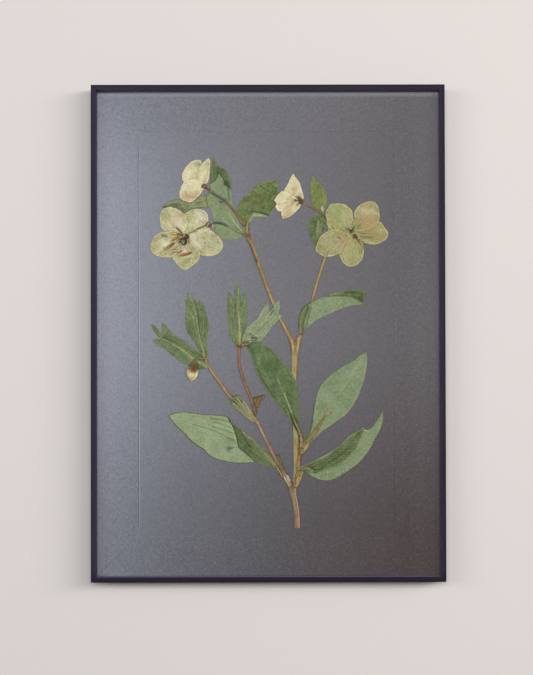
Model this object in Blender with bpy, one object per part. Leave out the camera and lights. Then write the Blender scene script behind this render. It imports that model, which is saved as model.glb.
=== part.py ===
"""Pressed flower frame: a slim metal frame, its glass and boards, and one pressed hellebore.

The origin is the middle of the frame. X runs to the right, Y to the back and Z up, in metres.
Outlines and routes are pairs of millimetres on the board, X then Z, from the same origin.
"""

import math
from dataclasses import dataclass

import bmesh
import bpy
from mathutils import Matrix, Vector

MM = 0.001
GAP = 0.3 * MM

# Frame
FRAME_WIDTH = 305 * MM
FRAME_HEIGHT = 428 * MM
FRAME_DEPTH = 22 * MM
FACE_WIDTH = 4.6 * MM
WALL = 1.6 * MM
EDGE_BREAK = 0.4 * MM
MITRE_GAP = 0.1 * MM

# Layers, from the front of the frame to its back
FRONT_Y = -FRAME_DEPTH / 2
REAR_Y = FRAME_DEPTH / 2
GLASS_THICK = 2 * MM
GLASS_Y = FRONT_Y + WALL + GAP
BOARD_DEPTH = 9 * MM
BOARD_Y = FRONT_Y + BOARD_DEPTH
BOARD_THICK = 2 * MM
BACKING_Y = BOARD_Y + BOARD_THICK + GAP
BACKING_THICK = 3 * MM
CLIP_Y = BACKING_Y + BACKING_THICK + GAP

# Plate mark pressed into the board
MARK_WIDTH = 218 * MM
MARK_HEIGHT = 350 * MM
MARK_CENTRE_X = -1.7 * MM
MARK_DEEP = 0.25 * MM

# Spring clips between the backing board and the rear flange
CLIP_LONG = 52 * MM
CLIP_WIDE = 12 * MM
CLIP_THICK = 0.6 * MM
CLIP_HEIGHT = 105 * MM
CLIP_STEPS = 10

# Sawtooth hanger
HANGER_LONG = 72 * MM
HANGER_TALL = 12 * MM
HANGER_THICK = 1 * MM
HANGER_STAND = 2.4 * MM
HANGER_FOOT = 12 * MM
HANGER_Z = 186 * MM
TOOTH_PITCH = 2.4 * MM
TOOTH_DEEP = 1.3 * MM
TOOTH_COUNT = 16

# The specimen: how far in front of the board each layer starts, and how thick it is
ON_BOARD = 0.3 * MM
SECOND = 0.9 * MM
OVER_STEM = 1.9 * MM
OVER_LEAF = 2.5 * MM
TOP = 3.1 * MM
BLADE_THICK = 0.35 * MM
RIB_RISE = 0.2 * MM
FLAP_RISE = 0.25 * MM
STEM_THICK = 1.4 * MM
STALK_THICK = 0.8 * MM
BUD_THICK = 2.6 * MM
TUBE_SIDES = 2

MATERIALS = {
    "frame_black": ((0.026, 0.024, 0.034), 0.42, 0.6),
    "glass_clear": ((0.92, 0.96, 0.95), 0.03, 0.0),
    "board_grey": ((0.17, 0.165, 0.18), 0.7, 0.0),
    "backing_brown": ((0.36, 0.25, 0.16), 0.8, 0.0),
    "spring_steel": ((0.55, 0.55, 0.56), 0.35, 0.9),
    "stem_tan": ((0.45, 0.27, 0.09), 0.6, 0.0),
    "stalk_brown": ((0.20, 0.09, 0.05), 0.6, 0.0),
    "leaf_green": ((0.12, 0.19, 0.07), 0.6, 0.0),
    "leaf_pale": ((0.27, 0.36, 0.20), 0.65, 0.0),
    "petal_cream": ((0.66, 0.59, 0.38), 0.6, 0.0),
    "petal_green": ((0.45, 0.47, 0.22), 0.6, 0.0),
}


@dataclass(frozen=True)
class Stem:
    """A pressed stem: its route, its half width at each point, and the layer it lies in."""

    name: str
    route: tuple
    half_widths: tuple
    level: float = ON_BOARD
    thick: float = STEM_THICK
    finish: str = "stem_tan"


@dataclass(frozen=True)
class Blade:
    """A pressed leaf, bract or petal: its outline, a folded flap or a midrib, and its layer."""

    name: str
    outline: tuple
    level: float
    finish: str
    rib: tuple = ()
    rib_half_width: float = 0.6
    flap: tuple = ()


STEMS = (
    Stem(
        "stem_trunk",
        ((24.5, -168.8), (24.4, -160), (23.8, -152), (22.3, -144), (20.9, -138), (20.2, -132.8)),
        (2.3, 2.3, 2.3, 2.2, 2.2, 2.5),
    ),
    Stem(
        "stem_left_lower",
        (
            (18.7, -132.1), (16.6, -127.5), (14.4, -122.5), (10.2, -114.8), (6.9, -109.3), (3.9, -104),
            (1, -98), (-2.6, -91.5), (-5.6, -85), (-8.4, -79), (-10.2, -76),
        ),
        (1.9, 2.1, 2.1, 1.6, 1.5, 1.5, 1.4, 1.4, 1.4, 1.4, 1.3),
    ),
    Stem(
        "stem_left_upper",
        (
            (-12.6, -75), (-20, -67.5), (-27, -60.5), (-33, -55), (-36.2, -51), (-40, -45.6),
            (-44, -40), (-48, -34.4), (-51, -29.8), (-53, -25.4),
        ),
        (1.1, 1.2, 1.3, 1.3, 1.3, 1.35, 1.3, 1.2, 1.2, 1.2),
    ),
    Stem(
        "stem_middle",
        (
            (-11.3, -70.6), (-12.6, -64), (-15, -57), (-18, -49), (-20.6, -42.5), (-23, -36),
            (-24.5, -30), (-25.2, -24), (-25.2, -18), (-24.8, -13),
        ),
        (0.8, 1.1, 1.1, 1.1, 1.1, 1.1, 1, 1, 1, 0.9),
    ),
    Stem(
        "stem_right",
        (
            (22, -132.2), (22.6, -126), (23.2, -120), (23.2, -110), (23.4, -100), (23.6, -90),
            (23.1, -78), (22.4, -60), (22.3, -45), (22.8, -30), (23.3, -18), (23.5, -9.6),
        ),
        (1.2, 1.4, 1.3, 1.2, 1.6, 1.9, 1.9, 2, 2.2, 2.5, 2.8, 3.1),
    ),
    Stem(
        "stem_side",
        ((25.6, -118.2), (26.2, -110), (27, -104.8), (27.2, -102.3)),
        (0.9, 1.4, 1.5, 1.5),
        finish="stalk_brown",
    ),
    Stem(
        "stem_top_left",
        (
            (20.9, -8), (17.8, -1.5), (13, 7.4), (9, 15.2), (4.4, 26.4), (-0.5, 38.5), (-4.6, 50),
            (-8.2, 59.5), (-11.3, 68.5), (-14, 76), (-17.2, 83.6),
        ),
        (1.7, 1.6, 1.5, 1.4, 1.5, 1.5, 1.5, 1.5, 1.6, 1.6, 1.7),
    ),
    Stem(
        "stem_top_right",
        (
            (25.9, -8.4), (26.8, -4), (28.6, 0.8), (31, 7), (33.6, 14), (36, 21), (38, 27), (40.2, 35.5),
            (42.6, 44.5), (46, 55), (49.7, 66), (52.3, 75), (53, 88), (52.3, 96), (51.6, 99.6),
        ),
        (1.7, 1.7, 1.5, 1.2, 1.1, 1.1, 1.1, 1.1, 1.1, 1.2, 1.2, 1.1, 1.1, 1, 0.9),
    ),
    Stem(
        "flower_one_stalk",
        (
            (-57.2, 128), (-55.2, 126.9), (-52, 125.1), (-49, 122.2), (-44, 119), (-38, 115.4),
            (-33.4, 110.6), (-28.8, 105), (-25, 98), (-21.6, 90),
        ),
        (1.2, 2, 0.9, 0.7, 0.6, 0.6, 0.6, 0.7, 0.8, 0.8),
        OVER_STEM, STALK_THICK, "stalk_brown",
    ),
    Stem(
        "flower_two_stalk",
        (
            (-68.4, 87.3), (-60, 91.1), (-55.4, 93.3), (-52.9, 94), (-50, 93.6), (-47.3, 93.4),
            (-40, 92.5), (-33, 90.8), (-26, 88.2), (-22.6, 86.4),
        ),
        (0.4, 0.5, 1.8, 2.4, 1, 0.9, 0.7, 0.6, 0.6, 0.6),
        OVER_STEM, STALK_THICK, "stalk_brown",
    ),
    Stem(
        "flower_three_stalk",
        ((26, 114.8), (28.6, 114.2), (30.8, 113.1), (35, 110.7), (40, 107.5), (45.4, 104.3)),
        (1.4, 2.6, 1.1, 0.8, 0.7, 0.7),
        OVER_STEM, STALK_THICK, "stalk_brown",
    ),
    Stem(
        "flower_four_heart",
        ((71.4, 89), (72.4, 87.6), (73.6, 85.6), (75.2, 83.4), (76.6, 82)),
        (0.7, 1.2, 0.8, 1.7, 0.9),
        TOP, STALK_THICK, "stalk_brown",
    ),
)

STAMENS = (
    ((-72.6, 84.7), (-76, 85.3), (-79, 86), (-84.4, 86.8)),
    ((-72.8, 83.9), (-76, 83.6), (-79.4, 82.8), (-84, 80.6)),
    ((-74.8, 80.8), (-78, 80.4), (-82, 78.6), (-86, 75.6), (-88.8, 73.6)),
    ((-71.8, 78.6), (-70.4, 74), (-69.4, 71), (-71.6, 68.8), (-76.4, 68)),
    ((-72.3, 85.2), (-74.4, 86.7), (-76.6, 88.6), (-79.6, 91.4)),
)
STAMEN_HALF_WIDTH = 0.5
STAMEN_STEP = 0.03 * MM
HEART_CENTRE = (-72, 84)
HEART_SIZE = (2.6, 2.2)
CARPEL_CENTRE = (-73.4, 79.8)
CARPEL_SIZE = (3.3, 3.8)

BUD_CENTRE = (-65.7, -34.9)
BUD_SIZE = (5.3, 6.6)
BUD_STALK = ((-54.8, -24.4), (-57.4, -22.9), (-60.4, -22.3), (-62.8, -23), (-64.4, -25), (-65.1, -29.6))
BUD_STALK_HALF_WIDTH = 0.7

LEAVES = (
    Blade(
        "leaf_middle",
        (
            (28.6, -93), (26.2, -90.5), (24, -85), (21, -79.5), (18, -74.5), (13, -68), (8, -61), (3, -55),
            (-2.5, -47.8), (-7, -41), (-10, -35), (-12.2, -27.5), (-14.4, -20), (-16.4, -13), (-15.4, -9.4),
            (-11, -8.2), (-5, -9.4), (0, -12.4), (5, -15.9), (10, -20.8), (15, -27), (19, -32.6),
            (21.8, -37.4), (24, -43), (25.2, -50), (26.6, -58), (27.2, -66), (26.8, -75), (27, -84),
            (29.2, -90.6),
        ),
        OVER_STEM, "leaf_green",
        rib=((28.2, -91.5), (24, -80), (20, -70), (16, -61), (12.6, -51), (9.4, -42), (5, -35.4), (0, -28)),
    ),
    Blade(
        "leaf_right",
        (
            (28.9, -102), (29.2, -97.5), (30.4, -92.8), (33.4, -87.6), (36.2, -81.5), (38, -74), (39.2, -66),
            (40.2, -60), (41.6, -55.6), (43.2, -50.4), (46, -45.4), (50, -40.6), (56, -35.8), (62, -31),
            (70, -26.6), (76, -22.8), (81, -18.8), (85.2, -17.2), (85.6, -23), (85.2, -29), (84, -36),
            (81.4, -45), (78.6, -53), (75, -60), (71, -66), (66, -71.6), (60, -75.6), (55, -79.4),
            (48, -84), (42, -89), (37.4, -94.4), (33, -99), (30.2, -101.6),
        ),
        ON_BOARD, "leaf_pale",
        rib=((30.8, -98.6), (36, -91), (42, -81), (46, -74.6), (50, -69), (55, -61), (62, -50), (72, -35)),
    ),
    Blade(
        "leaf_lower_right",
        (
            (22.8, -133.6), (25.2, -128), (26.4, -120.6), (23.4, -118.8), (27, -116), (31, -114.4),
            (36, -112), (46, -107.2), (56, -101.4), (62, -97), (70, -89.4), (79.2, -83.6), (81.2, -82),
            (85.4, -84.2), (88.4, -82.8), (93, -77.4), (99, -68.4), (99.2, -75), (97, -82.4), (92, -92),
            (86, -103), (80, -110.4), (72, -117), (64, -122.2), (57, -126), (50, -127.5), (44, -126.6),
            (38, -124), (31.6, -120.6), (29, -120.8), (26.6, -128), (24.4, -134),
        ),
        OVER_STEM, "leaf_pale",
        flap=(
            (25.8, -118.4), (31, -114.8), (36, -112.5), (46, -107.7), (56, -101.9), (62, -97.5), (70, -89.9),
            (79.4, -84.1), (77, -91), (72, -97.2), (66, -104), (60, -109.6), (52, -113.6), (46, -116.6),
            (40, -118.6), (31, -119.6),
        ),
    ),
    Blade(
        "leaf_lower_left",
        (
            (12, -126.4), (9.4, -122), (7.6, -118.6), (4, -115.8), (-2, -114.6), (-8, -113.2), (-11.4, -111.8),
            (-20, -112.5), (-30, -112.3), (-37, -111), (-45, -109), (-51, -106), (-55, -101.6), (-62, -97),
            (-68, -92), (-74, -85.6), (-80, -80), (-84, -75), (-86.6, -71.6), (-82, -69.5), (-75, -68.2),
            (-68, -68.6), (-58, -70), (-48, -70.6), (-40, -71.2), (-35.2, -72), (-31, -77), (-27, -81),
            (-20, -86.4), (-12, -92.6), (-5, -98.6), (-1.4, -101.4), (1.6, -105), (5, -110.4), (9, -117.4),
            (11.6, -121.6), (12.2, -124.4),
        ),
        ON_BOARD, "leaf_green",
        flap=(
            (-35.4, -72.6), (-34, -76), (-31, -81), (-28.5, -88), (-27, -95), (-26.2, -98.4), (-20, -104),
            (-15, -108.6), (-11.8, -111.4), (-20, -112), (-30, -111.8), (-37, -110.5), (-44.8, -108.5),
            (-50.7, -105.5), (-54.7, -101.1), (-61.7, -96.5), (-67.6, -91.5), (-73.6, -85.2), (-79.6, -79.6),
            (-83.6, -74.7), (-85.8, -71.7), (-82, -70), (-75, -68.7), (-68, -69.1), (-58, -70.5),
            (-48, -71.1), (-40, -71.7),
        ),
    ),
    Blade(
        "leaf_upper_right",
        (
            (29.4, -0.6), (33, 3.6), (38, 8), (43, 11.6), (50, 15), (58, 18), (66, 21), (74, 24), (82, 25.4),
            (83.4, 27), (83.2, 31), (84.6, 35.4), (82.4, 36.2), (78, 37), (70, 37.2), (62, 36), (55, 34),
            (49, 31.4), (44, 29.6), (40, 27.6), (36.4, 26.6), (32, 24), (28.6, 19.4), (27, 15), (26.3, 10),
            (26.6, 3),
        ),
        OVER_STEM, "leaf_pale",
        flap=(
            (83, 27.2), (82.8, 31), (84, 35.2), (78, 36.5), (70, 36.7), (62, 35.5), (55, 33.5), (50.4, 31.8),
            (57, 32.3), (65, 32.5), (70, 32), (75, 30), (79, 27.6), (81.8, 26.4),
        ),
    ),
    Blade(
        "leaf_top_left",
        (
            (-18.9, 86.6), (-19.6, 91), (-21, 95), (-24, 99), (-26.6, 104), (-27, 108), (-25, 112),
            (-21.5, 117), (-17, 121.6), (-12.5, 126), (-7, 130), (-2, 131.8), (3, 132.5), (8.7, 132),
            (8.8, 127), (8.4, 120), (7.2, 114), (5.2, 108), (2.4, 103.4), (0.6, 101.3), (-5, 101),
            (-11, 101.2), (-15.2, 100), (-16.8, 95), (-17.2, 90), (-17.4, 86.6),
        ),
        ON_BOARD, "leaf_green",
        rib=((-18.2, 89), (-18.6, 96), (-15, 103), (-9, 112), (-2, 122), (3, 128)),
    ),
)

BRACTS = (
    Blade(
        "bract_left",
        (
            (-54.2, -31.2), (-60, -31.4), (-66, -30), (-70, -28), (-74, -25.6), (-79, -22.2), (-83, -19.4),
            (-87, -15.6), (-90, -13), (-95, -11), (-98, -8.2), (-99.2, -5.6), (-95.6, -5.2), (-92.6, -5.8),
            (-94, -3.8), (-97, -0.4), (-99.4, 3), (-100, 6.8), (-98, 6.4), (-95, 2.6), (-92.2, -1),
            (-91.6, 1.2), (-92.2, 4.4), (-91.6, 7.6), (-89, 7), (-86, 3.6), (-83, 0.6), (-80, -2.4),
            (-75, -4.9), (-70, -8), (-65, -12.4), (-60, -16.9), (-57.2, -19.8), (-55.2, -23.4),
            (-54.4, -27.6),
        ),
        ON_BOARD, "leaf_green",
        rib=((-57, -25), (-66, -20), (-74, -15), (-82, -9), (-90, -4)),
    ),
    Blade(
        "bract_upper_left",
        (
            (-56.4, -21), (-58.4, -17.6), (-60.4, -14), (-63.4, -9), (-66.4, -4), (-69.4, 0), (-70.8, 5),
            (-71.6, 11), (-71.2, 17), (-70.8, 22), (-71.2, 26), (-71.6, 29.2), (-69.6, 29), (-69.8, 32),
            (-69.4, 35.2), (-67, 33), (-65, 30.6), (-63, 28), (-61.4, 25), (-60.6, 27.4), (-59.5, 29.2),
            (-57, 27), (-55, 22.6), (-53.5, 17), (-52.3, 11), (-51.3, 4), (-51.7, -1), (-53, -8),
            (-53, -14), (-52.6, -19), (-53.4, -21.4),
        ),
        SECOND, "leaf_green",
        rib=((-55.6, -19.6), (-59, -10), (-61, -2), (-62, 8), (-64, 18), (-66, 27)),
    ),
    Blade(
        "bract_centre",
        (
            (-25.6, -12.2), (-29.6, -8.6), (-33, -3), (-33.8, 3), (-34.2, 10), (-34.8, 17), (-35.1, 25),
            (-35, 31), (-34.3, 36.2), (-32.5, 34), (-31, 31), (-30.2, 28.4), (-29.2, 32), (-28.8, 36),
            (-27.6, 40.4), (-26.5, 41.6), (-25.3, 40), (-24.8, 35), (-24.6, 30), (-24.2, 27.4),
            (-23, 31.4), (-21, 34), (-19.4, 35.2), (-18.8, 28), (-18.2, 22), (-17.8, 15), (-18.5, 9),
            (-19.7, 4), (-21.2, -2), (-22.8, -8), (-23.8, -12),
        ),
        ON_BOARD, "leaf_green",
        rib=((-25, -10.8), (-26, 0), (-26.5, 12), (-27, 26)),
    ),
    Blade(
        "bract_pale",
        (
            (-21.6, -9.4), (-22.6, -5), (-21.2, 0), (-19, 4.4), (-15, 8), (-10.4, 11.4), (-7, 17),
            (-4, 22), (-0.8, 26), (0.6, 25), (0.9, 21), (0.6, 17.2), (2.6, 20), (5, 24), (8, 27),
            (10, 28), (10.2, 23), (9.4, 18), (8.4, 16.4), (11.2, 15.4), (10.4, 13), (8, 10), (4, 6),
            (0, 0.6), (-3, -3.4), (-6.4, -7), (-9, -8.4), (-14, -8), (-18.6, -9.6),
        ),
        OVER_LEAF, "leaf_pale",
        rib=((-19.4, -5), (-12, 2), (-6, 8), (1, 15), (7, 22.6)),
    ),
    Blade(
        "bract_sheath",
        (
            (-32.4, -54.4), (-31, -53.2), (-28, -53.2), (-25.5, -54.4), (-23, -57), (-20.5, -60),
            (-18, -63), (-16, -66), (-14, -68.6), (-12.2, -71), (-10.8, -73), (-10, -75), (-11.5, -76.6),
            (-14, -76.6), (-17, -75), (-20.5, -72), (-24, -69), (-28, -65.6), (-31, -62.6),
            (-32.7, -59.6), (-33, -57),
        ),
        OVER_STEM, "leaf_pale",
        rib=((-30.4, -56.4), (-26, -61), (-20, -67.4), (-13.4, -74)),
        rib_half_width=0.9,
    ),
    Blade(
        "bract_dried",
        (
            (-13.2, -55.6), (-10, -54.8), (-6, -53.8), (-2.8, -53), (-3, -55.4), (-4.5, -57), (-6, -59),
            (-7.5, -62), (-8.9, -66), (-9.8, -70.4), (-10.2, -67), (-11.2, -61.6), (-12.9, -57.2),
        ),
        ON_BOARD, "stalk_brown",
    ),
    Blade(
        "bract_sliver",
        (
            (5.8, -104.2), (8, -104.8), (9.8, -106.2), (10.8, -110), (12.6, -114.6), (14.8, -118.8),
            (16.8, -121.6), (15.6, -121), (12.9, -117.2), (10, -111.6), (7.2, -106.6),
        ),
        ON_BOARD, "leaf_green",
    ),
    Blade(
        "bract_blunt",
        (
            (-20.6, 85.8), (-22.4, 83.6), (-25, 82.2), (-30, 81.2), (-36, 80.6), (-41, 82.2), (-44.2, 86),
            (-46.4, 92), (-47.4, 97), (-48.4, 103), (-49.8, 108.4), (-52, 109.4), (-52.2, 115),
            (-52.4, 120.2), (-51, 123.6), (-50.2, 128.4), (-48, 130.2), (-45.8, 131.6), (-44, 134.4),
            (-42.4, 138), (-40.8, 135), (-39, 133), (-38.4, 128), (-35, 127), (-33, 125.4),
            (-31.8, 122), (-31.4, 118), (-30.8, 113), (-29.4, 107), (-27.6, 102), (-25, 95),
            (-22.4, 88.8),
        ),
        SECOND, "leaf_pale",
    ),
    Blade(
        "bract_behind",
        (
            (-49.8, 124.6), (-50, 128.4), (-50.2, 134), (-49.4, 140), (-48.4, 147), (-47, 153.6),
            (-45.5, 150), (-44.4, 146.4), (-40, 143.5), (-36.5, 141), (-34, 136), (-32.5, 131),
            (-31.5, 127), (-32.4, 122.6), (-38, 122), (-44, 123),
        ),
        ON_BOARD, "leaf_green",
        rib=((-43, 125), (-46, 134), (-46.8, 143), (-47, 150)),
    ),
    Blade(
        "bract_olive",
        (
            (-92, 109.4), (-88, 113), (-84, 115), (-79, 116.2), (-74, 115.8), (-70, 114.6), (-67, 113.4),
            (-64, 115.2), (-60, 118), (-56, 119.6), (-51.2, 120.6), (-50.8, 108.6), (-57, 108.6),
            (-62, 108), (-67, 107), (-70, 105), (-72, 103.4), (-74, 105.6), (-78, 108), (-84, 108.8),
            (-88, 108.4),
        ),
        ON_BOARD, "leaf_green",
        rib=((-53, 114), (-62, 112), (-72, 110.6), (-84, 111.4)),
    ),
    Blade(
        "bract_upright",
        (
            (47.8, 104.2), (49.2, 106.6), (50.6, 110.4), (51.1, 115), (50.6, 120.4), (48.6, 125),
            (45, 129.2), (41, 133.4), (38.8, 136.8), (38, 133), (37, 128), (37, 122), (37.8, 116),
            (39.2, 111), (42, 107.6), (45, 105.4),
        ),
        ON_BOARD, "leaf_green",
        rib=((47, 105.8), (45.5, 112), (43.6, 117), (41.6, 123), (40, 130)),
    ),
    Blade(
        "bract_spotted",
        (
            (49.8, 101.2), (46, 102.5), (41, 101.6), (37, 99), (35.2, 95), (34.8, 90), (35.6, 85.5),
            (37.6, 81), (40, 77), (42, 74.4), (43.4, 79), (45.4, 84), (48, 88), (50, 92), (50.6, 97),
        ),
        ON_BOARD, "leaf_green",
        rib=((47.6, 100.4), (43.6, 95), (41.6, 88), (41.4, 80)),
    ),
)

PETALS = (
    Blade(
        "flower_one_petal_1",
        (
            (-57.4, 149.6), (-62, 150.2), (-66, 148.6), (-70, 145), (-72.8, 141), (-74.4, 137),
            (-74, 133.4), (-72, 130), (-66, 128.6), (-59, 128.4), (-57.6, 136), (-57, 144),
        ),
        ON_BOARD, "petal_cream",
    ),
    Blade(
        "flower_one_petal_2",
        (
            (-55.8, 129.6), (-53, 129.8), (-51.4, 133), (-50.8, 138), (-50.2, 145), (-50, 149.6),
            (-51.6, 152.2), (-54, 150), (-57, 146.6), (-59.2, 143.4), (-60.2, 140), (-60.6, 136),
            (-59.8, 133.2),
        ),
        SECOND, "petal_cream",
    ),
    Blade(
        "flower_one_petal_3",
        (
            (-56, 128.6), (-59.6, 132.6), (-63, 133.2), (-68, 132.6), (-72.6, 131), (-75, 127),
            (-76.5, 122), (-76.2, 118), (-74.6, 116), (-71, 114.4), (-67, 113.3), (-64, 115.2),
            (-60, 119), (-57, 123), (-55.4, 126.2),
        ),
        SECOND, "petal_cream",
    ),
    Blade(
        "flower_two_petal_1",
        (
            (-72.6, 87.8), (-77, 88.4), (-82, 89), (-90, 88.8), (-92.3, 92), (-93.4, 97), (-93.4, 102),
            (-92, 106), (-89.5, 108.2), (-85, 109.3), (-81, 108.5), (-77, 106.5), (-73.5, 104),
            (-71.4, 102.4), (-70, 99.6), (-69.6, 95), (-70.6, 90.6),
        ),
        OVER_STEM, "petal_green",
    ),
    Blade(
        "flower_two_petal_2",
        (
            (-70.6, 87.6), (-72.4, 95), (-73, 101), (-71.2, 104), (-69, 105.6), (-65, 107.2),
            (-60, 107.6), (-56, 106.6), (-53.6, 104.6), (-52, 101.5), (-51.8, 98.4), (-52.6, 95.6),
            (-56, 93.6), (-62, 91), (-67, 88.8),
        ),
        SECOND, "petal_green",
    ),
    Blade(
        "flower_two_petal_3",
        (
            (-69.6, 85.2), (-64, 88.6), (-58, 91.4), (-54, 92.8), (-51, 93), (-50.6, 89.4), (-47.5, 87.6),
            (-43.5, 84.5), (-40.5, 80.5), (-39, 76.5), (-39.8, 73), (-43, 69.2), (-48, 67), (-53, 66.8),
            (-58.5, 68), (-62, 71), (-66, 76), (-69, 81),
        ),
        ON_BOARD, "petal_green",
    ),
    Blade(
        "flower_two_petal_4",
        (
            (-71, 83), (-75, 79.4), (-79, 73), (-83, 66.4), (-81.5, 63), (-79, 60), (-76, 57),
            (-73, 55), (-71, 54.8), (-68, 56.5), (-64.5, 59), (-61.5, 61.5), (-59.4, 64.6),
            (-58.6, 68), (-60, 71.6), (-64, 76), (-68, 81),
        ),
        SECOND, "petal_green",
    ),
    Blade(
        "flower_two_petal_5",
        (
            (-73.8, 84.6), (-78, 86.6), (-83, 88.2), (-90, 87.8), (-95, 86.2), (-98.6, 83.2),
            (-100.6, 79), (-101.8, 74.5), (-101, 71), (-98, 68), (-94, 66.5), (-89, 65.8), (-84, 65.8),
            (-81, 67.4), (-78, 70), (-75.2, 74), (-73.6, 79),
        ),
        OVER_STEM, "petal_green",
    ),
    Blade(
        "flower_three_petal_1",
        (
            (22, 138.2), (24, 135), (27, 131), (28.5, 127), (30, 122), (31.2, 117), (29.6, 115),
            (25, 115.4), (18, 117), (12.8, 120.4), (15, 125.4), (17, 128.5), (18.5, 132), (20, 135.5),
        ),
        ON_BOARD, "petal_cream",
    ),
    Blade(
        "flower_three_petal_2",
        (
            (27.6, 114.6), (22, 118.6), (16, 122.4), (12, 123.2), (9.5, 120.6), (7, 117.6),
            (5.4, 114.6), (8, 112), (6.4, 109.4), (9, 106), (11.6, 105.6), (14.4, 109), (20, 112),
        ),
        SECOND, "petal_cream",
    ),
    Blade(
        "flower_three_petal_3",
        (
            (28.6, 113.4), (24, 114), (17, 112.6), (13.6, 109.4), (11.6, 105), (11.8, 101.6),
            (12.4, 98.8), (17, 99.8), (21, 102.4), (25, 106), (28, 109.6),
        ),
        ON_BOARD, "petal_cream",
    ),
    Blade(
        "flower_four_petal_1",
        (
            (71.4, 88.6), (74, 92), (74.3, 97), (73.8, 101), (73, 105), (70, 109), (66, 111.5),
            (60, 112.1), (54, 111), (52, 108), (50, 104.5), (50.8, 99), (51, 95), (53, 91),
            (58, 87), (66, 85.6), (70, 86.2),
        ),
        OVER_STEM, "petal_green",
    ),
    Blade(
        "flower_four_petal_2",
        (
            (73.6, 90), (75, 88.4), (80, 88.2), (88, 90), (93, 92.2), (96, 96), (96.8, 100),
            (96.5, 105), (95, 110.5), (92.5, 113.3), (88, 113.9), (82, 112), (78, 109.4), (75.2, 105),
            (74.8, 98),
        ),
        OVER_LEAF, "petal_green",
    ),
    Blade(
        "flower_four_petal_3",
        (
            (75.6, 86.6), (78, 91.4), (86, 94.6), (94, 97), (96.6, 96.4), (99, 94.5), (102, 90),
            (104.2, 86.5), (104, 84), (102, 81), (98, 78.5), (93, 76.5), (88, 77), (83, 78.6),
            (79.6, 81), (77.4, 83.8),
        ),
        OVER_STEM, "petal_green",
    ),
    Blade(
        "flower_four_petal_4",
        (
            (74.4, 84.6), (79, 81), (82.4, 77), (83, 72), (82.5, 67), (81, 63), (78, 59.6), (74, 57.8),
            (70, 57.8), (66, 60), (63.4, 64), (61.6, 67.6), (61.8, 73), (65, 79), (70, 83.6),
        ),
        OVER_STEM, "petal_green",
    ),
    Blade(
        "flower_four_petal_5",
        (
            (71.4, 84.8), (67, 87), (62, 88.8), (58, 89.5), (53, 88.5), (49, 86.5), (46, 84),
            (43.5, 80), (42, 76), (41.4, 72), (44, 69), (48, 66.5), (54, 66.4), (60, 68), (64, 71),
            (66, 76), (69, 81),
        ),
        OVER_LEAF, "petal_green",
    ),
)


def clear_scene():
    """Remove every object of the open scene."""
    for found in list(bpy.data.objects):
        bpy.data.objects.remove(found, do_unlink=True)


def new_collection(name):
    """A collection linked to the scene."""
    made = bpy.data.collections.new(name)
    bpy.context.scene.collection.children.link(made)
    return made


def new_material(name):
    """A Principled material from the table of finishes."""
    colour, roughness, metallic = MATERIALS[name]
    made = bpy.data.materials.new(name)
    made.use_nodes = True
    shader = made.node_tree.nodes["Principled BSDF"]
    shader.inputs["Base Color"].default_value = (*colour, 1)
    shader.inputs["Roughness"].default_value = roughness
    shader.inputs["Metallic"].default_value = metallic
    return made


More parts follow.
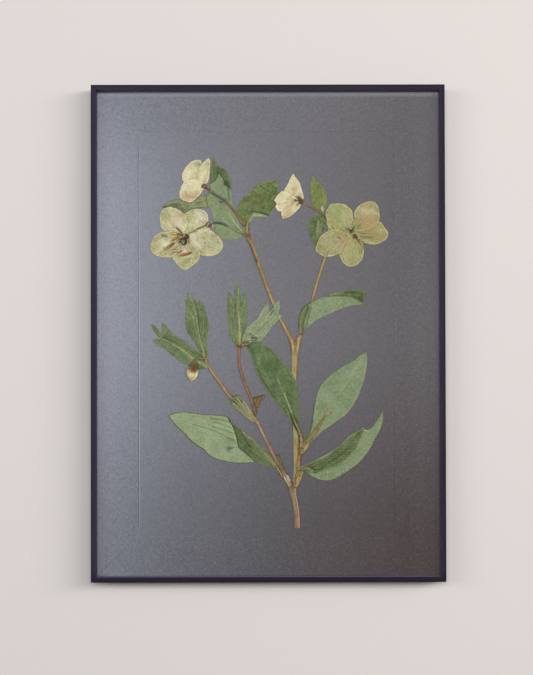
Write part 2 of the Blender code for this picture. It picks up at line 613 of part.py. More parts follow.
class Workshop:
    """Makes the pieces, gives each its material and keeps cutters apart."""

    def __init__(self):
        self.parts = new_collection("pressed_flower_frame")
        self.tools = new_collection("cutters")
        self.materials = {name: new_material(name) for name in MATERIALS}

    def place(self, name, data, finish):
        """An object of the part, with its material."""
        data.materials.append(self.materials[finish])
        made = bpy.data.objects.new(name, data)
        self.parts.objects.link(made)
        return made

    def hide(self, operand):
        """Move a Boolean's operand among the cutters, where it isn't rendered."""
        self.parts.objects.unlink(operand)
        self.tools.objects.link(operand)
        operand.hide_render = True
        operand.display_type = "WIRE"

    def combine(self, body, operand, operation):
        """Leave a Boolean with a hidden operand on a body."""
        self.hide(operand)
        step = body.modifiers.new(operation.lower(), "BOOLEAN")
        step.operation = operation
        step.object = operand

    def box(self, name, size, centre, finish):
        """A box of a size at a centre."""
        form = bmesh.new()
        bmesh.ops.create_cube(form, size=1, matrix=Matrix.Diagonal((*size, 1)))
        data = bpy.data.meshes.new(name)
        form.to_mesh(data)
        form.free()
        made = self.place(name, data, finish)
        made.location = centre
        return made

    def as_mesh(self, curve):
        """The mesh of a curve object, welded and in world space, in place of the curve."""
        bpy.context.view_layer.update()
        seen = curve.evaluated_get(bpy.context.evaluated_depsgraph_get())
        data = bpy.data.meshes.new_from_object(seen)
        form = bmesh.new()
        form.from_mesh(data)
        bmesh.ops.remove_doubles(form, verts=form.verts, dist=1e-6)
        form.transform(curve.matrix_world)
        bmesh.ops.recalc_face_normals(form, faces=form.faces)
        form.to_mesh(data)
        form.free()
        name = curve.name
        bpy.data.objects.remove(curve, do_unlink=True)
        made = bpy.data.objects.new(name, data)
        self.parts.objects.link(made)
        return made

    def plate(self, name, outline, front, back, finish):
        """A flat outline on the board, between two distances in front of it."""
        curve = bpy.data.curves.new(name, "CURVE")
        curve.dimensions = "2D"
        curve.fill_mode = "BOTH"
        curve.extrude = (front - back) / 2
        line = curve.splines.new("POLY")
        line.points.add(len(outline) - 1)
        line.use_cyclic_u = True
        for point, (x, z) in zip(line.points, outline):
            point.co = (x * MM, z * MM, 0, 1)
        made = self.place(name, curve, finish)
        made.rotation_euler.x = math.pi / 2
        made.location.y = BOARD_Y - (front + back) / 2
        return made

    def tube(self, name, route, half_widths, level, thick, finish):
        """A tube along a route on the board, pressed flat to a thickness."""
        curve = bpy.data.curves.new(name, "CURVE")
        curve.dimensions = "3D"
        curve.bevel_depth = MM
        curve.bevel_resolution = TUBE_SIDES
        curve.use_fill_caps = True
        line = curve.splines.new("POLY")
        line.points.add(len(route) - 1)
        for point, (x, z), half in zip(line.points, route, half_widths):
            point.co = (x * MM, 0, z * MM, 1)
            point.radius = half
        made = self.place(name, curve, finish)
        made.scale.y = thick / (2 * max(half_widths) * MM)
        made.location.y = BOARD_Y - level - thick / 2
        return made


def make_rails(shop):
    """Four mitred rails of one section: a front lip, a spacer shelf and a rear flange."""
    lip_y = FRONT_Y + WALL
    shelf_y = GLASS_Y + GLASS_THICK + GAP
    seat_y = BOARD_Y - GAP
    flange_y = REAR_Y - WALL
    section = (
        (EDGE_BREAK, FRONT_Y), (FACE_WIDTH - EDGE_BREAK, FRONT_Y), (FACE_WIDTH, FRONT_Y + EDGE_BREAK),
        (FACE_WIDTH, lip_y), (WALL, lip_y), (WALL, shelf_y), (FACE_WIDTH, shelf_y), (FACE_WIDTH, seat_y),
        (WALL, seat_y), (WALL, flange_y), (FACE_WIDTH, flange_y), (FACE_WIDTH, REAR_Y), (0, REAR_Y),
        (0, FRONT_Y + EDGE_BREAK),
    )
    sides = (
        ("rail_right", FRAME_WIDTH, FRAME_HEIGHT, 0),
        ("rail_top", FRAME_HEIGHT, FRAME_WIDTH, -math.pi / 2),
        ("rail_left", FRAME_WIDTH, FRAME_HEIGHT, math.pi),
        ("rail_bottom", FRAME_HEIGHT, FRAME_WIDTH, math.pi / 2),
    )
    for name, across, length, turn in sides:
        form = bmesh.new()
        low = -length / 2 + MITRE_GAP / 2
        face = form.faces.new([form.verts.new((across / 2 - inset, y, low + inset)) for inset, y in section])
        grown = bmesh.ops.extrude_face_region(form, geom=[face])
        for item in grown["geom"]:
            if isinstance(item, bmesh.types.BMVert):
                item.co.z = -item.co.z
        bmesh.ops.recalc_face_normals(form, faces=form.faces)
        data = bpy.data.meshes.new(name)
        form.to_mesh(data)
        form.free()
        shop.place(name, data, "frame_black").rotation_euler.y = turn


def make_panes(shop):
    """The glass, the board with its plate mark, and the backing board, held in the rails."""
    inset = 2 * (WALL + GAP)
    wide, tall = FRAME_WIDTH - inset, FRAME_HEIGHT - inset
    shop.box("glazing", (wide, GLASS_THICK, tall), (0, GLASS_Y + GLASS_THICK / 2, 0), "glass_clear")
    board = shop.box(
        "mount_board", (wide, BOARD_THICK, tall), (0, BOARD_Y + BOARD_THICK / 2, 0), "board_grey"
    )
    mark = shop.box(
        "plate_mark", (MARK_WIDTH, 2 * MARK_DEEP, MARK_HEIGHT), (MARK_CENTRE_X, BOARD_Y, 0), "board_grey"
    )
    shop.combine(board, mark, "DIFFERENCE")
    shop.box(
        "backing_board", (wide, BACKING_THICK, tall), (0, BACKING_Y + BACKING_THICK / 2, 0), "backing_brown"
    )


def make_clips(shop):
    """Bowed spring clips between the backing board and the rear flange of the side rails."""
    rise = REAR_Y - WALL - GAP - CLIP_Y - CLIP_THICK
    half = CLIP_LONG / 2
    radius = (half**2 + rise**2) / (2 * rise)
    sweep = math.asin(half / radius)
    angles = [sweep * (2 * n / CLIP_STEPS - 1) for n in range(CLIP_STEPS + 1)]
    inner = [(radius * math.sin(a), radius * (1 - math.cos(a)) + CLIP_THICK) for a in angles]
    outer = [(along, up - CLIP_THICK) for along, up in reversed(inner)]
    reach = FRAME_WIDTH / 2 - WALL - GAP - CLIP_WIDE / 2
    for side, x in (("left", -reach), ("right", reach)):
        for place, z in (("upper", CLIP_HEIGHT), ("lower", -CLIP_HEIGHT)):
            name = f"clip_{side}_{place}"
            curve = bpy.data.curves.new(name, "CURVE")
            curve.dimensions = "2D"
            curve.fill_mode = "BOTH"
            curve.extrude = CLIP_WIDE / 2
            line = curve.splines.new("POLY")
            line.points.add(len(inner) + len(outer) - 1)
            line.use_cyclic_u = True
            for point, (along, up) in zip(line.points, inner + outer):
                point.co = (along, up, 0, 1)
            clip = shop.place(name, curve, "spring_steel")
            clip.matrix_world = Matrix(((0, 0, 1, x), (0, 1, 0, CLIP_Y), (1, 0, 0, z), (0, 0, 0, 1)))


def make_hanger(shop):
    """A sawtooth hanger that bridges two feet on the backing board."""
    half, tall = HANGER_LONG / 2, HANGER_TALL / 2
    teeth = []
    for n in range(TOOTH_COUNT):
        root = (n - TOOTH_COUNT / 2) * TOOTH_PITCH
        teeth += [(root, -tall), (root + TOOTH_PITCH / 2, -tall + TOOTH_DEEP)]
    teeth.append((TOOTH_COUNT / 2 * TOOTH_PITCH, -tall))
    bevel = HANGER_TALL / 4
    outline = [
        (-half, -tall + bevel), (-half + bevel, -tall), *teeth, (half - bevel, -tall),
        (half, -tall + bevel), (half, tall - bevel), (half - bevel, tall), (-half + bevel, tall),
        (-half, tall - bevel),
    ]
    rear = -(CLIP_Y + HANGER_STAND - BOARD_Y)
    bar = shop.as_mesh(
        shop.plate(
            "sawtooth_hanger",
            [(x / MM, (z + HANGER_Z) / MM) for x, z in outline],
            rear, rear - HANGER_THICK, "spring_steel",
        )
    )
    for side in (-1, 1):
        deep = HANGER_STAND + HANGER_THICK / 2
        foot = shop.box(
            f"hanger_foot_{side + 1}",
            (HANGER_FOOT / 2, deep, HANGER_TALL / 2),
            (side * (half - HANGER_FOOT / 2), CLIP_Y + deep / 2, HANGER_Z),
            "spring_steel",
        )
        shop.combine(bar, foot, "UNION")


def make_stems(shop):
    """The stems and stalks, each a pressed tube that tapers along its route."""
    for stem in STEMS:
        shop.tube(stem.name, stem.route, stem.half_widths, stem.level, stem.thick, stem.finish)


def make_blade(shop, blade):
    """A leaf, bract or petal with its folded flap or its midrib."""
    front = blade.level + BLADE_THICK
    body = shop.plate(blade.name, blade.outline, front, blade.level, blade.finish)
    if not (blade.flap or blade.rib):
        return
    body = shop.as_mesh(body)
    middle = blade.level + BLADE_THICK / 2
    if blade.flap:
        flap = shop.plate(f"{blade.name}_flap", blade.flap, front + FLAP_RISE, middle, blade.finish)
        shop.combine(body, shop.as_mesh(flap), "UNION")
    if blade.rib:
        widths = [blade.rib_half_width * (1 - 0.6 * n / len(blade.rib)) for n in range(len(blade.rib))]
        thick = BLADE_THICK / 2 + RIB_RISE
        rib = shop.tube(f"{blade.name}_rib", blade.rib, widths, middle, thick, blade.finish)
        shop.combine(body, shop.as_mesh(rib), "UNION")


def make_pressed_ball(shop, name, centre, half_size, level, thick, finish):
    """A ball pressed flat on the board, such as a bud or a seed vessel."""
    form = bmesh.new()
    scale = Matrix.Diagonal((half_size[0] * MM, thick / 2, half_size[1] * MM, 1))
    bmesh.ops.create_uvsphere(form, u_segments=12, v_segments=6, radius=1, matrix=scale)
    form.transform(Matrix.Translation((centre[0] * MM, BOARD_Y - level - thick / 2, centre[1] * MM)))
    data = bpy.data.meshes.new(name)
    form.to_mesh(data)
    form.free()
    return shop.place(name, data, finish)


def make_bud(shop):
    """The closed bud, hanging from its own curved stalk."""
    bud = make_pressed_ball(shop, "bud", BUD_CENTRE, BUD_SIZE, SECOND, BUD_THICK, "petal_cream")
    widths = [BUD_STALK_HALF_WIDTH] * len(BUD_STALK)
    stalk = shop.tube("bud_stalk", BUD_STALK, widths, SECOND, STALK_THICK, "stalk_brown")
    shop.combine(bud, shop.as_mesh(stalk), "UNION")


def make_heart(shop):
    """The heart of the open flower: its disc, its seed vessels and five stamens."""
    heart = make_pressed_ball(
        shop, "flower_two_heart", HEART_CENTRE, HEART_SIZE, OVER_LEAF, STALK_THICK, "stalk_brown"
    )
    vessels = make_pressed_ball(
        shop, "seed_vessels", CARPEL_CENTRE, CARPEL_SIZE, OVER_LEAF, STALK_THICK * 1.3, "stalk_brown"
    )
    shop.combine(heart, vessels, "UNION")
    for number, route in enumerate(STAMENS):
        widths = [STAMEN_HALF_WIDTH] * len(route)
        level = OVER_LEAF + STAMEN_STEP * (number + 1)
        stamen = shop.tube(f"stamen_{number}", route, widths, level, STALK_THICK * 0.6, "stalk_brown")
        shop.combine(heart, shop.as_mesh(stamen), "UNION")


def main():
    """Build the frame from its front to its back, then the specimen."""
    clear_scene()
    shop = Workshop()
    make_rails(shop)
    make_panes(shop)
    make_clips(shop)
    make_hanger(shop)
    make_stems(shop)
    for blade in LEAVES + BRACTS + PETALS:
        make_blade(shop, blade)
    make_bud(shop)
    make_heart(shop)


main()
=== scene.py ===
import logging
import math
from dataclasses import dataclass
from enum import Enum
from typing import Any, Callable, Iterator, Sequence

import bmesh
import bpy
import numpy as np
from bpy.types import Material, Mesh, NodeSocket, Object
from mathutils import Matrix, Vector
from mathutils.geometry import delaunay_2d_cdt


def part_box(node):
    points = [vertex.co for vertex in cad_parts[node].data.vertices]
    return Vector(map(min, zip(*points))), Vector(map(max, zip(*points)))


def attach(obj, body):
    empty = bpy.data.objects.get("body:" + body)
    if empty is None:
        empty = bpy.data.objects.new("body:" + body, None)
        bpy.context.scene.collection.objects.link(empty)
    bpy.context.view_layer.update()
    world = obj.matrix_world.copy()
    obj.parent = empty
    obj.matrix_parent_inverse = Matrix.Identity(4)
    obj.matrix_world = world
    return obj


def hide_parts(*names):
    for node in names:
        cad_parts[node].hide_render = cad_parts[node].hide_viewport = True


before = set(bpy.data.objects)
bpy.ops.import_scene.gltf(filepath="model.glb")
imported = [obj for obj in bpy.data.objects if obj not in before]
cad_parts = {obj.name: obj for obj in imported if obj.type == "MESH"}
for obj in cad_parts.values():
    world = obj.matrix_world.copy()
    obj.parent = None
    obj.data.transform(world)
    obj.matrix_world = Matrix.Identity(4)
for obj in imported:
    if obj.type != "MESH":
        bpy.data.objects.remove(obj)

LOG = logging.getLogger("pressed_flower_frame")
MM = 0.001
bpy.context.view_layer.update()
BOARD_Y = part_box("mount_board")[0][1]

Array = np.ndarray
Point = tuple[float, float]
Colour = tuple[float, float, float]


def srgb(red: int, green: int, blue: int) -> Colour:
    """A colour given as the eye sees it on a screen, in linear light.

    Args:
        red: from 0 to 255.
        green: from 0 to 255.
        blue: from 0 to 255.

    Returns:
        The three parts from 0 to 1.
    """
    return tuple(
        c / 12.92 if c <= 0.04045 else ((c + 0.055) / 1.055) ** 2.4
        for c in (red / 255, green / 255, blue / 255)
    )


def palette(text: str) -> list[Colour]:
    """Colours written as "red green blue, ..." from 0 to 255."""
    return [srgb(*map(int, entry.split())) for entry in text.split(",")]


def route(text: str) -> tuple[Point, ...]:
    """A route written as "x z, x z, ..." in millimetres."""
    return tuple(tuple(map(float, pair.split())) for pair in text.split(",") if pair.strip())


def entries(text: str) -> Iterator[tuple[list[str], tuple[Point, ...]]]:
    """Reads entries written as "words: route | route; words: route".

    Args:
        text: the entries.

    Returns:
        Each route with the words before it.
    """
    for entry in filter(None, map(str.strip, text.split(";"))):
        words, _, ways = entry.partition(":")
        for way in ways.split("|"):
            yield words.split(), route(way)


def place(across: Array, up: Array, height: Array) -> Array:
    """Places in metres, from millimetres right of and above the frame's middle and before the board."""
    return np.column_stack((across * MM, BOARD_Y - height * MM, up * MM))


def step_between(low: float, high: float, value: Array) -> Array:
    """A smooth step from 0 at low to 1 at high."""
    x = np.clip((value - low) / (high - low), 0, 1)
    return x * x * (3 - 2 * x)


def maths(operation: str, reflected: bool = False) -> Callable[..., "Socket"]:
    """Makes a Socket's operator.

    Args:
        operation: the Math node's operation.
        reflected: whether the Socket stands on the operator's right.

    Returns:
        The operator's method.
    """

    def operator(value: "Socket", *others: Any) -> "Socket":
        """Adds the Math node."""
        return value.math(operation, *((*others, value) if reflected else (value, *others)))

    return operator


class Socket:
    """A node's output that can stand in a sum, and adds its Math nodes by itself."""

    __add__, __radd__ = maths("ADD"), maths("ADD", True)
    __sub__, __rsub__ = maths("SUBTRACT"), maths("SUBTRACT", True)
    __mul__, __rmul__ = maths("MULTIPLY"), maths("MULTIPLY", True)
    __truediv__, __abs__ = maths("DIVIDE"), maths("ABSOLUTE")

    def __init__(self, recipe: "Recipe", output: NodeSocket) -> None:
        """Wraps an output of one of the recipe's nodes."""
        self.recipe = recipe
        self.output = output

    def math(self, operation: str, *values: Any) -> "Socket":
        """One Math node on this value and others."""
        return self.recipe.add("ShaderNodeMath", {"operation": operation}, dict(enumerate(values)))

    def fraction(self) -> "Socket":
        """What is left after the whole part."""
        return self.math("FRACT", self)

    def fade(self, start: float, end: float, low: float = 0.0, high: float = 1.0) -> "Socket":
        """A smooth step: low where the value is start, high where it is end."""
        values = {0: self, "From Min": start, "From Max": end, "To Min": low, "To Max": high}
        return self.recipe.add("ShaderNodeMapRange", {"interpolation_type": "SMOOTHSTEP"}, values)


class Recipe:
    """A material in the making: its node tree, its shader and the ways to add to them."""

    def __init__(self, name: str) -> None:
        """Starts an empty node tree with one Principled shader.

        Args:
            name: the material's name.
        """
        self.material = bpy.data.materials.new(name)
        self.material.use_nodes = True
        self.tree = self.material.node_tree
        self.shader = self.tree.nodes["Principled BSDF"]
        self.surface = self.tree.nodes["Material Output"].inputs["Surface"]

    def add(
        self, kind: str, settings: dict | None = None, values: dict | None = None, output: Any = None
    ) -> Socket:
        """Adds a node.

        Args:
            kind: the node's type.
            settings: its own settings, and a ramp's stops under "stops".
            values: numbers, colours or Sockets for its inputs, by name or index.
            output: the output wanted, by name or index; the first live one if left out.

        Returns:
            The output as a Socket.
        """
        node = self.tree.nodes.new(kind)
        for key, value in (settings or {}).items():
            if key == "stops":
                ramp = node.color_ramp
                while len(ramp.elements) < len(value):
                    ramp.elements.new(0.5)
                for element, (position, colour) in zip(ramp.elements, value):
                    element.position = position
                    element.color = (*colour, 1)
            else:
                setattr(node, key, value)
        for key, value in (values or {}).items():
            self.feed(node.inputs[key], value)
        if output is None:
            return Socket(self, next(o for o in node.outputs if o.enabled))
        return Socket(self, node.outputs[output])

    def feed(self, socket: NodeSocket, value: Any) -> None:
        """Links a Socket to an input, or sets the input's own value.

        Args:
            socket: the input.
            value: the Socket, a number, a colour or a vector.
        """
        if isinstance(value, Socket):
            self.tree.links.new(value.output, socket)
        elif socket.type == "RGBA" and len(value) == 3:
            socket.default_value = (*value, 1)
        else:
            socket.default_value = value

    def set(self, **values: Any) -> None:
        """Feeds the Principled shader's inputs: Base_Color stands for Base Color."""
        for key, value in values.items():
            self.feed(self.shader.inputs[key.replace("_", " ")], value)

    def position(self) -> Socket:
        """Object coordinates in millimetres."""
        found = self.add("ShaderNodeTexCoord", output="Object")
        return self.add("ShaderNodeVectorMath", {"operation": "SCALE"}, {0: found, "Scale": 1 / MM})

    def attribute(self, name: str, output: str = "Vector") -> Socket:
        """An attribute of the mesh."""
        return self.add("ShaderNodeAttribute", {"attribute_name": name}, output=output)

    def split(self, vector: Socket) -> tuple[Socket, Socket, Socket]:
        """The three parts of a vector.

        Args:
            vector: the vector.

        Returns:
            Its x, y and z.
        """
        node = self.tree.nodes.new("ShaderNodeSeparateXYZ")
        self.feed(node.inputs[0], vector)
        return tuple(Socket(self, out) for out in node.outputs)

    def join(self, x: Any, y: Any, z: Any) -> Socket:
        """A vector of three values."""
        return self.add("ShaderNodeCombineXYZ", values={0: x, 1: y, 2: z})

    def noise(self, vector: Socket, scale: float, detail: float = 3, roughness: float = 0.5) -> Socket:
        """A noise texture's grey value."""
        values = {"Vector": vector, "Scale": scale, "Detail": detail, "Roughness": roughness}
        return self.add("ShaderNodeTexNoise", None, values, "Fac")

    def cells(self, vector: Socket, scale: float) -> Socket:
        """The distance to the edge between cells, as in a fine net."""
        values = {"Vector": vector, "Scale": scale}
        return self.add("ShaderNodeTexVoronoi", {"feature": "DISTANCE_TO_EDGE"}, values, "Distance")

    def ramp(self, value: Socket, *stops: tuple[float, Colour]) -> Socket:
        """A colour ramp."""
        return self.add("ShaderNodeValToRGB", {"stops": stops}, {0: value}, "Color")

    def mix(self, share: Any, first: Any, second: Any, blend: str = "MIX") -> Socket:
        """One colour over another.

        Args:
            share: how much of the second shows.
            first: the colour below.
            second: the colour above.
            blend: the way in which they blend.

        Returns:
            The mixed colour.
        """
        node = self.tree.nodes.new("ShaderNodeMix")
        node.data_type = "RGBA"
        node.blend_type = blend
        self.feed(node.inputs["Factor"], share)
        self.feed(node.inputs[6], first)
        self.feed(node.inputs[7], second)
        return Socket(self, node.outputs[2])

    def bump(self, height: Socket, distance: float, strength: float = 1.0) -> None:
        """Feeds the shader's normal from a height in metres of distance."""
        values = {"Height": height, "Distance": distance, "Strength": strength}
        self.set(Normal=self.add("ShaderNodeBump", None, values))

    def layer(self, share: Socket, *shaders: Socket) -> None:
        """Feeds the material's surface from two shaders and the second one's share."""
        mixed = self.add("ShaderNodeMixShader", None, dict(enumerate((share, *shaders))), "Shader")
        self.feed(self.surface, mixed)

    def body(self) -> Socket:
        """The Principled shader itself."""
        return Socket(self, self.shader.outputs["BSDF"])


class Mark(Enum):
    """The colours of marks on dried tissue. Besides real stains, DARK marks also paint shade in folds and
    slits,
    WHITE marks paint highlights on crumples, and DARK and PALE carry the pleats' painted shade and
    highlights.
    """

    BROWN = srgb(112, 76, 48)
    PALE = srgb(204, 204, 156)
    DARK = srgb(50, 55, 40)
    PINK = srgb(194, 160, 130)
    GREEN = srgb(108, 122, 76)
    TAN = srgb(176, 148, 104)
    STRAW = srgb(166, 154, 100)
    WHITE = srgb(244, 238, 210)
    ORANGE = srgb(204, 140, 52)
    BLUE = srgb(84, 100, 100)


CONTACT_SHADOW_TINT = srgb(120, 110, 106)
# What a blade's colour is multiplied by where another piece lies close beside it: a painted contact shadow.
"""What a blade's colour is multiplied by where another piece lies close beside it."""


@dataclass(frozen=True)
class Stain:
    """A mark along a short route on a blade. A route of one point is drawn as a dot."""

    dot = 0.01

    kind: Mark
    radius: float
    strength: float
    way: tuple[Point, ...]

    def cover(self, points: Array) -> Array:
        """How much the mark covers: most on its route, and softly less beside it.

        Args:
            points: positions in millimetres.

        Returns:
            A share for each point.
        """
        (x, z), *others = self.way
        line = np.array(((x, z), *(others or ((x + self.dot, z),))))
        if len(line) > 2:
            line = Curves.bent(line)
        return self.strength * np.exp(-(Curves.nearest(points, line)[0] / self.radius) ** 2)


def stains_of(text: str) -> list[Stain]:
    """Reads marks written as "kind radius strength: route; ...".

    Args:
        text: the marks.

    Returns:
        The marks in the same order.
    """
    return [
        Stain(Mark[kind.upper()], float(wide), float(share), way)
        for (kind, wide, share), way in entries(text)
    ]


def paint(points: Array, stains: Sequence[Stain]) -> Array:
    """Lays marks over each other.

    Args:
        points: positions in millimetres.
        stains: the marks, the last one on top.

    Returns:
        Each point's colour, already weighed by its cover, and the cover itself.
    """
    found = np.zeros((len(points), 4))
    for stain in stains:
        share = stain.cover(points)[:, None]
        found = found * (1 - share) + share * np.array((*stain.kind.value, 1.0))
    return found


@dataclass(frozen=True)
class Tissue:
    """The finish of pressed leaves and petals, with veins that follow each blade, and with painted shade in
    the hollows between veins, along crinkle lines with painted highlights beside them, and as a contact
    shadow where another piece lies close beside it.

    Its tones are dark, main, light, vein, rim and midrib. A blade without a midrib has the width 0.
    """

    name: str
    tones: str
    vein_share: float = 0.3
    vein_pitch: float = 3.2
    vein_lean: float = 1.2
    vein_width: float = 0.42
    fan_count: float = 0.0
    midrib_width: float = 0.0
    midrib_long: float = 40.0
    midrib_share: float = 0.7
    streaks: float = 0.35
    painted_crinkle_shading: float = 0.3
    roughness: float = 0.62
    patches: float = 0.08
    rim_share: float = 0.6
    fleck: float = 0.0
    # beside is the strength of the painted contact shadow where another piece lies close by.
    beside: float = 0.5

    def make(self) -> Material:
        """Builds the material.

        Returns:
            The material.
        """
        dark, main, light, vein, rim, midrib = palette(self.tones)
        mix = Recipe(self.name)
        along, across, edge = mix.split(mix.attribute("grain"))
        share, half, seed = mix.split(mix.attribute("blade"))
        here = mix.position()
        mottle = mix.noise(here, 0.36, 4, 0.65)
        fine = mix.noise(here, 1.1, 3, 0.6)
        tone = mix.noise(here, self.patches, 4, 0.6) * 0.35 + mottle * 0.4 + fine * 0.25
        tone = tone + (seed - 0.5) * 0.05
        colour = mix.ramp(tone, (0.42, dark), (0.5, main), (0.58, light))
        threads = mix.noise(mix.join(share * half * 0.9, along * 0.07, seed * 31), 1.2, 3, 0.62)
        colour = mix.mix(threads.fade(0.5, 0.68) * self.streaks, colour, light)
        colour = mix.mix(threads.fade(0.5, 0.32) * self.streaks, colour, dark)
        if self.fan_count:
            veins, painted_hollow_shade = self.fan(share, half, along, mottle)
            side, up = share * 6, along * 0.14
        else:
            veins, painted_hollow_shade = self.feather(along, across, mottle)
            side, up = across * 0.35, along * 0.25
        cells = mix.cells(mix.join(side + mottle * 0.8, up + fine * 0.5, seed * 9), 1.0)
        creases = cells.fade(0.1, 0.01)
        inner = edge.fade(0.2, 1.6)
        # Painted shade in the hollows between the veins.
        colour = mix.mix(painted_hollow_shade * inner * (self.vein_share * 0.6), colour, dark)
        colour = mix.mix(veins * inner * self.vein_share, colour, vein)
        # Crinkle lines: painted shade along the cells' edges and a painted highlight in a band beside them.
        colour = mix.mix(creases * mottle.fade(0.42, 0.62) * self.painted_crinkle_shading, colour, dark)
        colour = mix.mix(cells.fade(0.1, 0.2) * cells.fade(0.34, 0.2) * (self.painted_crinkle_shading * 0.6), colour, light)
        if self.midrib_width:
            wide = along.fade(0.0, self.midrib_long, self.midrib_width, 0.3)
            fading = along.fade(self.midrib_long * 1.8, self.midrib_long * 0.5)
            rib = (1 - (abs(across) / wide).fade(0.4, 1.0)) * fading
            colour = mix.mix((abs(across) / wide).fade(2.6, 1.0) * fading * 0.35, colour, dark)
            colour = mix.mix(rib * self.midrib_share, colour, midrib)
        colour = mix.mix(edge.fade(1.0, 0.2) * mottle.fade(0.35, 0.6, 0.4, 1.0) * self.rim_share, colour, rim)
        if self.fleck:
            flecks = mix.noise(here, 1.4, 2, 0.5).fade(0.6, 0.72)
            colour = mix.mix(flecks * self.fleck, colour, Mark.BROWN.value)
        colour = self.marked(mix, colour, mottle)
        # Painted contact shadow where a later piece lies close beside the blade.
        beside = mix.attribute("shade", "Fac")
        colour = mix.mix(beside * self.beside, colour, mix.mix(1.0, colour, CONTACT_SHADOW_TINT, "MULTIPLY"))
        mix.set(
            Base_Color=colour,
            Roughness=mottle.fade(0.3, 0.7, self.roughness - 0.07, self.roughness + 0.1),
            Specular_IOR_Level=0.3,
        )
        relief = veins * inner * 0.5 + cells.fade(0.0, 0.25) * 0.5 + threads * 0.6 + mottle * 0.7
        mix.bump(relief + fine * 0.25, 0.0003)
        return mix.material

    def feather(self, along: Socket, across: Socket, mottle: Socket) -> tuple[Socket, Socket]:
        """Side veins that leave a midrib.

        Args:
            along: millimetres along the blade's axis.
            across: millimetres from it.
            mottle: a noise that bends the veins.

        Returns:
            The veins, and the painted shade in the hollows between them.
        """
        bent = (along - abs(across) * self.vein_lean + mottle * 3.0) / self.vein_pitch
        away = abs(bent.fraction() - 0.5) * self.vein_pitch
        return away.fade(self.vein_width, 0.05), away.fade(self.vein_pitch * 0.2, self.vein_pitch * 0.42)

    def fan(self, share: Socket, half: Socket, along: Socket, mottle: Socket) -> tuple[Socket, Socket]:
        """Veins that spread from the base and fork.

        Args:
            share: how far out a point lies, from -1 to 1.
            half: the blade's half width there.
            along: millimetres along the blade's axis.
            mottle: a noise that bends the veins.

        Returns:
            The veins, and the painted shade in the hollows between them.
        """
        turn = share * self.fan_count + mottle * 0.6
        away = abs(turn.fraction() - 0.5)
        fork = share * (self.fan_count * 2) + mottle * 0.9
        near = abs(fork.fraction() - 0.5) * half * (0.5 / self.fan_count)
        main = (away * half * (1 / self.fan_count)).fade(self.vein_width, 0.04)
        fine = near.fade(self.vein_width * 0.8, 0.03) * along.fade(6.0, 12.0) * 0.7
        return main.math("MAXIMUM", main, fine), away.fade(0.25, 0.5)

    @staticmethod
    def marked(mix: Recipe, colour: Socket, mottle: Socket) -> Socket:
        """Lays the listed marks over a colour, with rough edges.

        Args:
            mix: the material in the making.
            colour: the colour below.
            mottle: a noise that roughens the edges.

        Returns:
            The marked colour.
        """
        cover = mix.attribute("marks", "Alpha")
        whole = cover.math("DIVIDE", 1.0, cover.math("MAXIMUM", cover, 0.001))
        values = {0: mix.attribute("marks"), "Scale": whole}
        tint = mix.add("ShaderNodeVectorMath", {"operation": "SCALE"}, values)
        return mix.mix((cover + (mottle - 0.5) * cover).fade(0.03, 0.92), colour, tint)


PETAL = {"fan_count": 5.5, "vein_width": 0.3, "roughness": 0.58}

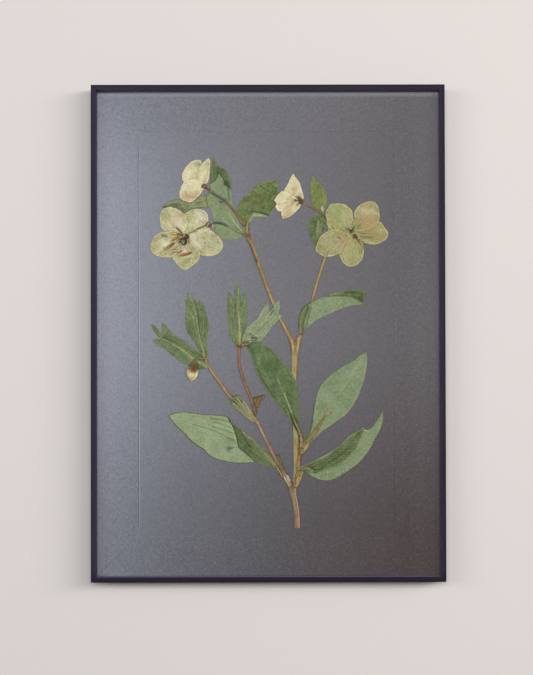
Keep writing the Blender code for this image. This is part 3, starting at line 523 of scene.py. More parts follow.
TISSUES = (
    Tissue(
        "leaf_top", "82 98 64, 104 119 82, 122 137 97, 134 145 104, 122 134 84, 158 152 112",
        vein_share=0.14, vein_pitch=4.6, midrib_width=0.5, midrib_long=34, midrib_share=0.4, painted_crinkle_shading=0.25,
    ),
    Tissue(
        "leaf_under", "118 134 98, 134 147 113, 150 162 129, 116 132 96, 140 150 98, 152 132 84",
        vein_share=0.2, vein_pitch=3.4, streaks=0.25, midrib_width=1.5, midrib_long=36, painted_crinkle_shading=0.25,
    ),
    Tissue(
        "leaf_fold", "120 135 98, 139 151 117, 154 165 132, 110 125 88, 122 136 84, 128 140 100",
        vein_share=0.26, vein_pitch=2.6, streaks=0.5,
    ),
    Tissue(
        "leaf_fold_light", "134 150 110, 156 169 134, 170 182 148, 122 138 98, 130 146 92, 140 152 112",
        vein_share=0.26, vein_pitch=2.6, streaks=0.5,
    ),
    Tissue(
        "leaf_lower", "74 88 54, 97 110 74, 118 131 92, 72 84 50, 120 128 76, 150 140 84",
        vein_share=0.26, vein_pitch=2.2, streaks=0.7,
    ),
    Tissue(
        "bract_top", "88 106 68, 113 128 92, 135 148 108, 142 154 116, 110 122 70, 152 158 114",
        vein_share=0.2, vein_pitch=4.0, vein_lean=2.2, midrib_width=0.4, midrib_long=44, midrib_share=0.4,
        streaks=0.6, painted_crinkle_shading=0.45,
    ),
    Tissue(
        "bract_upright", "100 112 58, 126 134 80, 146 150 98, 152 156 108, 128 132 76, 164 160 112",
        vein_share=0.2, vein_pitch=4.0, vein_lean=2.2, midrib_width=0.5, midrib_long=30, midrib_share=0.4,
        streaks=0.5, painted_crinkle_shading=0.35,
    ),
    Tissue(
        "petiole", "126 98 60, 162 134 88, 188 166 110, 190 174 116, 112 80 48, 150 120 78",
        vein_share=0.3, vein_pitch=2.0, streaks=0.8,
    ),
    Tissue(
        "petiole_brown", "104 82 48, 136 115 74, 160 142 96, 160 148 100, 106 96 60, 136 112 76",
        vein_share=0.3, vein_pitch=2.0, streaks=0.8, rim_share=0.35, beside=0.3,
    ),
    Tissue(
        "bract_pale", "112 130 96, 140 153 119, 168 178 150, 168 178 144, 120 134 98, 150 136 96",
        vein_share=0.3, vein_pitch=3.0, vein_lean=2.4, streaks=0.7, painted_crinkle_shading=0.6,
    ),
    Tissue(
        "leaf_mottled", "82 97 54, 109 122 77, 134 145 98, 140 148 104, 128 138 82, 160 156 112",
        patches=0.12, vein_share=0.2, vein_pitch=4.6, midrib_width=0.5, midrib_long=34, midrib_share=0.3,
        painted_crinkle_shading=0.4, streaks=0.5,
    ),
    Tissue(
        "leaf_olive", "114 122 84, 141 149 110, 164 170 130, 160 162 118, 120 112 80, 150 136 96",
        vein_share=0.3, vein_pitch=3.0, vein_lean=2.4, streaks=0.7, painted_crinkle_shading=0.5,
    ),
    Tissue(
        "bract_smooth", "120 135 99, 134 146 112, 148 158 124, 120 134 96, 142 150 104, 140 148 112",
        vein_share=0.2, vein_pitch=5.0, streaks=0.3, painted_crinkle_shading=0.25,
    ),
    Tissue(
        "bract_striped", "108 114 76, 170 170 126, 202 198 154, 84 92 58, 120 104 72, 168 142 96",
        vein_share=0.9, fan_count=2.6, vein_width=0.5, streaks=0.4, painted_crinkle_shading=0.1,
    ),
    Tissue(
        "bract_dry", "100 84 50, 146 112 72, 172 140 94, 90 66 42, 70 58 44, 146 112 70",
        vein_share=0.5, fan_count=3.0,
    ),
    Tissue(
        "receptacle", "70 58 40, 106 84 56, 142 118 82, 80 58 40, 118 92 62, 130 110 70",
        vein_share=0.3, vein_pitch=1.2, streaks=0.6,
    ),
    Tissue(
        "petal_cream", "192 178 130, 224 212 167, 245 237 200, 190 172 128, 238 230 184, 224 214 170",
        vein_share=0.35, painted_crinkle_shading=0.35, beside=0.25, **PETAL,
    ),
    Tissue(
        "petal_pale", "164 158 112, 200 194 147, 230 224 185, 160 150 102, 222 216 170, 206 202 158",
        vein_share=0.45, painted_crinkle_shading=0.45, beside=0.25, **PETAL,
    ),
    Tissue(
        "petal_green", "142 144 92, 170 171 117, 198 192 142, 134 126 78, 210 198 152, 176 176 122",
        vein_share=0.6, fleck=0.15, painted_crinkle_shading=0.4, beside=0.3, **PETAL,
    ),
)


@dataclass(frozen=True)
class Bark:
    """The finish of pressed stems and stalks: fibres that run along them.

    Its tones are dark, main, light, one side and the other.
    """

    name: str
    tones: str
    gloss: float = 0.5

    def make(self) -> Material:
        """Builds the material.

        Returns:
            The material.
        """
        dark, main, light, right, left = palette(self.tones)
        mix = Recipe(self.name)
        along, angle, half = mix.split(mix.attribute("grain"))
        turn = angle * (2 * math.pi)
        ring = mix.join(turn.math("COSINE", turn) * 1.6, turn.math("SINE", turn) * 1.6, along * 0.035)
        fibres = mix.noise(ring, 1.9, 4, 0.62)
        fine = mix.noise(mix.join(angle * 34, along * 0.12, half), 1.0, 3, 0.6)
        patch = mix.noise(mix.join(along * 0.14, angle * 1.5, half), 1.0, 3, 0.6)
        colour = mix.ramp(fibres * 0.5 + fine * 0.25 + patch * 0.25, (0.4, dark), (0.5, main), (0.6, light))
        side = turn.math("COSINE", turn)
        colour = mix.mix(side.fade(0.45, 0.9) * 0.8, colour, right)
        colour = mix.mix(side.fade(-0.45, -0.9) * 0.8, colour, left)
        mottle = mix.noise(mix.position(), 0.9, 4, 0.6)
        colour = mix.mix(mottle.fade(0.58, 0.74) * 0.3, colour, Mark.BROWN.value)
        colour = Tissue.marked(mix, colour, mottle)
        mix.set(
            Base_Color=colour,
            Roughness=fibres.fade(0.3, 0.7, self.gloss - 0.08, self.gloss + 0.12),
            Specular_IOR_Level=0.35,
        )
        mix.bump(fibres + fine * 0.6, 0.00018)
        return mix.material


BARKS = tuple(
    Bark(name, tones)
    for name, tones in (
        ("stem_tan", "136 104 66, 168 140 94, 196 170 122, 126 92 58, 158 132 86"),
        ("stem_pink", "124 88 70, 156 122 98, 188 156 128, 102 72 56, 182 158 124"),
        ("stem_base", "108 80 64, 136 106 84, 160 130 104, 178 160 126, 168 146 112"),
        ("petiole_tan", "112 88 64, 156 134 102, 186 166 132, 84 62 48, 96 74 54"),
        ("stem_olive", "132 114 74, 163 147 101, 186 172 124, 126 100 64, 166 156 110"),
        ("stem_red", "112 76 54, 148 112 80, 178 144 104, 96 66 48, 142 110 78"),
        ("stalk_brown", "100 68 50, 140 104 78, 174 138 104, 104 74 54, 150 120 88"),
        ("anther", "100 64 34, 146 98 52, 186 138 74, 92 62 38, 150 106 58"),
        ("anther_yellow", "150 108 44, 198 152 70, 226 190 104, 132 94 48, 190 148 72"),
        ("anther_orange", "104 70 38, 154 110 60, 196 150 86, 92 66 42, 168 128 72"),
        ("anther_dark", "78 54 34, 112 80 48, 152 110 60, 74 52 36, 116 84 50"),
        ("filament", "196 172 128, 216 200 158, 234 224 188, 190 168 128, 210 194 150"),
        ("carpel", "56 42 42, 80 62 60, 118 96 88, 50 38 38, 66 50 48"),
        ("bud_skin", "190 172 118, 220 206 156, 240 230 188, 206 190 132, 232 222 170"),
        ("style_olive", "106 98 58, 134 124 80, 160 150 104, 92 82 52, 140 132 88"),
    )
)


@dataclass(frozen=True)
class Plain:
    """A manufactured finish: one base colour with its own grain, gloss and wear."""

    name: str
    tones: str
    roughness: float
    metallic: float = 0.0
    scale: float = 0.4
    stretch: tuple[float, float, float] = (1, 1, 1)
    share: float = 0.4
    relief: float = 0.00003

    def make(self) -> Material:
        """Builds the material.

        Returns:
            The material.
        """
        base, other = palette(self.tones)
        mix = Recipe(self.name)
        values = {"Vector": mix.position(), "Scale": self.stretch}
        here = mix.add("ShaderNodeMapping", {"vector_type": "POINT"}, values)
        cloud = mix.noise(mix.position(), self.scale * 0.12, 4, 0.6)
        grain = mix.noise(here, self.scale, 4, 0.65)
        worn = grain.fade(0.35, 0.7) * self.share + cloud.fade(0.35, 0.75) * self.share
        mix.set(
            Base_Color=mix.mix(worn, base, other),
            Metallic=self.metallic,
            Roughness=grain.fade(0.25, 0.75, self.roughness - 0.05, self.roughness + 0.08),
        )
        mix.bump(grain, self.relief)
        return mix.material


@dataclass(frozen=True)
class BoardToneAndPaintedLight:
    """The grey mount board, with painted sheen and shade: paler and bluer to the left, darker and warmer low
    on the right.

    Stops are the places across it, in millimetres, that have the tones; the outermost ones are painted
    lighter against the rails' shadows. Shades are the painted-shade tones of its lower part, from left to
    right. The upper left corner has a tint of painted shade and the top edge a painted light against the
    top rail's shadow, its fibres are pale and dark, and the plate mark's left side has a painted highlight
    and painted shade.
    """

    name: str = "board_grey"
    stops: tuple[float, ...] = (-151, -140, -112, -70, 0, 70, 120, 139, 151)
    tones: str = """160 163 176, 154 157 170, 143 146 157, 132 133 142, 119 118 123, 111 108 112,
        103 99 102, 108 105 107, 133 127 135"""
    shades: str = "206 206 206, 196 194 193, 196 180 173"
    corner: Colour = srgb(222, 221, 222)
    edge: Colour = srgb(190, 186, 196)
    pale: Colour = srgb(172, 170, 180)
    dark: Colour = srgb(62, 60, 64)
    lit: Colour = srgb(206, 206, 212)
    dim: Colour = srgb(70, 72, 82)
    mark: float = -111.4
    mark_ends: tuple[float, float] = (171.0, -171.0)

    def make(self) -> Material:
        """Builds the material.

        Returns:
            The material.
        """
        mix = Recipe(self.name)
        here = mix.position()
        x, _, z = mix.split(here)
        cloud = (mix.noise(here, 0.012, 3, 0.55) - 0.5) * 14
        left, right = self.stops[0], self.stops[-1]
        shares = [(at - left) / (right - left) for at in self.stops]
        # Painted sheen: paler and bluer to the left, with the outermost stops painted lighter against the
        # rails' shadows.
        colour = mix.ramp((x + cloud * 0.4 - left) / (right - left), *zip(shares, palette(self.tones)))
        # Painted shade: darker and warmer on the lower part, most on the right.
        low = (z + cloud).fade(25, -215)
        shade = mix.ramp(x.fade(-140, 140), *zip((0.0, 0.5, 1.0), palette(self.shades)))
        colour = mix.mix(low, colour, mix.mix(1.0, colour, shade, "MULTIPLY"))
        # Painted shade towards the upper left corner.
        high = (z + cloud).fade(110, 225) * x.fade(60, -150)
        colour = mix.mix(high, colour, mix.mix(1.0, colour, self.corner, "MULTIPLY"))
        # Painted light along the top edge, against the top rail's shadow.
        colour = mix.mix(z.fade(204.0, 209.0) * 0.5, colour, self.edge)
        fibre = mix.noise(here, 1.15, 4, 0.75)
        tooth = mix.noise(here, 0.4, 3, 0.6)
        grain = fibre * 0.78 + tooth * 0.22
        speck = x.fade(-150, 60, 0.38, 0.19) * z.fade(20, -200, 1.0, 0.75)
        colour = mix.mix(grain.fade(0.48, 0.66) * speck, colour, self.pale)
        colour = mix.mix(grain.fade(0.52, 0.34) * x.fade(-80, 120, 0.36, 0.28), colour, self.dark)
        # The plate mark's left side: a painted highlight on its slope and painted shade beside it.
        top, foot = self.mark_ends
        ends = z.fade(top, top - 12) * z.fade(foot, foot + 6)
        lit = abs(x - self.mark).fade(0.65, 0.3) * ends
        lit = lit * z.fade(160, -60, 0.1, 0.22) * z.fade(-60, -170, 1.0, 0.55)
        colour = mix.mix(lit, colour, self.lit)
        colour = mix.mix(abs(x - self.mark + 0.95).fade(0.6, 0.25) * ends * 0.3, colour, self.dim)
        mix.set(Base_Color=colour, Roughness=fibre.fade(0.3, 0.7, 0.8, 0.92), Specular_IOR_Level=0.15)
        mix.bump(grain, 0.0001)
        return mix.material


@dataclass(frozen=True)
class RailFinishAndPaintedLight:
    """Dark anodised metal with fine drawn lines, darker on its outer arris, with a painted light on its inner
    lip that makes it lighter and bluer, and painted lighter on the left rail and darker on the bottom one.
    """

    name: str = "frame_black"
    tones: str = "45 41 53, 57 51 68, 31 28 38, 16 15 17, 118 102 136"

    def make(self) -> Material:
        """Builds the material.

        Returns:
            The material.
        """
        base, light, dark, arris, lip = palette(self.tones)
        mix = Recipe(self.name)
        along, around, tone = mix.split(mix.attribute("grain"))
        lines = mix.noise(mix.join(along * 0.02, around * 3.0, 0.0), 1.0, 3, 0.6)
        cloud = mix.noise(mix.join(along * 0.03, around * 0.2, 3.0), 1.0, 4, 0.6)
        colour = mix.mix(lines.fade(0.3, 0.75) * 0.4, base, light)
        colour = mix.mix(cloud.fade(0.4, 0.8) * 0.35, colour, dark)
        across, _, up = mix.split(mix.position())
        # Painted light and shade: the left rail is lighter and the bottom rail darker.
        colour = mix.mix(across.fade(-60, -151) * 0.4, colour, light)
        colour = mix.mix(up.fade(-204, -212) * 0.6, colour, dark)
        # Darker on the outer arris; the inner lip gets a painted light, lighter and bluer, whose strength
        # differs from rail to rail.
        colour = mix.mix(tone.fade(0.0, -1.0), colour, arris)
        colour = mix.mix(tone.fade(0.0, 1.0), colour, lip)
        mix.set(Base_Color=colour, Roughness=lines.fade(0.3, 0.7, 0.34, 0.48), Specular_IOR_Level=0.5)
        mix.bump(lines, 0.00003)
        return mix.material


@dataclass(frozen=True)
class ClearPane:
    """Clear picture glass with an anti-reflection coat; light falls through it unbent."""

    name: str = "glass_clear"
    ior: float = 1.12

    def make(self) -> Material:
        """Builds the material.

        Returns:
            The material.
        """
        mix = Recipe(self.name)
        smear = mix.noise(mix.position(), 0.02, 3, 0.5)
        mix.set(
            Base_Color=(0.985, 0.99, 0.99),
            Roughness=smear.fade(0.3, 0.8, 0.0, 0.02),
            IOR=self.ior,
            Transmission_Weight=1.0,
        )
        shadow = mix.add("ShaderNodeLightPath", output="Is Shadow Ray")
        through = mix.add("ShaderNodeBsdfTransparent", None, {"Color": (0.98, 0.985, 0.985)}, "BSDF")
        mix.layer(shadow, mix.body(), through)
        return mix.material


class Finishes:
    """Makes each finish once, when it is first asked for."""

    def __init__(self) -> None:
        """Starts with every finish known and none made."""
        hardware = (
            Plain(
                "spring_steel", "170 170 172, 120 118 116", roughness=0.32, metallic=1.0, scale=0.9,
                stretch=(1, 1, 0.08),
            ),
            Plain(
                "backing_brown", "150 122 92, 120 94 68", roughness=0.82, scale=0.7, stretch=(1, 1, 0.3),
                share=0.5, relief=0.00008,
            ),
            Plain("zinc", "176 178 180, 140 140 138", roughness=0.3, metallic=1.0, scale=1.4),
        )
        everything = (*TISSUES, *BARKS, *hardware, BoardToneAndPaintedLight(), RailFinishAndPaintedLight(), ClearPane())
        self.known: dict[str, Any] = {finish.name: finish for finish in everything}
        self.made: dict[str, Material] = {}

    def __getitem__(self, name: str) -> Material:
        """Finds a finish, and makes it when it is first asked for.

        Args:
            name: the finish's name.

        Returns:
            Its material.
        """
        if name not in self.made:
            self.made[name] = self.known[name].make()
        return self.made[name]


FINISHES = Finishes()


def finish_piece(piece: Object, slot: str, *nodes: str) -> Object:
    """Hands a finished piece to the frame.

    Args:
        piece: the object, with its place in its mesh.
        slot: the record's material slot; not used.
        nodes: the CAD nodes that it stands for.

    Returns:
        The same object.
    """
    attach(piece, "root")
    if nodes:
        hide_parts(*nodes)
    LOG.info("%s: %d faces, for %s", piece.name, len(piece.data.polygons), ", ".join(nodes) or "the frame")
    return piece


def stand(name: str, data: bpy.types.ID) -> Object:
    """Makes an object and links it to the scene.

    Args:
        name: the object's name.
        data: its mesh, curve, light or camera.

    Returns:
        The object.
    """
    made = bpy.data.objects.new(name, data)
    bpy.context.scene.collection.objects.link(made)
    return made


def smooth(data: Mesh, sharp: float) -> None:
    """Shades a mesh smooth but for the edges past an angle in degrees."""
    data.shade_smooth()
    data.set_sharp_from_angle(angle=math.radians(sharp))


def mesh_object(
    name: str, points: Array, faces: Sequence, finish: str, sharp: float = 50.0
) -> Object:
    """An object from points and faces, shaded smooth but for its sharp edges.

    Args:
        name: the piece's name.
        points: positions in metres.
        faces: tuples of indices.
        finish: the finish's name.
        sharp: the angle in degrees past which an edge is sharp.

    Returns:
        The object, linked to the scene.
    """
    data = bpy.data.meshes.new(name)
    data.from_pydata(points.tolist(), [], [tuple(map(int, face)) for face in faces])
    data.update()
    smooth(data, sharp)
    data.materials.append(FINISHES[finish])
    return stand(name, data)


def write_attribute(data: Mesh, name: str, values: Array) -> None:
    """Stores an attribute on a mesh's points.

    Args:
        data: the mesh.
        name: the attribute's name.
        values: one row for each point: a number, a vector or a colour with its cover.
    """
    width = 1 if values.ndim == 1 else values.shape[1]
    kind, field = {1: ("FLOAT", "value"), 3: ("FLOAT_VECTOR", "vector"), 4: ("FLOAT_COLOR", "color")}[width]
    data.attributes.new(name, kind, "POINT").data.foreach_set(field, values.astype(np.float32).ravel())


def outwards(data: Mesh) -> None:
    """Merges doubles and turns every face outwards.

    Args:
        data: the mesh, which is changed.
    """
    form = bmesh.new()
    form.from_mesh(data)
    bmesh.ops.remove_doubles(form, verts=form.verts, dist=1e-7)
    bmesh.ops.recalc_face_normals(form, faces=form.faces)
    form.to_mesh(data)
    form.free()


class Curves:
    """Smooth lines through a few points, and distances to them, in millimetres.

    Points are measured in batches, to save memory. No length is taken as less than the least.
    """

    batch = 4000
    least = 1e-9

    @staticmethod
    def through(points: Sequence[Point], step: float, closed: bool, corner: float = 50.0) -> Array:
        """A smooth line through points that keeps its sharp corners.

        Args:
            points: the points to pass through.
            step: the distance between samples.
            closed: whether the last point joins the first.
            corner: the turn in degrees past which a point is a corner.

        Returns:
            An array of samples.
        """
        p = np.asarray(points, float)
        n = len(p)
        before = np.roll(p, 1, axis=0)
        after = np.roll(p, -1, axis=0)
        if not closed:
            before[0] = 2 * p[0] - p[1]
            after[-1] = 2 * p[-1] - p[-2]
        into, out = p - before, after - p
        into_long = np.maximum(np.linalg.norm(into, axis=1, keepdims=True), Curves.least)
        out_long = np.maximum(np.linalg.norm(out, axis=1, keepdims=True), Curves.least)
        into_way, out_way = into / into_long, out / out_long
        way = into_way * out_long + out_way * into_long
        way /= np.maximum(np.linalg.norm(way, axis=1, keepdims=True), Curves.least)
        turned = np.degrees(np.arccos(np.clip((into_way * out_way).sum(1), -1, 1))) > corner
        samples = []
        for i in range(n if closed else n - 1):
            j = (i + 1) % n
            long = out_long[i, 0]
            start = out_way[i] if turned[i] else way[i]
            end = out_way[i] if turned[j] else way[j]
            u = np.linspace(0, 1, max(2, int(math.ceil(long / step)) + 1))[:-1, None]
            samples.append(
                (2 * u**3 - 3 * u**2 + 1) * p[i] + (u**3 - 2 * u**2 + u) * long * start
                + (3 * u**2 - 2 * u**3) * p[j] + (u**3 - u**2) * long * end
            )
        if not closed:
            samples.append(p[-1:])
        return np.concatenate(samples)

    @staticmethod
    def bent(points: Sequence[Point], step: float = 1.0) -> Array:
        """A smooth open line through points, without a sharp corner."""
        return Curves.through(points, step, False, 180)

    @staticmethod
    def lengths(line: Array) -> Array:
        """The length along an open line up to each of its samples."""
        return np.concatenate(([0], np.cumsum(np.linalg.norm(np.diff(line, axis=0), axis=1))))

    @staticmethod
    def nearest(
        points: Array, line: Array, closed: bool = False
    ) -> tuple[Array, Array, Array]:
        """How points lie to a line.

        Args:
            points: the points asked about.
            line: the line's samples.
            closed: whether the line is a ring.

        Returns:
            Distance, the length along the line, and the signed distance to its left.
        """
        a = line
        b = np.roll(line, -1, axis=0)
        if not closed:
            a, b = a[:-1], b[:-1]
        way = b - a
        long = np.maximum(np.linalg.norm(way, axis=1), Curves.least)
        start = np.concatenate(([0], np.cumsum(long)[:-1]))
        best = np.full(len(points), 1e9)
        along = np.zeros(len(points))
        side = np.zeros(len(points))
        for begin in range(0, len(points), Curves.batch):
            part = slice(begin, begin + Curves.batch)
            q = points[part, None, :] - a[None]
            u = (q * way[None]).sum(2) / long**2
            clipped = np.clip(u, 0, 1)
            gap = q - clipped[..., None] * way[None]
            away = (gap**2).sum(2)
            k = away.argmin(1)
            rows = np.arange(len(k))
            best[part] = np.sqrt(away[rows, k])
            free = u[rows, k] if not closed else clipped[rows, k]
            last = len(long) - 1
            free = np.where((k > 0) & (free < 0), 0, np.where((k < last) & (free > 1), 1, free))
            along[part] = start[k] + free * long[k]
            cross = way[k, 0] * q[rows, k, 1] - way[k, 1] * q[rows, k, 0]
            side[part] = cross / long[k]
        return best, along, side

    @staticmethod
    def inside(points: Array, ring: Array) -> Array:
        """Finds the points inside a closed ring.

        Args:
            points: the points asked about.
            ring: the ring's samples.

        Returns:
            True for each point inside.
        """
        x, y = points[:, 0, None], points[:, 1, None]
        x0, y0 = ring[:, 0], ring[:, 1]
        x1, y1 = np.roll(x0, -1), np.roll(y0, -1)
        spans = (y0 > y) != (y1 > y)
        cut = x0 + (y - y0) * (x1 - x0) / np.where(y1 == y0, 1e-12, y1 - y0)
        return ((spans & (x < cut)).sum(1) % 2).astype(bool)


SCATTER = (374761393, 668265263, 974711, 1274126177)
"""Large odd factors that turn a cell's place and a seed into a random number."""
SEED_GAP = 17.31
"""How many cells lie between the noises of two seeds that follow each other."""


def wobble(points: Array, scale: float, seed: int) -> Array:
    """Smooth noise between -1 and 1.

    Args:
        points: positions in millimetres.
        scale: the size of a bump in millimetres.
        seed: which noise.

    Returns:
        One value for each point.
    """
    q = points / scale + seed * SEED_GAP
    cell = np.floor(q).astype(np.int64)
    f = q - cell
    f = f * f * (3 - 2 * f)

    def corner(dx: int, dy: int) -> Array:
        """A fixed random value for a corner of each cell.

        Args:
            dx: the corner's column, 0 or 1.
            dy: its row, 0 or 1.

        Returns:
            Values between -1 and 1.
        """
        h = (cell[:, 0] + dx) * SCATTER[0] + (cell[:, 1] + dy) * SCATTER[1] + seed * SCATTER[2]
        h = (h ^ (h >> 13)) * SCATTER[3]
        return ((h ^ (h >> 16)) & 0xFFFF) / 32767.5 - 1

    low = corner(0, 0) * (1 - f[:, 0]) + corner(1, 0) * f[:, 0]
    high = corner(0, 1) * (1 - f[:, 0]) + corner(1, 1) * f[:, 0]
    return low * (1 - f[:, 1]) + high * f[:, 1]


@dataclass
class Laid:
    """What a piece covers on the board: its outline, or its middle line and half width."""

    data: Mesh
    line: Array
    closed: bool
    half: float
    points: Array | None = None


class Press:
    """The height of everything that lies on the board, on a fine grid, so that pieces drape.

    The grid starts at its lower left corner. A sheet that is laid over a step falls at the slope beside
    it, over as many cells as the spread, and is then softened.
    """

    cell = 0.5
    corner = (-112.0, -178.0)
    columns, rows = 450, 680
    slope = 0.28
    floor = -0.25
    spread = 14
    softenings = 2

    def __init__(self) -> None:
        """Starts with the bare floor of the plate mark."""
        self.top = np.full((self.rows, self.columns), self.floor)
        self.laid: list[Laid] = []

    def window(self, points: Array, margin: float = 4.0) -> tuple[slice, slice]:
        """The part of the grid around some points.

        Args:
            points: the points in millimetres.
            margin: how far past them it reaches.

        Returns:
            The rows and the columns.
        """
        low = np.floor((points.min(0) - margin - self.corner) / self.cell).astype(int)
        high = np.ceil((points.max(0) + margin - self.corner) / self.cell).astype(int)
        rows = slice(max(low[1], 0), min(high[1], self.rows))
        return rows, slice(max(low[0], 0), min(high[0], self.columns))

    def centres(self, part: tuple[slice, slice]) -> Array:
        """The grid's points in a window, in millimetres."""
        z, x = np.mgrid[part]
        return np.column_stack((x.ravel(), z.ravel())) * self.cell + self.corner

    def tent(self, part: tuple[slice, slice]) -> Array:
        """The surface of a thin sheet that is laid over what is there.

        Args:
            part: the window.

        Returns:
            The sheet's height at the window's grid points.
        """
        over = self.top[part].copy()
        for _ in range(self.spread):
            grown = over.copy()
            for dz, dx in ((0, 1), (1, 0), (1, 1), (1, -1)):
                fall = self.slope * self.cell * math.hypot(dz, dx)
                for sign in (1, -1):
                    grown = np.maximum(grown, np.roll(over, (sign * dz, sign * dx), (0, 1)) - fall)
            over = grown
        soft = over
        for _ in range(self.softenings):
            around = (np.roll(soft, shift, axis) for axis in (0, 1) for shift in (1, -1))
            soft = sum(around, soft) / 5
        return np.maximum(soft, self.top[part])

    def sample(self, part: tuple[slice, slice], field: Array, points: Array) -> Array:
        """Reads a window's field between its grid points.

        Args:
            part: the window.
            field: a value for each of its grid points.
            points: where to read, in millimetres.

        Returns:
            The value at each point.
        """
        x = (points[:, 0] - self.corner[0]) / self.cell - part[1].start
        z = (points[:, 1] - self.corner[1]) / self.cell - part[0].start
        x = np.clip(x, 0, field.shape[1] - 1.001)
        z = np.clip(z, 0, field.shape[0] - 1.001)
        i, k = x.astype(int), z.astype(int)
        u, v = x - i, z - k
        return (
            field[k, i] * (1 - u) * (1 - v) + field[k, i + 1] * u * (1 - v)
            + field[k + 1, i] * (1 - u) * v + field[k + 1, i + 1] * u * v
        )

    def lay(self, part: tuple[slice, slice], mask: Array, over: Array) -> None:
        """Raises the grid to the top of a new piece.

        Args:
            part: the window.
            mask: true for each of its grid points that the piece covers.
            over: the piece's top there.
        """
        mask = mask.reshape(self.top[part].shape)
        over = over.reshape(mask.shape)
        self.top[part] = np.where(mask, np.maximum(self.top[part], over), self.top[part])


PRESS = Press()


LEVEL = 0.004
"""How far apart, in millimetres, two corners may stand and still lie on one level."""
LEAST_BEND = 0.01
"""How far, in millimetres, a corner of an outline stands out at the least."""


def plate_outline(node: str, front: bool) -> Array:
    """The outline of a CAD plate.

    Args:
        node: the CAD node's name.
        front: the flap that stands furthest forward, and not the plate's flat back.

    Returns:
        The outline's points in millimetres, anticlockwise as seen from the front.
    """
    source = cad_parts[node]
    corners = np.array([source.matrix_world @ v.co for v in source.data.vertices]) / MM
    level = corners[:, 1].min() if front else corners[:, 1].max()
    keys = [tuple(np.round(c, 3)) for c in corners]
    edges = set()
    for face in source.data.polygons:
        if all(abs(corners[i, 1] - level) < LEVEL for i in face.vertices):
            ring = [keys[i] for i in face.vertices]
            edges.update(zip(ring, ring[1:] + ring[:1]))
    after = {a: b for a, b in edges if (b, a) not in edges}
    loops = []
    while after:
        start, here = after.popitem()
        loop = [start]
        while here != start and here in after:
            loop.append(here)
            here = after.pop(here)
        loops.append(np.array([(x, z) for x, _, z in loop]))
    loop = max(loops, key=lambda found: abs(ring_area(found)))
    last, following = np.roll(loop, 1, 0), np.roll(loop, -1, 0)
    straight = np.linalg.norm(following - last, axis=1)
    bent = np.abs(np.cross(loop - last, following - loop)) / np.maximum(straight, 1e-6)
    return anticlockwise(loop[bent > LEAST_BEND])


def ring_area(ring: Array) -> float:
    """A ring's area, positive where it runs anticlockwise."""
    after = np.roll(ring, -1, axis=0)
    return float((ring[:, 0] * after[:, 1] - after[:, 0] * ring[:, 1]).sum() / 2)


def anticlockwise(ring: Array) -> Array:
    """A ring, turned round if it runs clockwise."""
    return ring if ring_area(ring) > 0 else ring[::-1]


ROW_SHARE = 0.866
"""The distance between the rows of a net of even triangles, as a share of their side."""
UNEVEN = 0.12
"""How far the net's points are moved, as a share of that side."""
RIM_SHARE = 0.55
"""How close they may come to the ring, as a share of that side."""


def fill_ring(ring: Array, step: float) -> tuple[Array, Array]:
    """Fills a ring with small triangles.

    Args:
        ring: the outline, anticlockwise, in millimetres.
        step: the triangles' size.

    Returns:
        Points, the ring's among them, and triangles.
    """
    low, high = ring.min(0), ring.max(0)
    x, row = np.meshgrid(
        np.arange(low[0], high[0], step), np.arange(0, (high[1] - low[1]) / (step * ROW_SHARE)), indexing="xy"
    )
    grid = np.column_stack(((x + (row % 2) * step / 2).ravel(), (low[1] + row * step * ROW_SHARE).ravel()))
    grid += np.column_stack((wobble(grid, 0.9, 3), wobble(grid, 0.9, 4))) * step * UNEVEN
    grid = grid[Curves.inside(grid, ring)]
    grid = grid[Curves.nearest(grid, ring, True)[0] > step * RIM_SHARE]
    both = np.concatenate((ring, grid))
    found = delaunay_2d_cdt([Vector(p) for p in both], [], [list(range(len(ring)))], 1, 1e-6, False)
    points, triangles = np.array([tuple(v) for v in found[0]]), np.array(found[2])
    return points, triangles[Curves.inside(points[triangles].mean(1), ring)]


def closed_faces(triangles: Array, count: int) -> list[tuple[int, ...]]:
    """The faces of a thin closed sheet: its front, its back and its rim.

    Args:
        triangles: the front's triangles.
        count: the number of front points; the back's follow them.

    Returns:
        Faces as tuples of indices.
    """
    pairs = {(a, b) for t in triangles for a, b in ((t[0], t[1]), (t[1], t[2]), (t[2], t[0]))}
    rim = [(a, b) for a, b in pairs if (b, a) not in pairs]
    faces = [tuple(t) for t in triangles]
    faces += [(c + count, b + count, a + count) for a, b, c in triangles]
    return faces + [(b, a, a + count, b + count) for a, b in sorted(rim)]


def softened(values: Array, reach: int) -> Array:
    """A row's running mean over its neighbours up to a reach, with its ends held."""
    count = 2 * reach + 1
    return np.convolve(np.pad(values, reach, mode="edge"), np.ones(count) / count, "valid")


@dataclass(frozen=True)
class Pleat:
    """A crease along a route, raised where its depth is positive. Where its shade is positive it gets painted
    shade in its fold; where negative a pale line, partly a painted highlight on a ridge and partly a vein's
    pale.
    """

    width: float
    depth: float
    shade: float
    way: tuple[Point, ...]


def comb(look: str, start: str, end: str, count: int) -> str:
    """Evenly spaced pleats between two routes.

    Args:
        look: their width, depth and shade.
        start: the route on which they start.
        end: the route on which they end.
        count: how many there are.

    Returns:
        The pleats' entries, as a Sheet's pleats are written.
    """
    spread = np.linspace(0, 1, count)
    rows = []
    for text in (start, end):
        line = np.array(route(text))
        rows.append([np.interp(spread, np.linspace(0, 1, len(line)), line[:, k]) for k in (0, 1)])
    (a, b), (c, d) = rows
    return ";".join(f"{look}: {a[n]:.2f} {b[n]:.2f}, {c[n]:.2f} {d[n]:.2f}" for n in range(count)) + ";"


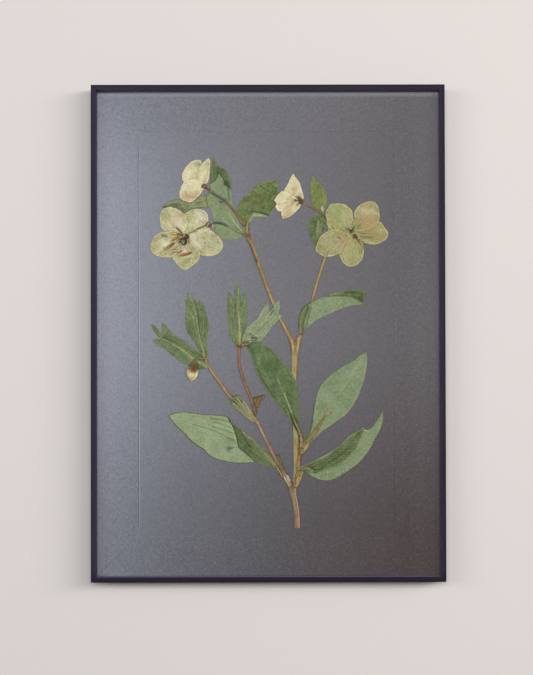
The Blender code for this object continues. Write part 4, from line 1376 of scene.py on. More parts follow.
@dataclass
class Sheet:
    """One pressed leaf, bract or petal, or a folded flap of one.

    Axis and outline are routes, stains and pleats are entries, and each pull is "radius right up: x z".
    The blade's half width, at least the least half, is found at evenly spaced stations along its axis.
    Waves are the sizes of its bumps: broad, middling, fine and those of the curled rim. The rim's waves
    in and out have a size and a share each. Towards the rim, the sheet thins to the rim's share. A fan's
    veins rise past a distance from the base, and side veins and the ridge past one from the rim.
    """

    stations = 26
    least_half = 0.8
    waves = (13.0, 6.0, 2.2, 5.0)
    rim_waves = ((2.6, 0.7), (1.1, 0.3))
    grit = 0.03
    curl_reach = 1.6
    rim_share, rim_reach = 0.45, 0.9
    fan_start, vein_start, ridge_start = 4.0, 2.5, 1.0
    groove = -0.3
    ridge_long, ridge_end = 60.0, 0.3
    crease_share = 0.9
    seed_turn = 0.381

    node: str
    tissue: str
    axis: str
    stains: str = ""
    pleats: str = ""
    pulls: str = ""
    flap: bool = False
    under: bool = False
    cockle: float = 0.14
    curl: float = 0.22
    veins: float = 0.05
    vein_pitch: float = 4.2
    vein_lean: float = 1.2
    fan: float = 0.0
    ridge: float = 0.0
    ridge_width: float = 0.7
    frill: float = 0.16
    step: float = 0.75
    thick: float = 0.16
    seed: int = 0
    name: str = ""
    outline: str = ""
    rise: float = 0.05

    def build(self) -> Object:
        """Lays the sheet on the press and makes its mesh.

        Returns:
            The sheet's object.
        """
        corners = np.array(route(self.outline)) if self.outline else plate_outline(self.node, self.flap)
        ring = self.roughen(Curves.through(anticlockwise(corners), self.step, True))
        points, triangles = fill_ring(ring, self.step)
        grain, blade = self.coordinates(points, ring)
        part = PRESS.window(ring)
        base = PRESS.tent(part) + self.rise
        height = PRESS.sample(part, base, points) + self.relief(points, grain, blade)
        PRESS.lay(part, Curves.inside(PRESS.centres(part), ring), base + self.thick + self.cockle)
        made = self.mesh(points, triangles, height, grain, blade)
        PRESS.laid.append(Laid(made.data, ring, True, 0.0, points))
        return made

    @property
    def slot(self) -> str:
        """The record's material slot of the sheet's node."""
        return next(slot for slot, starts in SLOTS.items() if self.node.startswith(starts))

    def roughen(self, ring: Array) -> Array:
        """Pulls the outline here and there and moves it a little in and out, as a dried margin does.

        Args:
            ring: the outline's samples.

        Returns:
            The new samples.
        """
        for (radius, right, up), ((x, z),) in entries(self.pulls):
            share = np.exp(-((ring - (x, z)) ** 2).sum(1) / float(radius) ** 2)
            ring = ring + share[:, None] * (float(right), float(up))
        way = np.roll(ring, -1, 0) - np.roll(ring, 1, 0)
        way /= np.maximum(np.linalg.norm(way, axis=1, keepdims=True), Curves.least)
        out = np.column_stack((way[:, 1], -way[:, 0]))
        waves = enumerate(self.rim_waves, len(self.waves) + 1)
        shift = sum(wobble(ring, size, self.seed + n) * share for n, (size, share) in waves)
        return ring + out * (shift * self.frill)[:, None]

    def coordinates(self, points: Array, ring: Array) -> tuple[Array, Array]:
        """The blade's own coordinates at each point.

        Args:
            points: the sheet's points.
            ring: its outline.

        Returns:
            Grain (along, across, edge) and blade (share of the half width, half width, seed).
        """
        axis = Curves.bent(route(self.axis))
        edge = Curves.nearest(points, ring, True)[0]
        _, along, side = Curves.nearest(points, axis)
        _, ring_along, ring_side = Curves.nearest(ring, axis)
        long = np.linalg.norm(np.diff(axis, axis=0), axis=1).sum()
        stations = np.linspace(0, long, self.stations)
        halves = []
        for sign in (1, -1):
            near = (np.abs(ring_along - at) < long / 20 + 1 for at in stations)
            wide = [np.max(sign * ring_side[beside], initial=self.least_half) for beside in near]
            halves.append(np.interp(along, stations, softened(wide, 2)))
        half = np.maximum(np.where(side > 0, *halves), self.least_half)
        seed = np.full(len(points), (self.seed * self.seed_turn) % 1)
        return np.column_stack((along, side, edge)), np.column_stack((side / half, half, seed))

    def relief(self, points: Array, grain: Array, blade: Array) -> Array:
        """The sheet's own ups and downs.

        Args:
            points: the sheet's points.
            grain: along, across and edge.
            blade: share of the half width, half width and seed.

        Returns:
            Each point's height over the sheet's bed, in millimetres.
        """
        along, side, edge = grain.T
        waves = (wobble(points, size, self.seed + n) for n, size in enumerate(self.waves))
        broad, middling, fine, rim = waves
        height = self.cockle * ((broad + 0.5 * middling) * 0.5 + 0.5) + self.grit * (fine + 1)
        height += self.curl * np.exp(-edge / self.curl_reach) * (0.5 + 0.5 * rim)
        if self.fan:
            lines = np.cos(blade[:, 0] * self.fan * 2 * math.pi)
            height += self.veins * (lines * 0.5 + 0.5) * step_between(0, self.fan_start, along)
        else:
            lines = np.cos((along - np.abs(side) * self.vein_lean) * 2 * math.pi / self.vein_pitch)
            height += self.veins * np.clip(lines, self.groove, 1) * step_between(0, self.vein_start, edge)
        taper = np.interp(along, (0, self.ridge_long), (1, self.ridge_end))
        rib = np.exp(-(side / (self.ridge_width * taper)) ** 2)
        height += self.ridge * taper * rib * step_between(0, self.ridge_start, edge)
        for pleat in self.creases():
            away = Curves.nearest(points, Curves.bent(pleat.way))[0]
            height += pleat.depth * np.exp(-(away / pleat.width) ** 2)
        return np.maximum(height, 0)

    def creases(self) -> list[Pleat]:
        """The pleats, read from their entries."""
        return [Pleat(*map(float, words), way) for words, way in entries(self.pleats)]

    def mesh(
        self, points: Array, triangles: Array, height: Array, grain: Array, blade: Array
    ) -> Object:
        """Closes the sheet with its back and its rim, and stores its coordinates and marks.

        Args:
            points: the sheet's points.
            triangles: their triangles.
            height: their height over the board.
            grain: along, across and edge.
            blade: share of the half width, half width and seed.

        Returns:
            The sheet's object.
        """
        inner = step_between(0, self.rim_reach, grain[:, 2])
        body = self.thick * (self.rim_share + (1 - self.rim_share) * inner)
        front = place(points[:, 0], points[:, 1], height + body)
        back = place(points[:, 0], points[:, 1], height)
        title = self.name or self.node + ("_fold" if self.flap else "_sheet")
        faces = closed_faces(triangles, len(points))
        made = mesh_object(title, np.concatenate((front, back)), faces, self.tissue)
        marks = stains_of(self.stains)
        # Each pleat's shade is painted along it: painted shade in its fold where positive, a painted
        # highlight where negative.
        for crease in self.creases():
            kind = Mark.DARK if crease.shade > 0 else Mark.PALE
            wide = crease.width * self.crease_share
            marks.insert(0, Stain(kind, wide, abs(crease.shade), crease.way))
        for name, values in (("grain", grain), ("blade", blade), ("marks", paint(points, marks))):
            write_attribute(made.data, name, np.tile(values, (2, 1)))
        return made


class NodeTree:
    """A Geometry Nodes tree with named inputs."""

    title = ""
    inputs: tuple[tuple[str, str, Any], ...] = ()

    def __init__(self) -> None:
        """Builds the tree."""
        self.tree = bpy.data.node_groups.new(self.title, "GeometryNodeTree")
        self.tree.is_modifier = True
        face = self.tree.interface
        face.new_socket("Geometry", in_out="OUTPUT", socket_type="NodeSocketGeometry")
        for name, kind, value in self.inputs:
            made = face.new_socket(name, in_out="INPUT", socket_type="NodeSocket" + kind)
            if value is not None:
                made.default_value = value
        self.start = self.tree.nodes.new("NodeGroupInput")
        self.end = self.tree.nodes.new("NodeGroupOutput")
        self.wire()

    def wire(self) -> None:
        """Lays out the nodes."""
        raise NotImplementedError

    def add(self, kind: str, settings: dict | None = None, values: dict | None = None) -> bpy.types.Node:
        """Adds a node.

        Args:
            kind: the node's type.
            settings: its own settings, which are set first.
            values: numbers or outputs for its inputs, by name or index.

        Returns:
            The node.
        """
        node = self.tree.nodes.new(kind)
        for key, value in (settings or {}).items():
            setattr(node, key, value)
        for key, value in (values or {}).items():
            if isinstance(value, NodeSocket):
                self.tree.links.new(value, node.inputs[key])
            else:
                node.inputs[key].default_value = value
        return node

    def make(self, kind: str, **values: Any) -> NodeSocket:
        """The first output of a new node; Profile_Curve stands for its input Profile Curve."""
        spelled = {key.replace("_", " "): value for key, value in values.items()}
        return self.add(kind, None, spelled).outputs[0]

    def maths(self, operation: str, *values: Any) -> NodeSocket:
        """A Math node's result."""
        return self.add("ShaderNodeMath", {"operation": operation}, dict(enumerate(values))).outputs[0]

    def vector(self, x: Any, y: Any, z: Any) -> NodeSocket:
        """A vector of three values."""
        return self.add("ShaderNodeCombineXYZ", None, {0: x, 1: y, 2: z}).outputs[0]

    def finish(self, geometry: NodeSocket) -> None:
        """Makes copies real, gives them the material and hands them out.

        Args:
            geometry: what the tree has made.
        """
        real = self.make("GeometryNodeRealizeInstances", Geometry=geometry)
        whole = self.make("GeometryNodeSetMaterial", Geometry=real, Material=self.start.outputs["Material"])
        self.tree.links.new(whole, self.end.inputs[0])

    def dress(self, source: Object, name: str, **values: Any) -> Object:
        """Runs the tree on an object and turns the result into a plain mesh object.

        Args:
            source: the object, which is then removed.
            name: the new object's name.
            values: the tree's inputs; Rib_Depth stands for Rib Depth.

        Returns:
            The new object.
        """
        step = source.modifiers.new(self.title, "NODES")
        step.node_group = self.tree
        for item in self.tree.interface.items_tree:
            key = item.name.replace(" ", "_")
            if item.item_type == "SOCKET" and item.in_out == "INPUT" and key in values:
                step[item.identifier] = values[key]
        bpy.context.view_layer.update()
        data = bpy.data.meshes.new_from_object(source.evaluated_get(bpy.context.evaluated_depsgraph_get()))
        data.name = name
        bpy.data.objects.remove(source, do_unlink=True)
        return stand(name, data)


class SweepTree(NodeTree):
    """Geometry Nodes that sweep a ribbed, flattened profile along a curve."""

    title = "pressed_stem"
    inputs = (
        ("Geometry", "Geometry", None), ("Flatness", "Float", 0.45), ("Ribs", "Float", 5.0),
        ("Rib Depth", "Float", 0.06), ("Sides", "Int", 22), ("Material", "Material", None),
    )

    def capture(
        self, geometry: NodeSocket, value: NodeSocket
    ) -> tuple[NodeSocket, NodeSocket]:
        """Keeps a number on a curve's points through the sweep.

        Args:
            geometry: the curve.
            value: the number.

        Returns:
            The curve that keeps it, and the kept number.
        """
        node = self.add("GeometryNodeCaptureAttribute", {"domain": "POINT"})
        node.capture_items.new("FLOAT", "kept")
        self.tree.links.new(geometry, node.inputs["Geometry"])
        self.tree.links.new(value, node.inputs["kept"])
        return node.outputs["Geometry"], node.outputs["kept"]

    def wire(self) -> None:
        """Lays out the nodes: a ribbed profile, the sweep and its coordinates."""
        given = self.start.outputs
        circle = self.make("GeometryNodeCurvePrimitiveCircle", Resolution=given["Sides"], Radius=1.0)
        parameter = self.add("GeometryNodeSplineParameter").outputs
        profile, angle = self.capture(circle, parameter["Factor"])
        turn = self.maths("MULTIPLY", self.maths("MULTIPLY", parameter["Factor"], 2 * math.pi), given["Ribs"])
        swell = self.maths("MULTIPLY_ADD", self.maths("COSINE", turn), given["Rib Depth"], 1.0)
        parts = self.add("ShaderNodeSeparateXYZ", None, {0: self.make("GeometryNodeInputPosition")}).outputs
        across = self.maths("MULTIPLY", parts[0], swell)
        up = self.maths("MULTIPLY", self.maths("MULTIPLY", parts[1], swell), given["Flatness"])
        shaped = self.vector(across, up, 0.0)
        profile = self.make("GeometryNodeSetPosition", Geometry=profile, Position=shaped)
        line, along = self.capture(given["Geometry"], parameter["Length"])
        half = self.make("GeometryNodeInputRadius")
        line, wide = self.capture(line, half)
        sweep = self.make("GeometryNodeCurveToMesh", Curve=line, Profile_Curve=profile, Fill_Caps=True)
        if "Scale" in sweep.node.inputs:
            self.tree.links.new(half, sweep.node.inputs["Scale"])
        grain = self.vector(self.maths("DIVIDE", along, MM), angle, self.maths("DIVIDE", wide, MM))
        settings = {"data_type": "FLOAT_VECTOR", "domain": "POINT"}
        values = {"Geometry": sweep, "Name": "grain", "Value": grain}
        stored = self.add("GeometryNodeStoreNamedAttribute", settings, values).outputs[0]
        self.finish(self.make("GeometryNodeSetShadeSmooth", Geometry=stored))


SWEEP = SweepTree()


@dataclass
class Stalk:
    """A pressed stem or stalk: a ribbed tube swept along its route over what lies there.

    Way is a route, widths are its half widths there, and stains are entries. The gap is left below it.
    Its samples lie a step apart, and its bed is softened over a few of them to either side.
    """

    gap = 0.06
    step = 0.9
    softened_over = 3

    name: str
    bark: str
    way: str
    widths: str
    node: str
    stains: str = ""
    slot: str = "stalk_brown"
    thick: float = 1.15
    ribs: float = 3.0
    rib_depth: float = 0.07
    sides: int = 22
    lift: float = 0.0

    def build(self) -> Object:
        """Sweeps the stalk and lays it on the press.

        Returns:
            The stalk's object.
        """
        knots_at = np.array(route(self.way))
        line = Curves.bent(knots_at, self.step)
        knots = Curves.nearest(knots_at, line)[1]
        along = Curves.lengths(line)
        widths = list(map(float, self.widths.split()))
        half = np.interp(along, knots, widths)
        flat = min(1.0, self.thick / (2 * max(widths)))
        rise = half * flat
        part = PRESS.window(line)
        bed = PRESS.sample(part, PRESS.tent(part), line)
        height = softened(bed, self.softened_over) + rise + self.gap + self.lift
        made = self.sweep(line, half, height, flat)
        reach, far, _ = Curves.nearest(PRESS.centres(part), line)
        share = np.sqrt(np.clip(1 - (reach / np.interp(far, along, half)) ** 2, 0, 1))
        top = np.interp(far, along, height) + np.interp(far, along, rise) * share
        PRESS.lay(part, (share > 0) & (far >= 0) & (far <= along[-1]), top)
        PRESS.laid.append(Laid(made.data, line, False, float(np.median(half))))
        return made

    def sweep(self, line: Array, half: Array, height: Array, flat: float) -> Object:
        """Runs the sweep's nodes on the route and turns the result upright.

        Args:
            line: the route's samples.
            half: the half width at each.
            height: the height of the stalk's middle over the board at each.
            flat: the profile's height as a share of its width.

        Returns:
            The stalk's object.
        """
        curve = bpy.data.curves.new(self.name, "CURVE")
        curve.dimensions = "3D"
        spline = curve.splines.new("POLY")
        spline.points.add(len(line) - 1)
        for point, (x, z), h, r in zip(spline.points, line, height, half):
            point.co = (x * MM, z * MM, h * MM, 1)
            point.radius = r * MM
        made = SWEEP.dress(
            stand(self.name + "_route", curve), self.name, Flatness=flat, Ribs=self.ribs,
            Rib_Depth=self.rib_depth, Sides=self.sides, Material=FINISHES[self.bark],
        )
        made.data.transform(Matrix.Translation((0, BOARD_Y, 0)) @ Matrix.Rotation(math.pi / 2, 4, "X"))
        outwards(made.data)
        points = np.array([(v.co.x / MM, v.co.z / MM) for v in made.data.vertices])
        write_attribute(made.data, "marks", paint(points, stains_of(self.stains)))
        return made


SLOTS = {
    "leaf_green": (
        "leaf_middle", "leaf_lower_left", "leaf_top_left", "bract_left", "bract_upper_left", "bract_centre",
        "bract_sliver", "bract_behind", "bract_olive", "bract_upright", "bract_spotted",
    ),
    "leaf_pale": (
        "leaf_right", "leaf_lower_right", "leaf_upper_right", "bract_pale", "bract_sheath", "bract_blunt",
    ),
    "petal_cream": ("flower_one_petal", "flower_three_petal", "bud"),
    "petal_green": ("flower_two_petal", "flower_four_petal"),
    "stalk_brown": ("bract_dried", "flower_"),
    "stem_tan": ("stem_",),
}


FLOWER_ONE = (-55.5, 128.0)
FLOWER_TWO = (-71.2, 84.2)
FLOWER_THREE = (28.8, 113.6)
FLOWER_FOUR = (73.4, 86.2)


def petal(
    flower: str, number: int, tissue: str, heart: Point, tip: Point, stains: str = "", pleats: str = "",
    **sizes: Any,
) -> Sheet:
    """A petal that fans out from its flower's heart.

    Args:
        flower: the flower's name.
        number: the petal's number, which also chooses its noise.
        tissue: its finish.
        heart: the flower's heart.
        tip: the petal's tip.
        stains: its marks.
        pleats: its creases.
        sizes: what differs from a usual petal.

    Returns:
        The petal.
    """
    middle = ((heart[0] + tip[0]) / 2, (heart[1] + tip[1]) / 2)
    axis = ", ".join(f"{x:.2f} {z:.2f}" for x, z in (heart, middle, tip))
    usual = dict(
        fan=5.5, veins=0.045, cockle=0.2, curl=0.2, frill=0.22, step=0.7, thick=0.13,
        seed=number * 7 + len(flower),
    )
    return Sheet(f"{flower}_petal_{number}", tissue, axis, stains, pleats, **(usual | sizes))


# The DARK and WHITE marks here are partly real stains and partly painted shade in folds and slits and painted
# highlights on crumples.
SHEETS = (
    Sheet(
        "leaf_middle", "leaf_top",
        "29 -97, 28 -91.5, 24 -80, 20 -70, 16 -61, 12.6 -51, 9.4 -42, 5 -35.4, 0 -28, -8 -17",
        """green 2.5 .4: 20 -50, 14 -36, 4 -24; dark 2 .3: 6 -57, -4 -43, -9 -33; dark .5 .32: -14.4
        -14.7, -6.6 -36.8, 3.9 -53.8, 15.7 -69.5, 24.8 -81.1; blue 2.4 .26: 7.3 -37.9, 11 -40.8; blue .7
        .3: -3.9 -21.8, 2.7 -31.7, 7.7 -39.2, 11.8 -44.9; dark .4 .3: -6.4 -23.5, -.6 -34.2, 5.2 -44.1,
        9.4 -52.4; pale .4 .3: -10.5 -19.3, -3.9 -33.4, 3.6 -45.8; dark .35 .25: 5.2 -22.6, 11 -33.4, 16
        -44.9; pale .35 .25: 9.4 -21.8, 15.2 -31.7, 19.3 -40.8; dark .6 .55: 24.6 -84, 20 -71, 16 -60;
        pale .5 .6: 21.5 -73, 17.5 -62, 14 -53; pale .5 .35: 14 -53, 11 -46, 8 -40; brown .5 .6: 23.4
        -80, 26.6 -86, 29.8 -92; brown .4 .5: 20.4 -73.4, 24 -81, 28 -89""",
        ".6 -.1 .24: 22 -84, 14 -67, 6 -55; .6 .1 .2: 26 -84, 25.5 -72, 24 -58",
        "5 -2.2 .6: -16 -12; 5 -.5 1.4: -9 -9",
        ridge=0.3, ridge_width=0.8, vein_pitch=5.5, vein_lean=1.9, seed=1,
    ),
    Sheet(
        "leaf_right", "leaf_under",
        "29 -101, 31.5 -97, 36 -91, 42 -81, 46 -74.6, 50 -69, 55 -61, 62 -50, 72 -35, 84 -18.5",
        """dark .5 .85: 31.3 -92.4, 33.6 -88.7, 35.7 -85, 37 -80.8, 37.9 -76.6, 38.6 -70.9, 39.5 -64.1,
        40.6 -58.4; tan 1.5 .75: 30 -99, 33 -94.6, 39 -86.6, 43 -80.6; brown .5 .6: 31 -97, 36.6 -90, 42
        -82.6; tan .7 .7: 45 -79.7, 47.1 -76.1, 49.2 -73, 51.3 -69.3, 53.4 -66.2; tan .7 .35: 55 -64.1,
        56.5 -62; straw .9 .4: 38.8 -93.3, 41.9 -89.7, 45 -86; straw .6 .5: 36 -94, 42 -88, 49 -82; pale
        .5 .4: 58 -56, 66 -46, 76 -30; dark 3.5 .12: 45 -60, 52 -64, 60 -66""",
        ".7 -.1 .3: 31 -97, 36 -86, 39 -74",
        ridge=0.45, ridge_width=1.3, vein_pitch=6.0, vein_lean=1.0, seed=2,
    ),
    Sheet(
        "leaf_lower_right", "leaf_fold",
        "24 -130, 27 -121, 36 -118.5, 46 -116.8, 56 -112, 66 -104, 75 -94, 84 -84, 99 -68.4",
        """dark .9 .95: 37 -116.2, 38.6 -119.4, 41 -120.4; dark .5 .9: 28.8 -117.1, 34 -115, 39.7
        -112.4; pale .5 .5: 82 -84.4, 86 -85; green 2 .45: 46 -120, 56 -116.4, 66 -109.6, 76 -98""",
        comb(
            ".3 .08 -.3", "62.4 -111.7, 72.3 -103, 76 -97.5, 79.1 -90, 89 -83.3",
            "83.5 -109.2, 89 -100.6, 92.7 -93.8, 95.8 -87.6, 98.9 -80.8", 15,
        )
        + comb(
            ".28 -.08 .26", "64 -110, 74 -101, 77 -95, 82 -88, 91 -81",
            "85 -107.4, 90 -99, 93.4 -92, 96.4 -86, 99 -79", 14,
        )
        + comb(
            ".4 .14 -.55", "61.2 -117, 64.9 -119.1, 68 -117.8", "62.4 -125.3, 66.1 -122.8, 69.2 -121.4", 3,
        )
        + comb(".35 -.14 .5", "62.4 -118, 66.4 -119.4, 70 -117.4", "64 -124.6, 67.6 -122.4, 71 -120.6", 3)
        + ".4 .1 -.5: 51 -119.1, 51 -127.1; .5 .1 -.3: 44 -119, 45 -124",
        vein_pitch=2.4, vein_lean=0.45, veins=0.05, seed=3,
    ),
    Sheet(
        "leaf_lower_right", "leaf_lower", "30 -117.6, 46 -112, 60 -104, 72 -93, 79.4 -84.4",
        """straw 1.3 .4: 34.2 -114.2, 36.8 -113.6, 40 -112.6; dark .6 .9: 36.8 -116.4, 38.3 -116.7, 39.5
        -118, 41 -118.5; dark .4 .6: 43.1 -115.3, 46.3 -115, 49.4 -115.8; pale 1.3 .35: 28.9 -117.4,
        32.1 -116.6, 34.7 -117.6; pale .9 .3: 36.8 -119.5, 38.4 -120; green 1.4 .3: 34.7 -120, 42.1
        -120; dark .5 .9: 28.8 -117.1, 34 -115, 39.7 -112.4; dark 1 .45: 52 -112, 62 -106, 70 -98""",
        comb(
            ".35 .12 -.2", "36.5 -115.2, 44.8 -110.2, 53 -104.9, 61.3 -98.7, 69.6 -92, 75.4 -87.1",
            "57.2 -113.6, 63.8 -109.4, 70.4 -104.5, 75.4 -98.7, 77.9 -93.7, 80.4 -88.8", 13,
        )
        + comb(
            ".35 -.14 .45", "38 -113.6, 46.6 -109, 55 -103.6, 63 -97.2, 71.4 -90.4, 76.4 -86.2",
            "59 -112.4, 65.6 -108, 72 -102.8, 76.4 -97, 78.8 -92, 80.6 -87.8", 12,
        ),
        flap=True, vein_pitch=3.0, seed=4, cockle=0.2,
        outline="""26.2 -119.2, 32.3 -114.7, 40.6 -111.6, 48.9 -108.3, 57.2 -102.1, 65.5 -95.5, 73.7
        -88.9, 80.7 -83.5, 82.2 -84.6, 80.7 -88.1, 78 -93, 75.6 -97.8, 72.4 -102.5, 67.1 -107.6, 61.3
        -111.7, 55.5 -114.9, 48.9 -116.7, 43.9 -119.3, 36.5 -120.5, 30.7 -120.3""",
    ),
    Sheet(
        "leaf_lower_left", "leaf_lower",
        "12 -124, 9 -118.6, 5 -112, -4 -103, -16 -96, -30 -86, -60 -82, -86 -72",
        """pale 1.3 .2: -22.6 -85.7, -13.2 -92.5, -3.8 -100.4; green 3 .3: -13.2 -102.1; straw .9 .6:
        -2.6 -104, 1 -108, 4.4 -113.8; dark .4 .5: -20 -86.8, -13 -91.6, -6 -98; dark 1.2 .5: -24.4 -84,
        -20 -92, -16 -98; straw 1.3 .75: 5.4 -113, 9.6 -120, 12 -125; dark .5 .8: 5.9 -114.6, 9 -121,
        12.4 -126.3; straw .8 .4: 2 -115.4, 8 -119""",
        comb(".45 -.12 .35", "-26 -82, -24 -90, -22 -97", "1 -108, 2 -111, 3 -114.6", 6)
        + comb(".45 .12 -.22", "-26 -80, -24 -88, -22 -95.4", "0 -107, 1.4 -110, 2.4 -113", 6),
        vein_pitch=3.0, vein_lean=2.4, seed=5, cockle=0.2,
    ),
    Sheet(
        "leaf_lower_left", "leaf_fold_light", "-22 -96, -34 -92, -50 -86, -68 -78, -86.4 -71.6",
        """blue 5 .35: -33.8 -99.7; dark 2.2 .4: -34.4 -99.9; dark .5 .35: -33 -99.6, -24.4 -98; dark .5
        .6: -30.9 -77.4, -27.6 -87, -24.4 -96.3; dark 1 .7: -28.5 -83.3; dark .9 .6: -26.1 -88; pale 1
        .3: -31.6 -79, -29 -89, -26.4 -96""",
        """.5 -.2 .6: -49.7 -74, -41 -75, -32 -77.4; .5 -.2 .55: -47.3 -76.9, -38 -79.6, -29.7 -83.3; .5
        -.2 .6: -48.5 -81, -38 -84, -27.4 -88; .55 -.2 .55: -66.1 -78.6, -46 -85, -26.1 -95; .5 .16 -.4:
        -49 -75.4, -40 -77, -31 -80.2 | -48 -79, -38 -81.8, -29 -85.6 | -56 -81, -40 -87, -27.4 -91.4;
        .45 -.14 .35: -52 -88.5, -40 -90, -27 -96.4; .4 .12 -.3: -80 -73, -64 -79.6, -50 -84; .4 .1
        -.25: -60 -84, -44 -89, -30 -95""",
        flap=True, vein_pitch=6.0, vein_lean=1.5, veins=0.03, seed=6, cockle=0.24,
    ),
    Sheet(
        "leaf_upper_right", "leaf_fold", "29.4 -.4, 36 10, 46 20, 58 26, 70 28.5, 82.4 26",
        """green 2.4 .7: 28.4 6, 29.6 14, 34 22; dark .8 .6: 26.4 4, 26.4 10, 28.2 18, 33 24, 38.5 27;
        blue .8 .6: 37.3 22.8, 34.6 13, 32.6 4.1; dark .6 .4: 30.4 6, 32 14, 35 22; brown 1.2 .7: 29.4
        .4, 30.6 4; dark .6 .3: 46 30, 60 32.2, 72 31""",
        "1 .3 .2: 29.6 3, 31.8 12, 35.6 23; .5 .08 -.2: 34 10, 46 16, 60 18 | 34 14, 44 22, 58 25.4",
        vein_pitch=3.4, seed=7,
    ),
    Sheet(
        "leaf_upper_right", "leaf_lower", "50.4 32, 60 34, 72 34, 84 31.5",
        "brown 3 .3: 79 34, 83 30; straw .9 .3: 54 33.4, 66 35.4", ".5 .08 -.3: 52 33, 66 33.6, 80 32",
        flap=True, vein_pitch=2.6, seed=8,
    ),
    Sheet(
        "leaf_top_left", "leaf_mottled", "-18.2 86, -18.4 92, -15.6 101, -9 112, -2 122, 8 131.4",
        """straw 1.3 .7: -18 88, -17.6 92, -16 98.6, -13 103; brown .5 .6: -16.4 90, -15.4 96, -13.6
        100; dark 1.6 .3: -22 112, -12 122; brown 3 .22: -10 110, -6 115; tan 3.4 .3: -12 116; green 3
        .3: 0 106; dark 2 .25: -6 118, 0 124; dark .7 .5: -13.6 105.4, -8 104.8, .6 102.4""",
        ".6 -.2 .3: -14.8 102.4, -6 102.8, 1.6 103",
        ridge=0.15, vein_pitch=5.4, vein_lean=1.3, seed=9,
    ),
    Sheet(
        "bract_left", "bract_top", "-54.4 -27, -57 -25, -66 -20, -74 -15, -82 -9, -90 -4, -99.8 6.4",
        """dark .6 .6: -97.6 -5.4, -92.6 -6.1; dark .5 .6: -91.5 -3.2, -78 -9, -63 -18; dark .4 .35: -85
        -2, -70 -8, -56 -16; dark .4 .4: -88.5 -2.3, -77.9 -7, -66.2 -13.5, -57.7 -19.9; pale .4 .45:
        -83.8 -9.1, -74.4 -15.2, -65 -22.6; blue 2 .15: -75.6 -5.5, -67.4 -10.2; dark .3 .35: -94.4 .3,
        -88.5 -4.6, -82.7 -7.9; brown .4 .3: -89.7 6.2, -81.5 .3, -70.9 -5; pale .45 .4: -89.8 -5.4, -78
        -11.9, -64 -21.9; dark 1 .35: -88.2 -.8; dark .4 .5: -96.4 4.4, -91 -.6; straw 1.8 .45: -66
        -22.6, -58 -25.4; brown 1 .5: -54.6 -27, -53.6 -25""",
        """.5 .1 -.25: -92 -8, -80 -15, -66 -25; .45 .1 -.25: -90 1, -78 -4, -66 -12; .5 -.1 .3: -90 -9,
        -78 -17, -66 -26""", "1.7 -1.6 1.2: -99.2 6; 1.6 -.4 1.6: -90.8 7; 1.8 -1.8 -.2: -98 -5",
        vein_lean=2.4, ridge=0.26, seed=10,
    ),
    Sheet(
        "bract_upper_left", "bract_top",
        "-54.8 -21.4, -56 -17, -59 -10, -61 -2, -62 8, -64 18, -66.6 29, -69 35",
        """dark .5 .55: -60.9 22.1, -60 12, -59.5 4, -57.5 -8 | -69.2 27.6, -67.8 23, -66 18.7; dark .4
        .4: -61.9 21.5, -60.9 13.3, -59.6 2.7, -58.2 -7.9; pale .4 .4: -66.2 18, -64.1 8.6, -61.5 -2;
        blue 2 .16: -65.9 2.7, -66.2 9.7; blue 2 .14: -54.2 2.7, -54.4 9.7; brown .4 .35: -69.9 28.5,
        -70.4 18, -69.7 6.2; pale .5 .35: -51.5 18, -50.9 8.6, -51.6 -.8; straw .6 .5: -56.2 -13.8,
        -54.4 -20.8; pale .45 .45: -68 33, -63.3 21, -61 6.2, -58 -9, -55 -22; pale .35 .3: -58.5 27.6,
        -56.1 16, -56.1 3, -56.7 -9; green 1.6 .3: -62 -6, -58 -16; tan 1.1 .6: -57 -18, -55.6 -21.4,
        -54 -24; dark .5 .5: -57.8 -14, -56 -20; dark .4 .4: -54.6 -14, -54.2 -21""",
        """.4 .1 -.3: -64.6 12, -65 22, -68.6 28; .4 .1 -.25: -58.6 0, -58.4 14, -60 24; .4 -.1 .25: -63
        -2, -64.6 10, -66 16""",
        vein_lean=2.6, ridge=0.28, seed=11,
    ),
    Sheet(
        "bract_centre", "bract_top", "-25 -12, -25.6 -6, -26 0, -26.5 12, -27 26, -26.6 41",
        """pale .45 .45: -25.6 39, -26.2 23.8, -25.1 6.2, -24.5 -10; pale .35 .3: -33.2 33.2, -29.6
        23.8, -26.8 18; blue 2.6 .22: -28.5 9.7, -28.3 2.7; blue 2 .14: -20.3 6.2; brown .4 .4: -34.1
        33.2, -33.5 23.8, -32.8 6.2; brown .4 .35: -17.5 18, -17 12.1, -18.7 1.5; dark .4 .4: -31.1
        28.5, -27.8 19.1, -26.2 10.9; pale .5 .4: -25 19.1, -24.5 6.2, -24.1 -6.7; straw .8 .5: -23.6
        -3.2, -23.4 -9.1; pale .35 .3: -19.2 32.6, -21.6 21.4, -24.5 10.8; straw 2.6 .45: -25 -10, -25
        -1; blue 1.3 .4: -29 7.3; brown .4 .5: -27 -10, -27.4 -4 | -23.6 -10, -23.2 -4; dark .6 .6: -28
        25, -28.6 22 | -23.3 27, -23.6 23; dark .9 .2: -31.4 0, -30 14; brown 1.3 .6: -27.8 -11, -24
        -11.4""",
        ".4 .1 -.25: -27 -4, -29 8, -31 20 | -23.4 -4, -22 8, -20 20; .4 -.1 .25: -28 -6, -31 6, -32 18",
        vein_lean=2.6, ridge=0.28, seed=12,
    ),
    Sheet(
        "bract_pale", "bract_pale", "-21.6 -8, -17 -2.4, -12 2, -6 8, 1 15, 9.4 27",
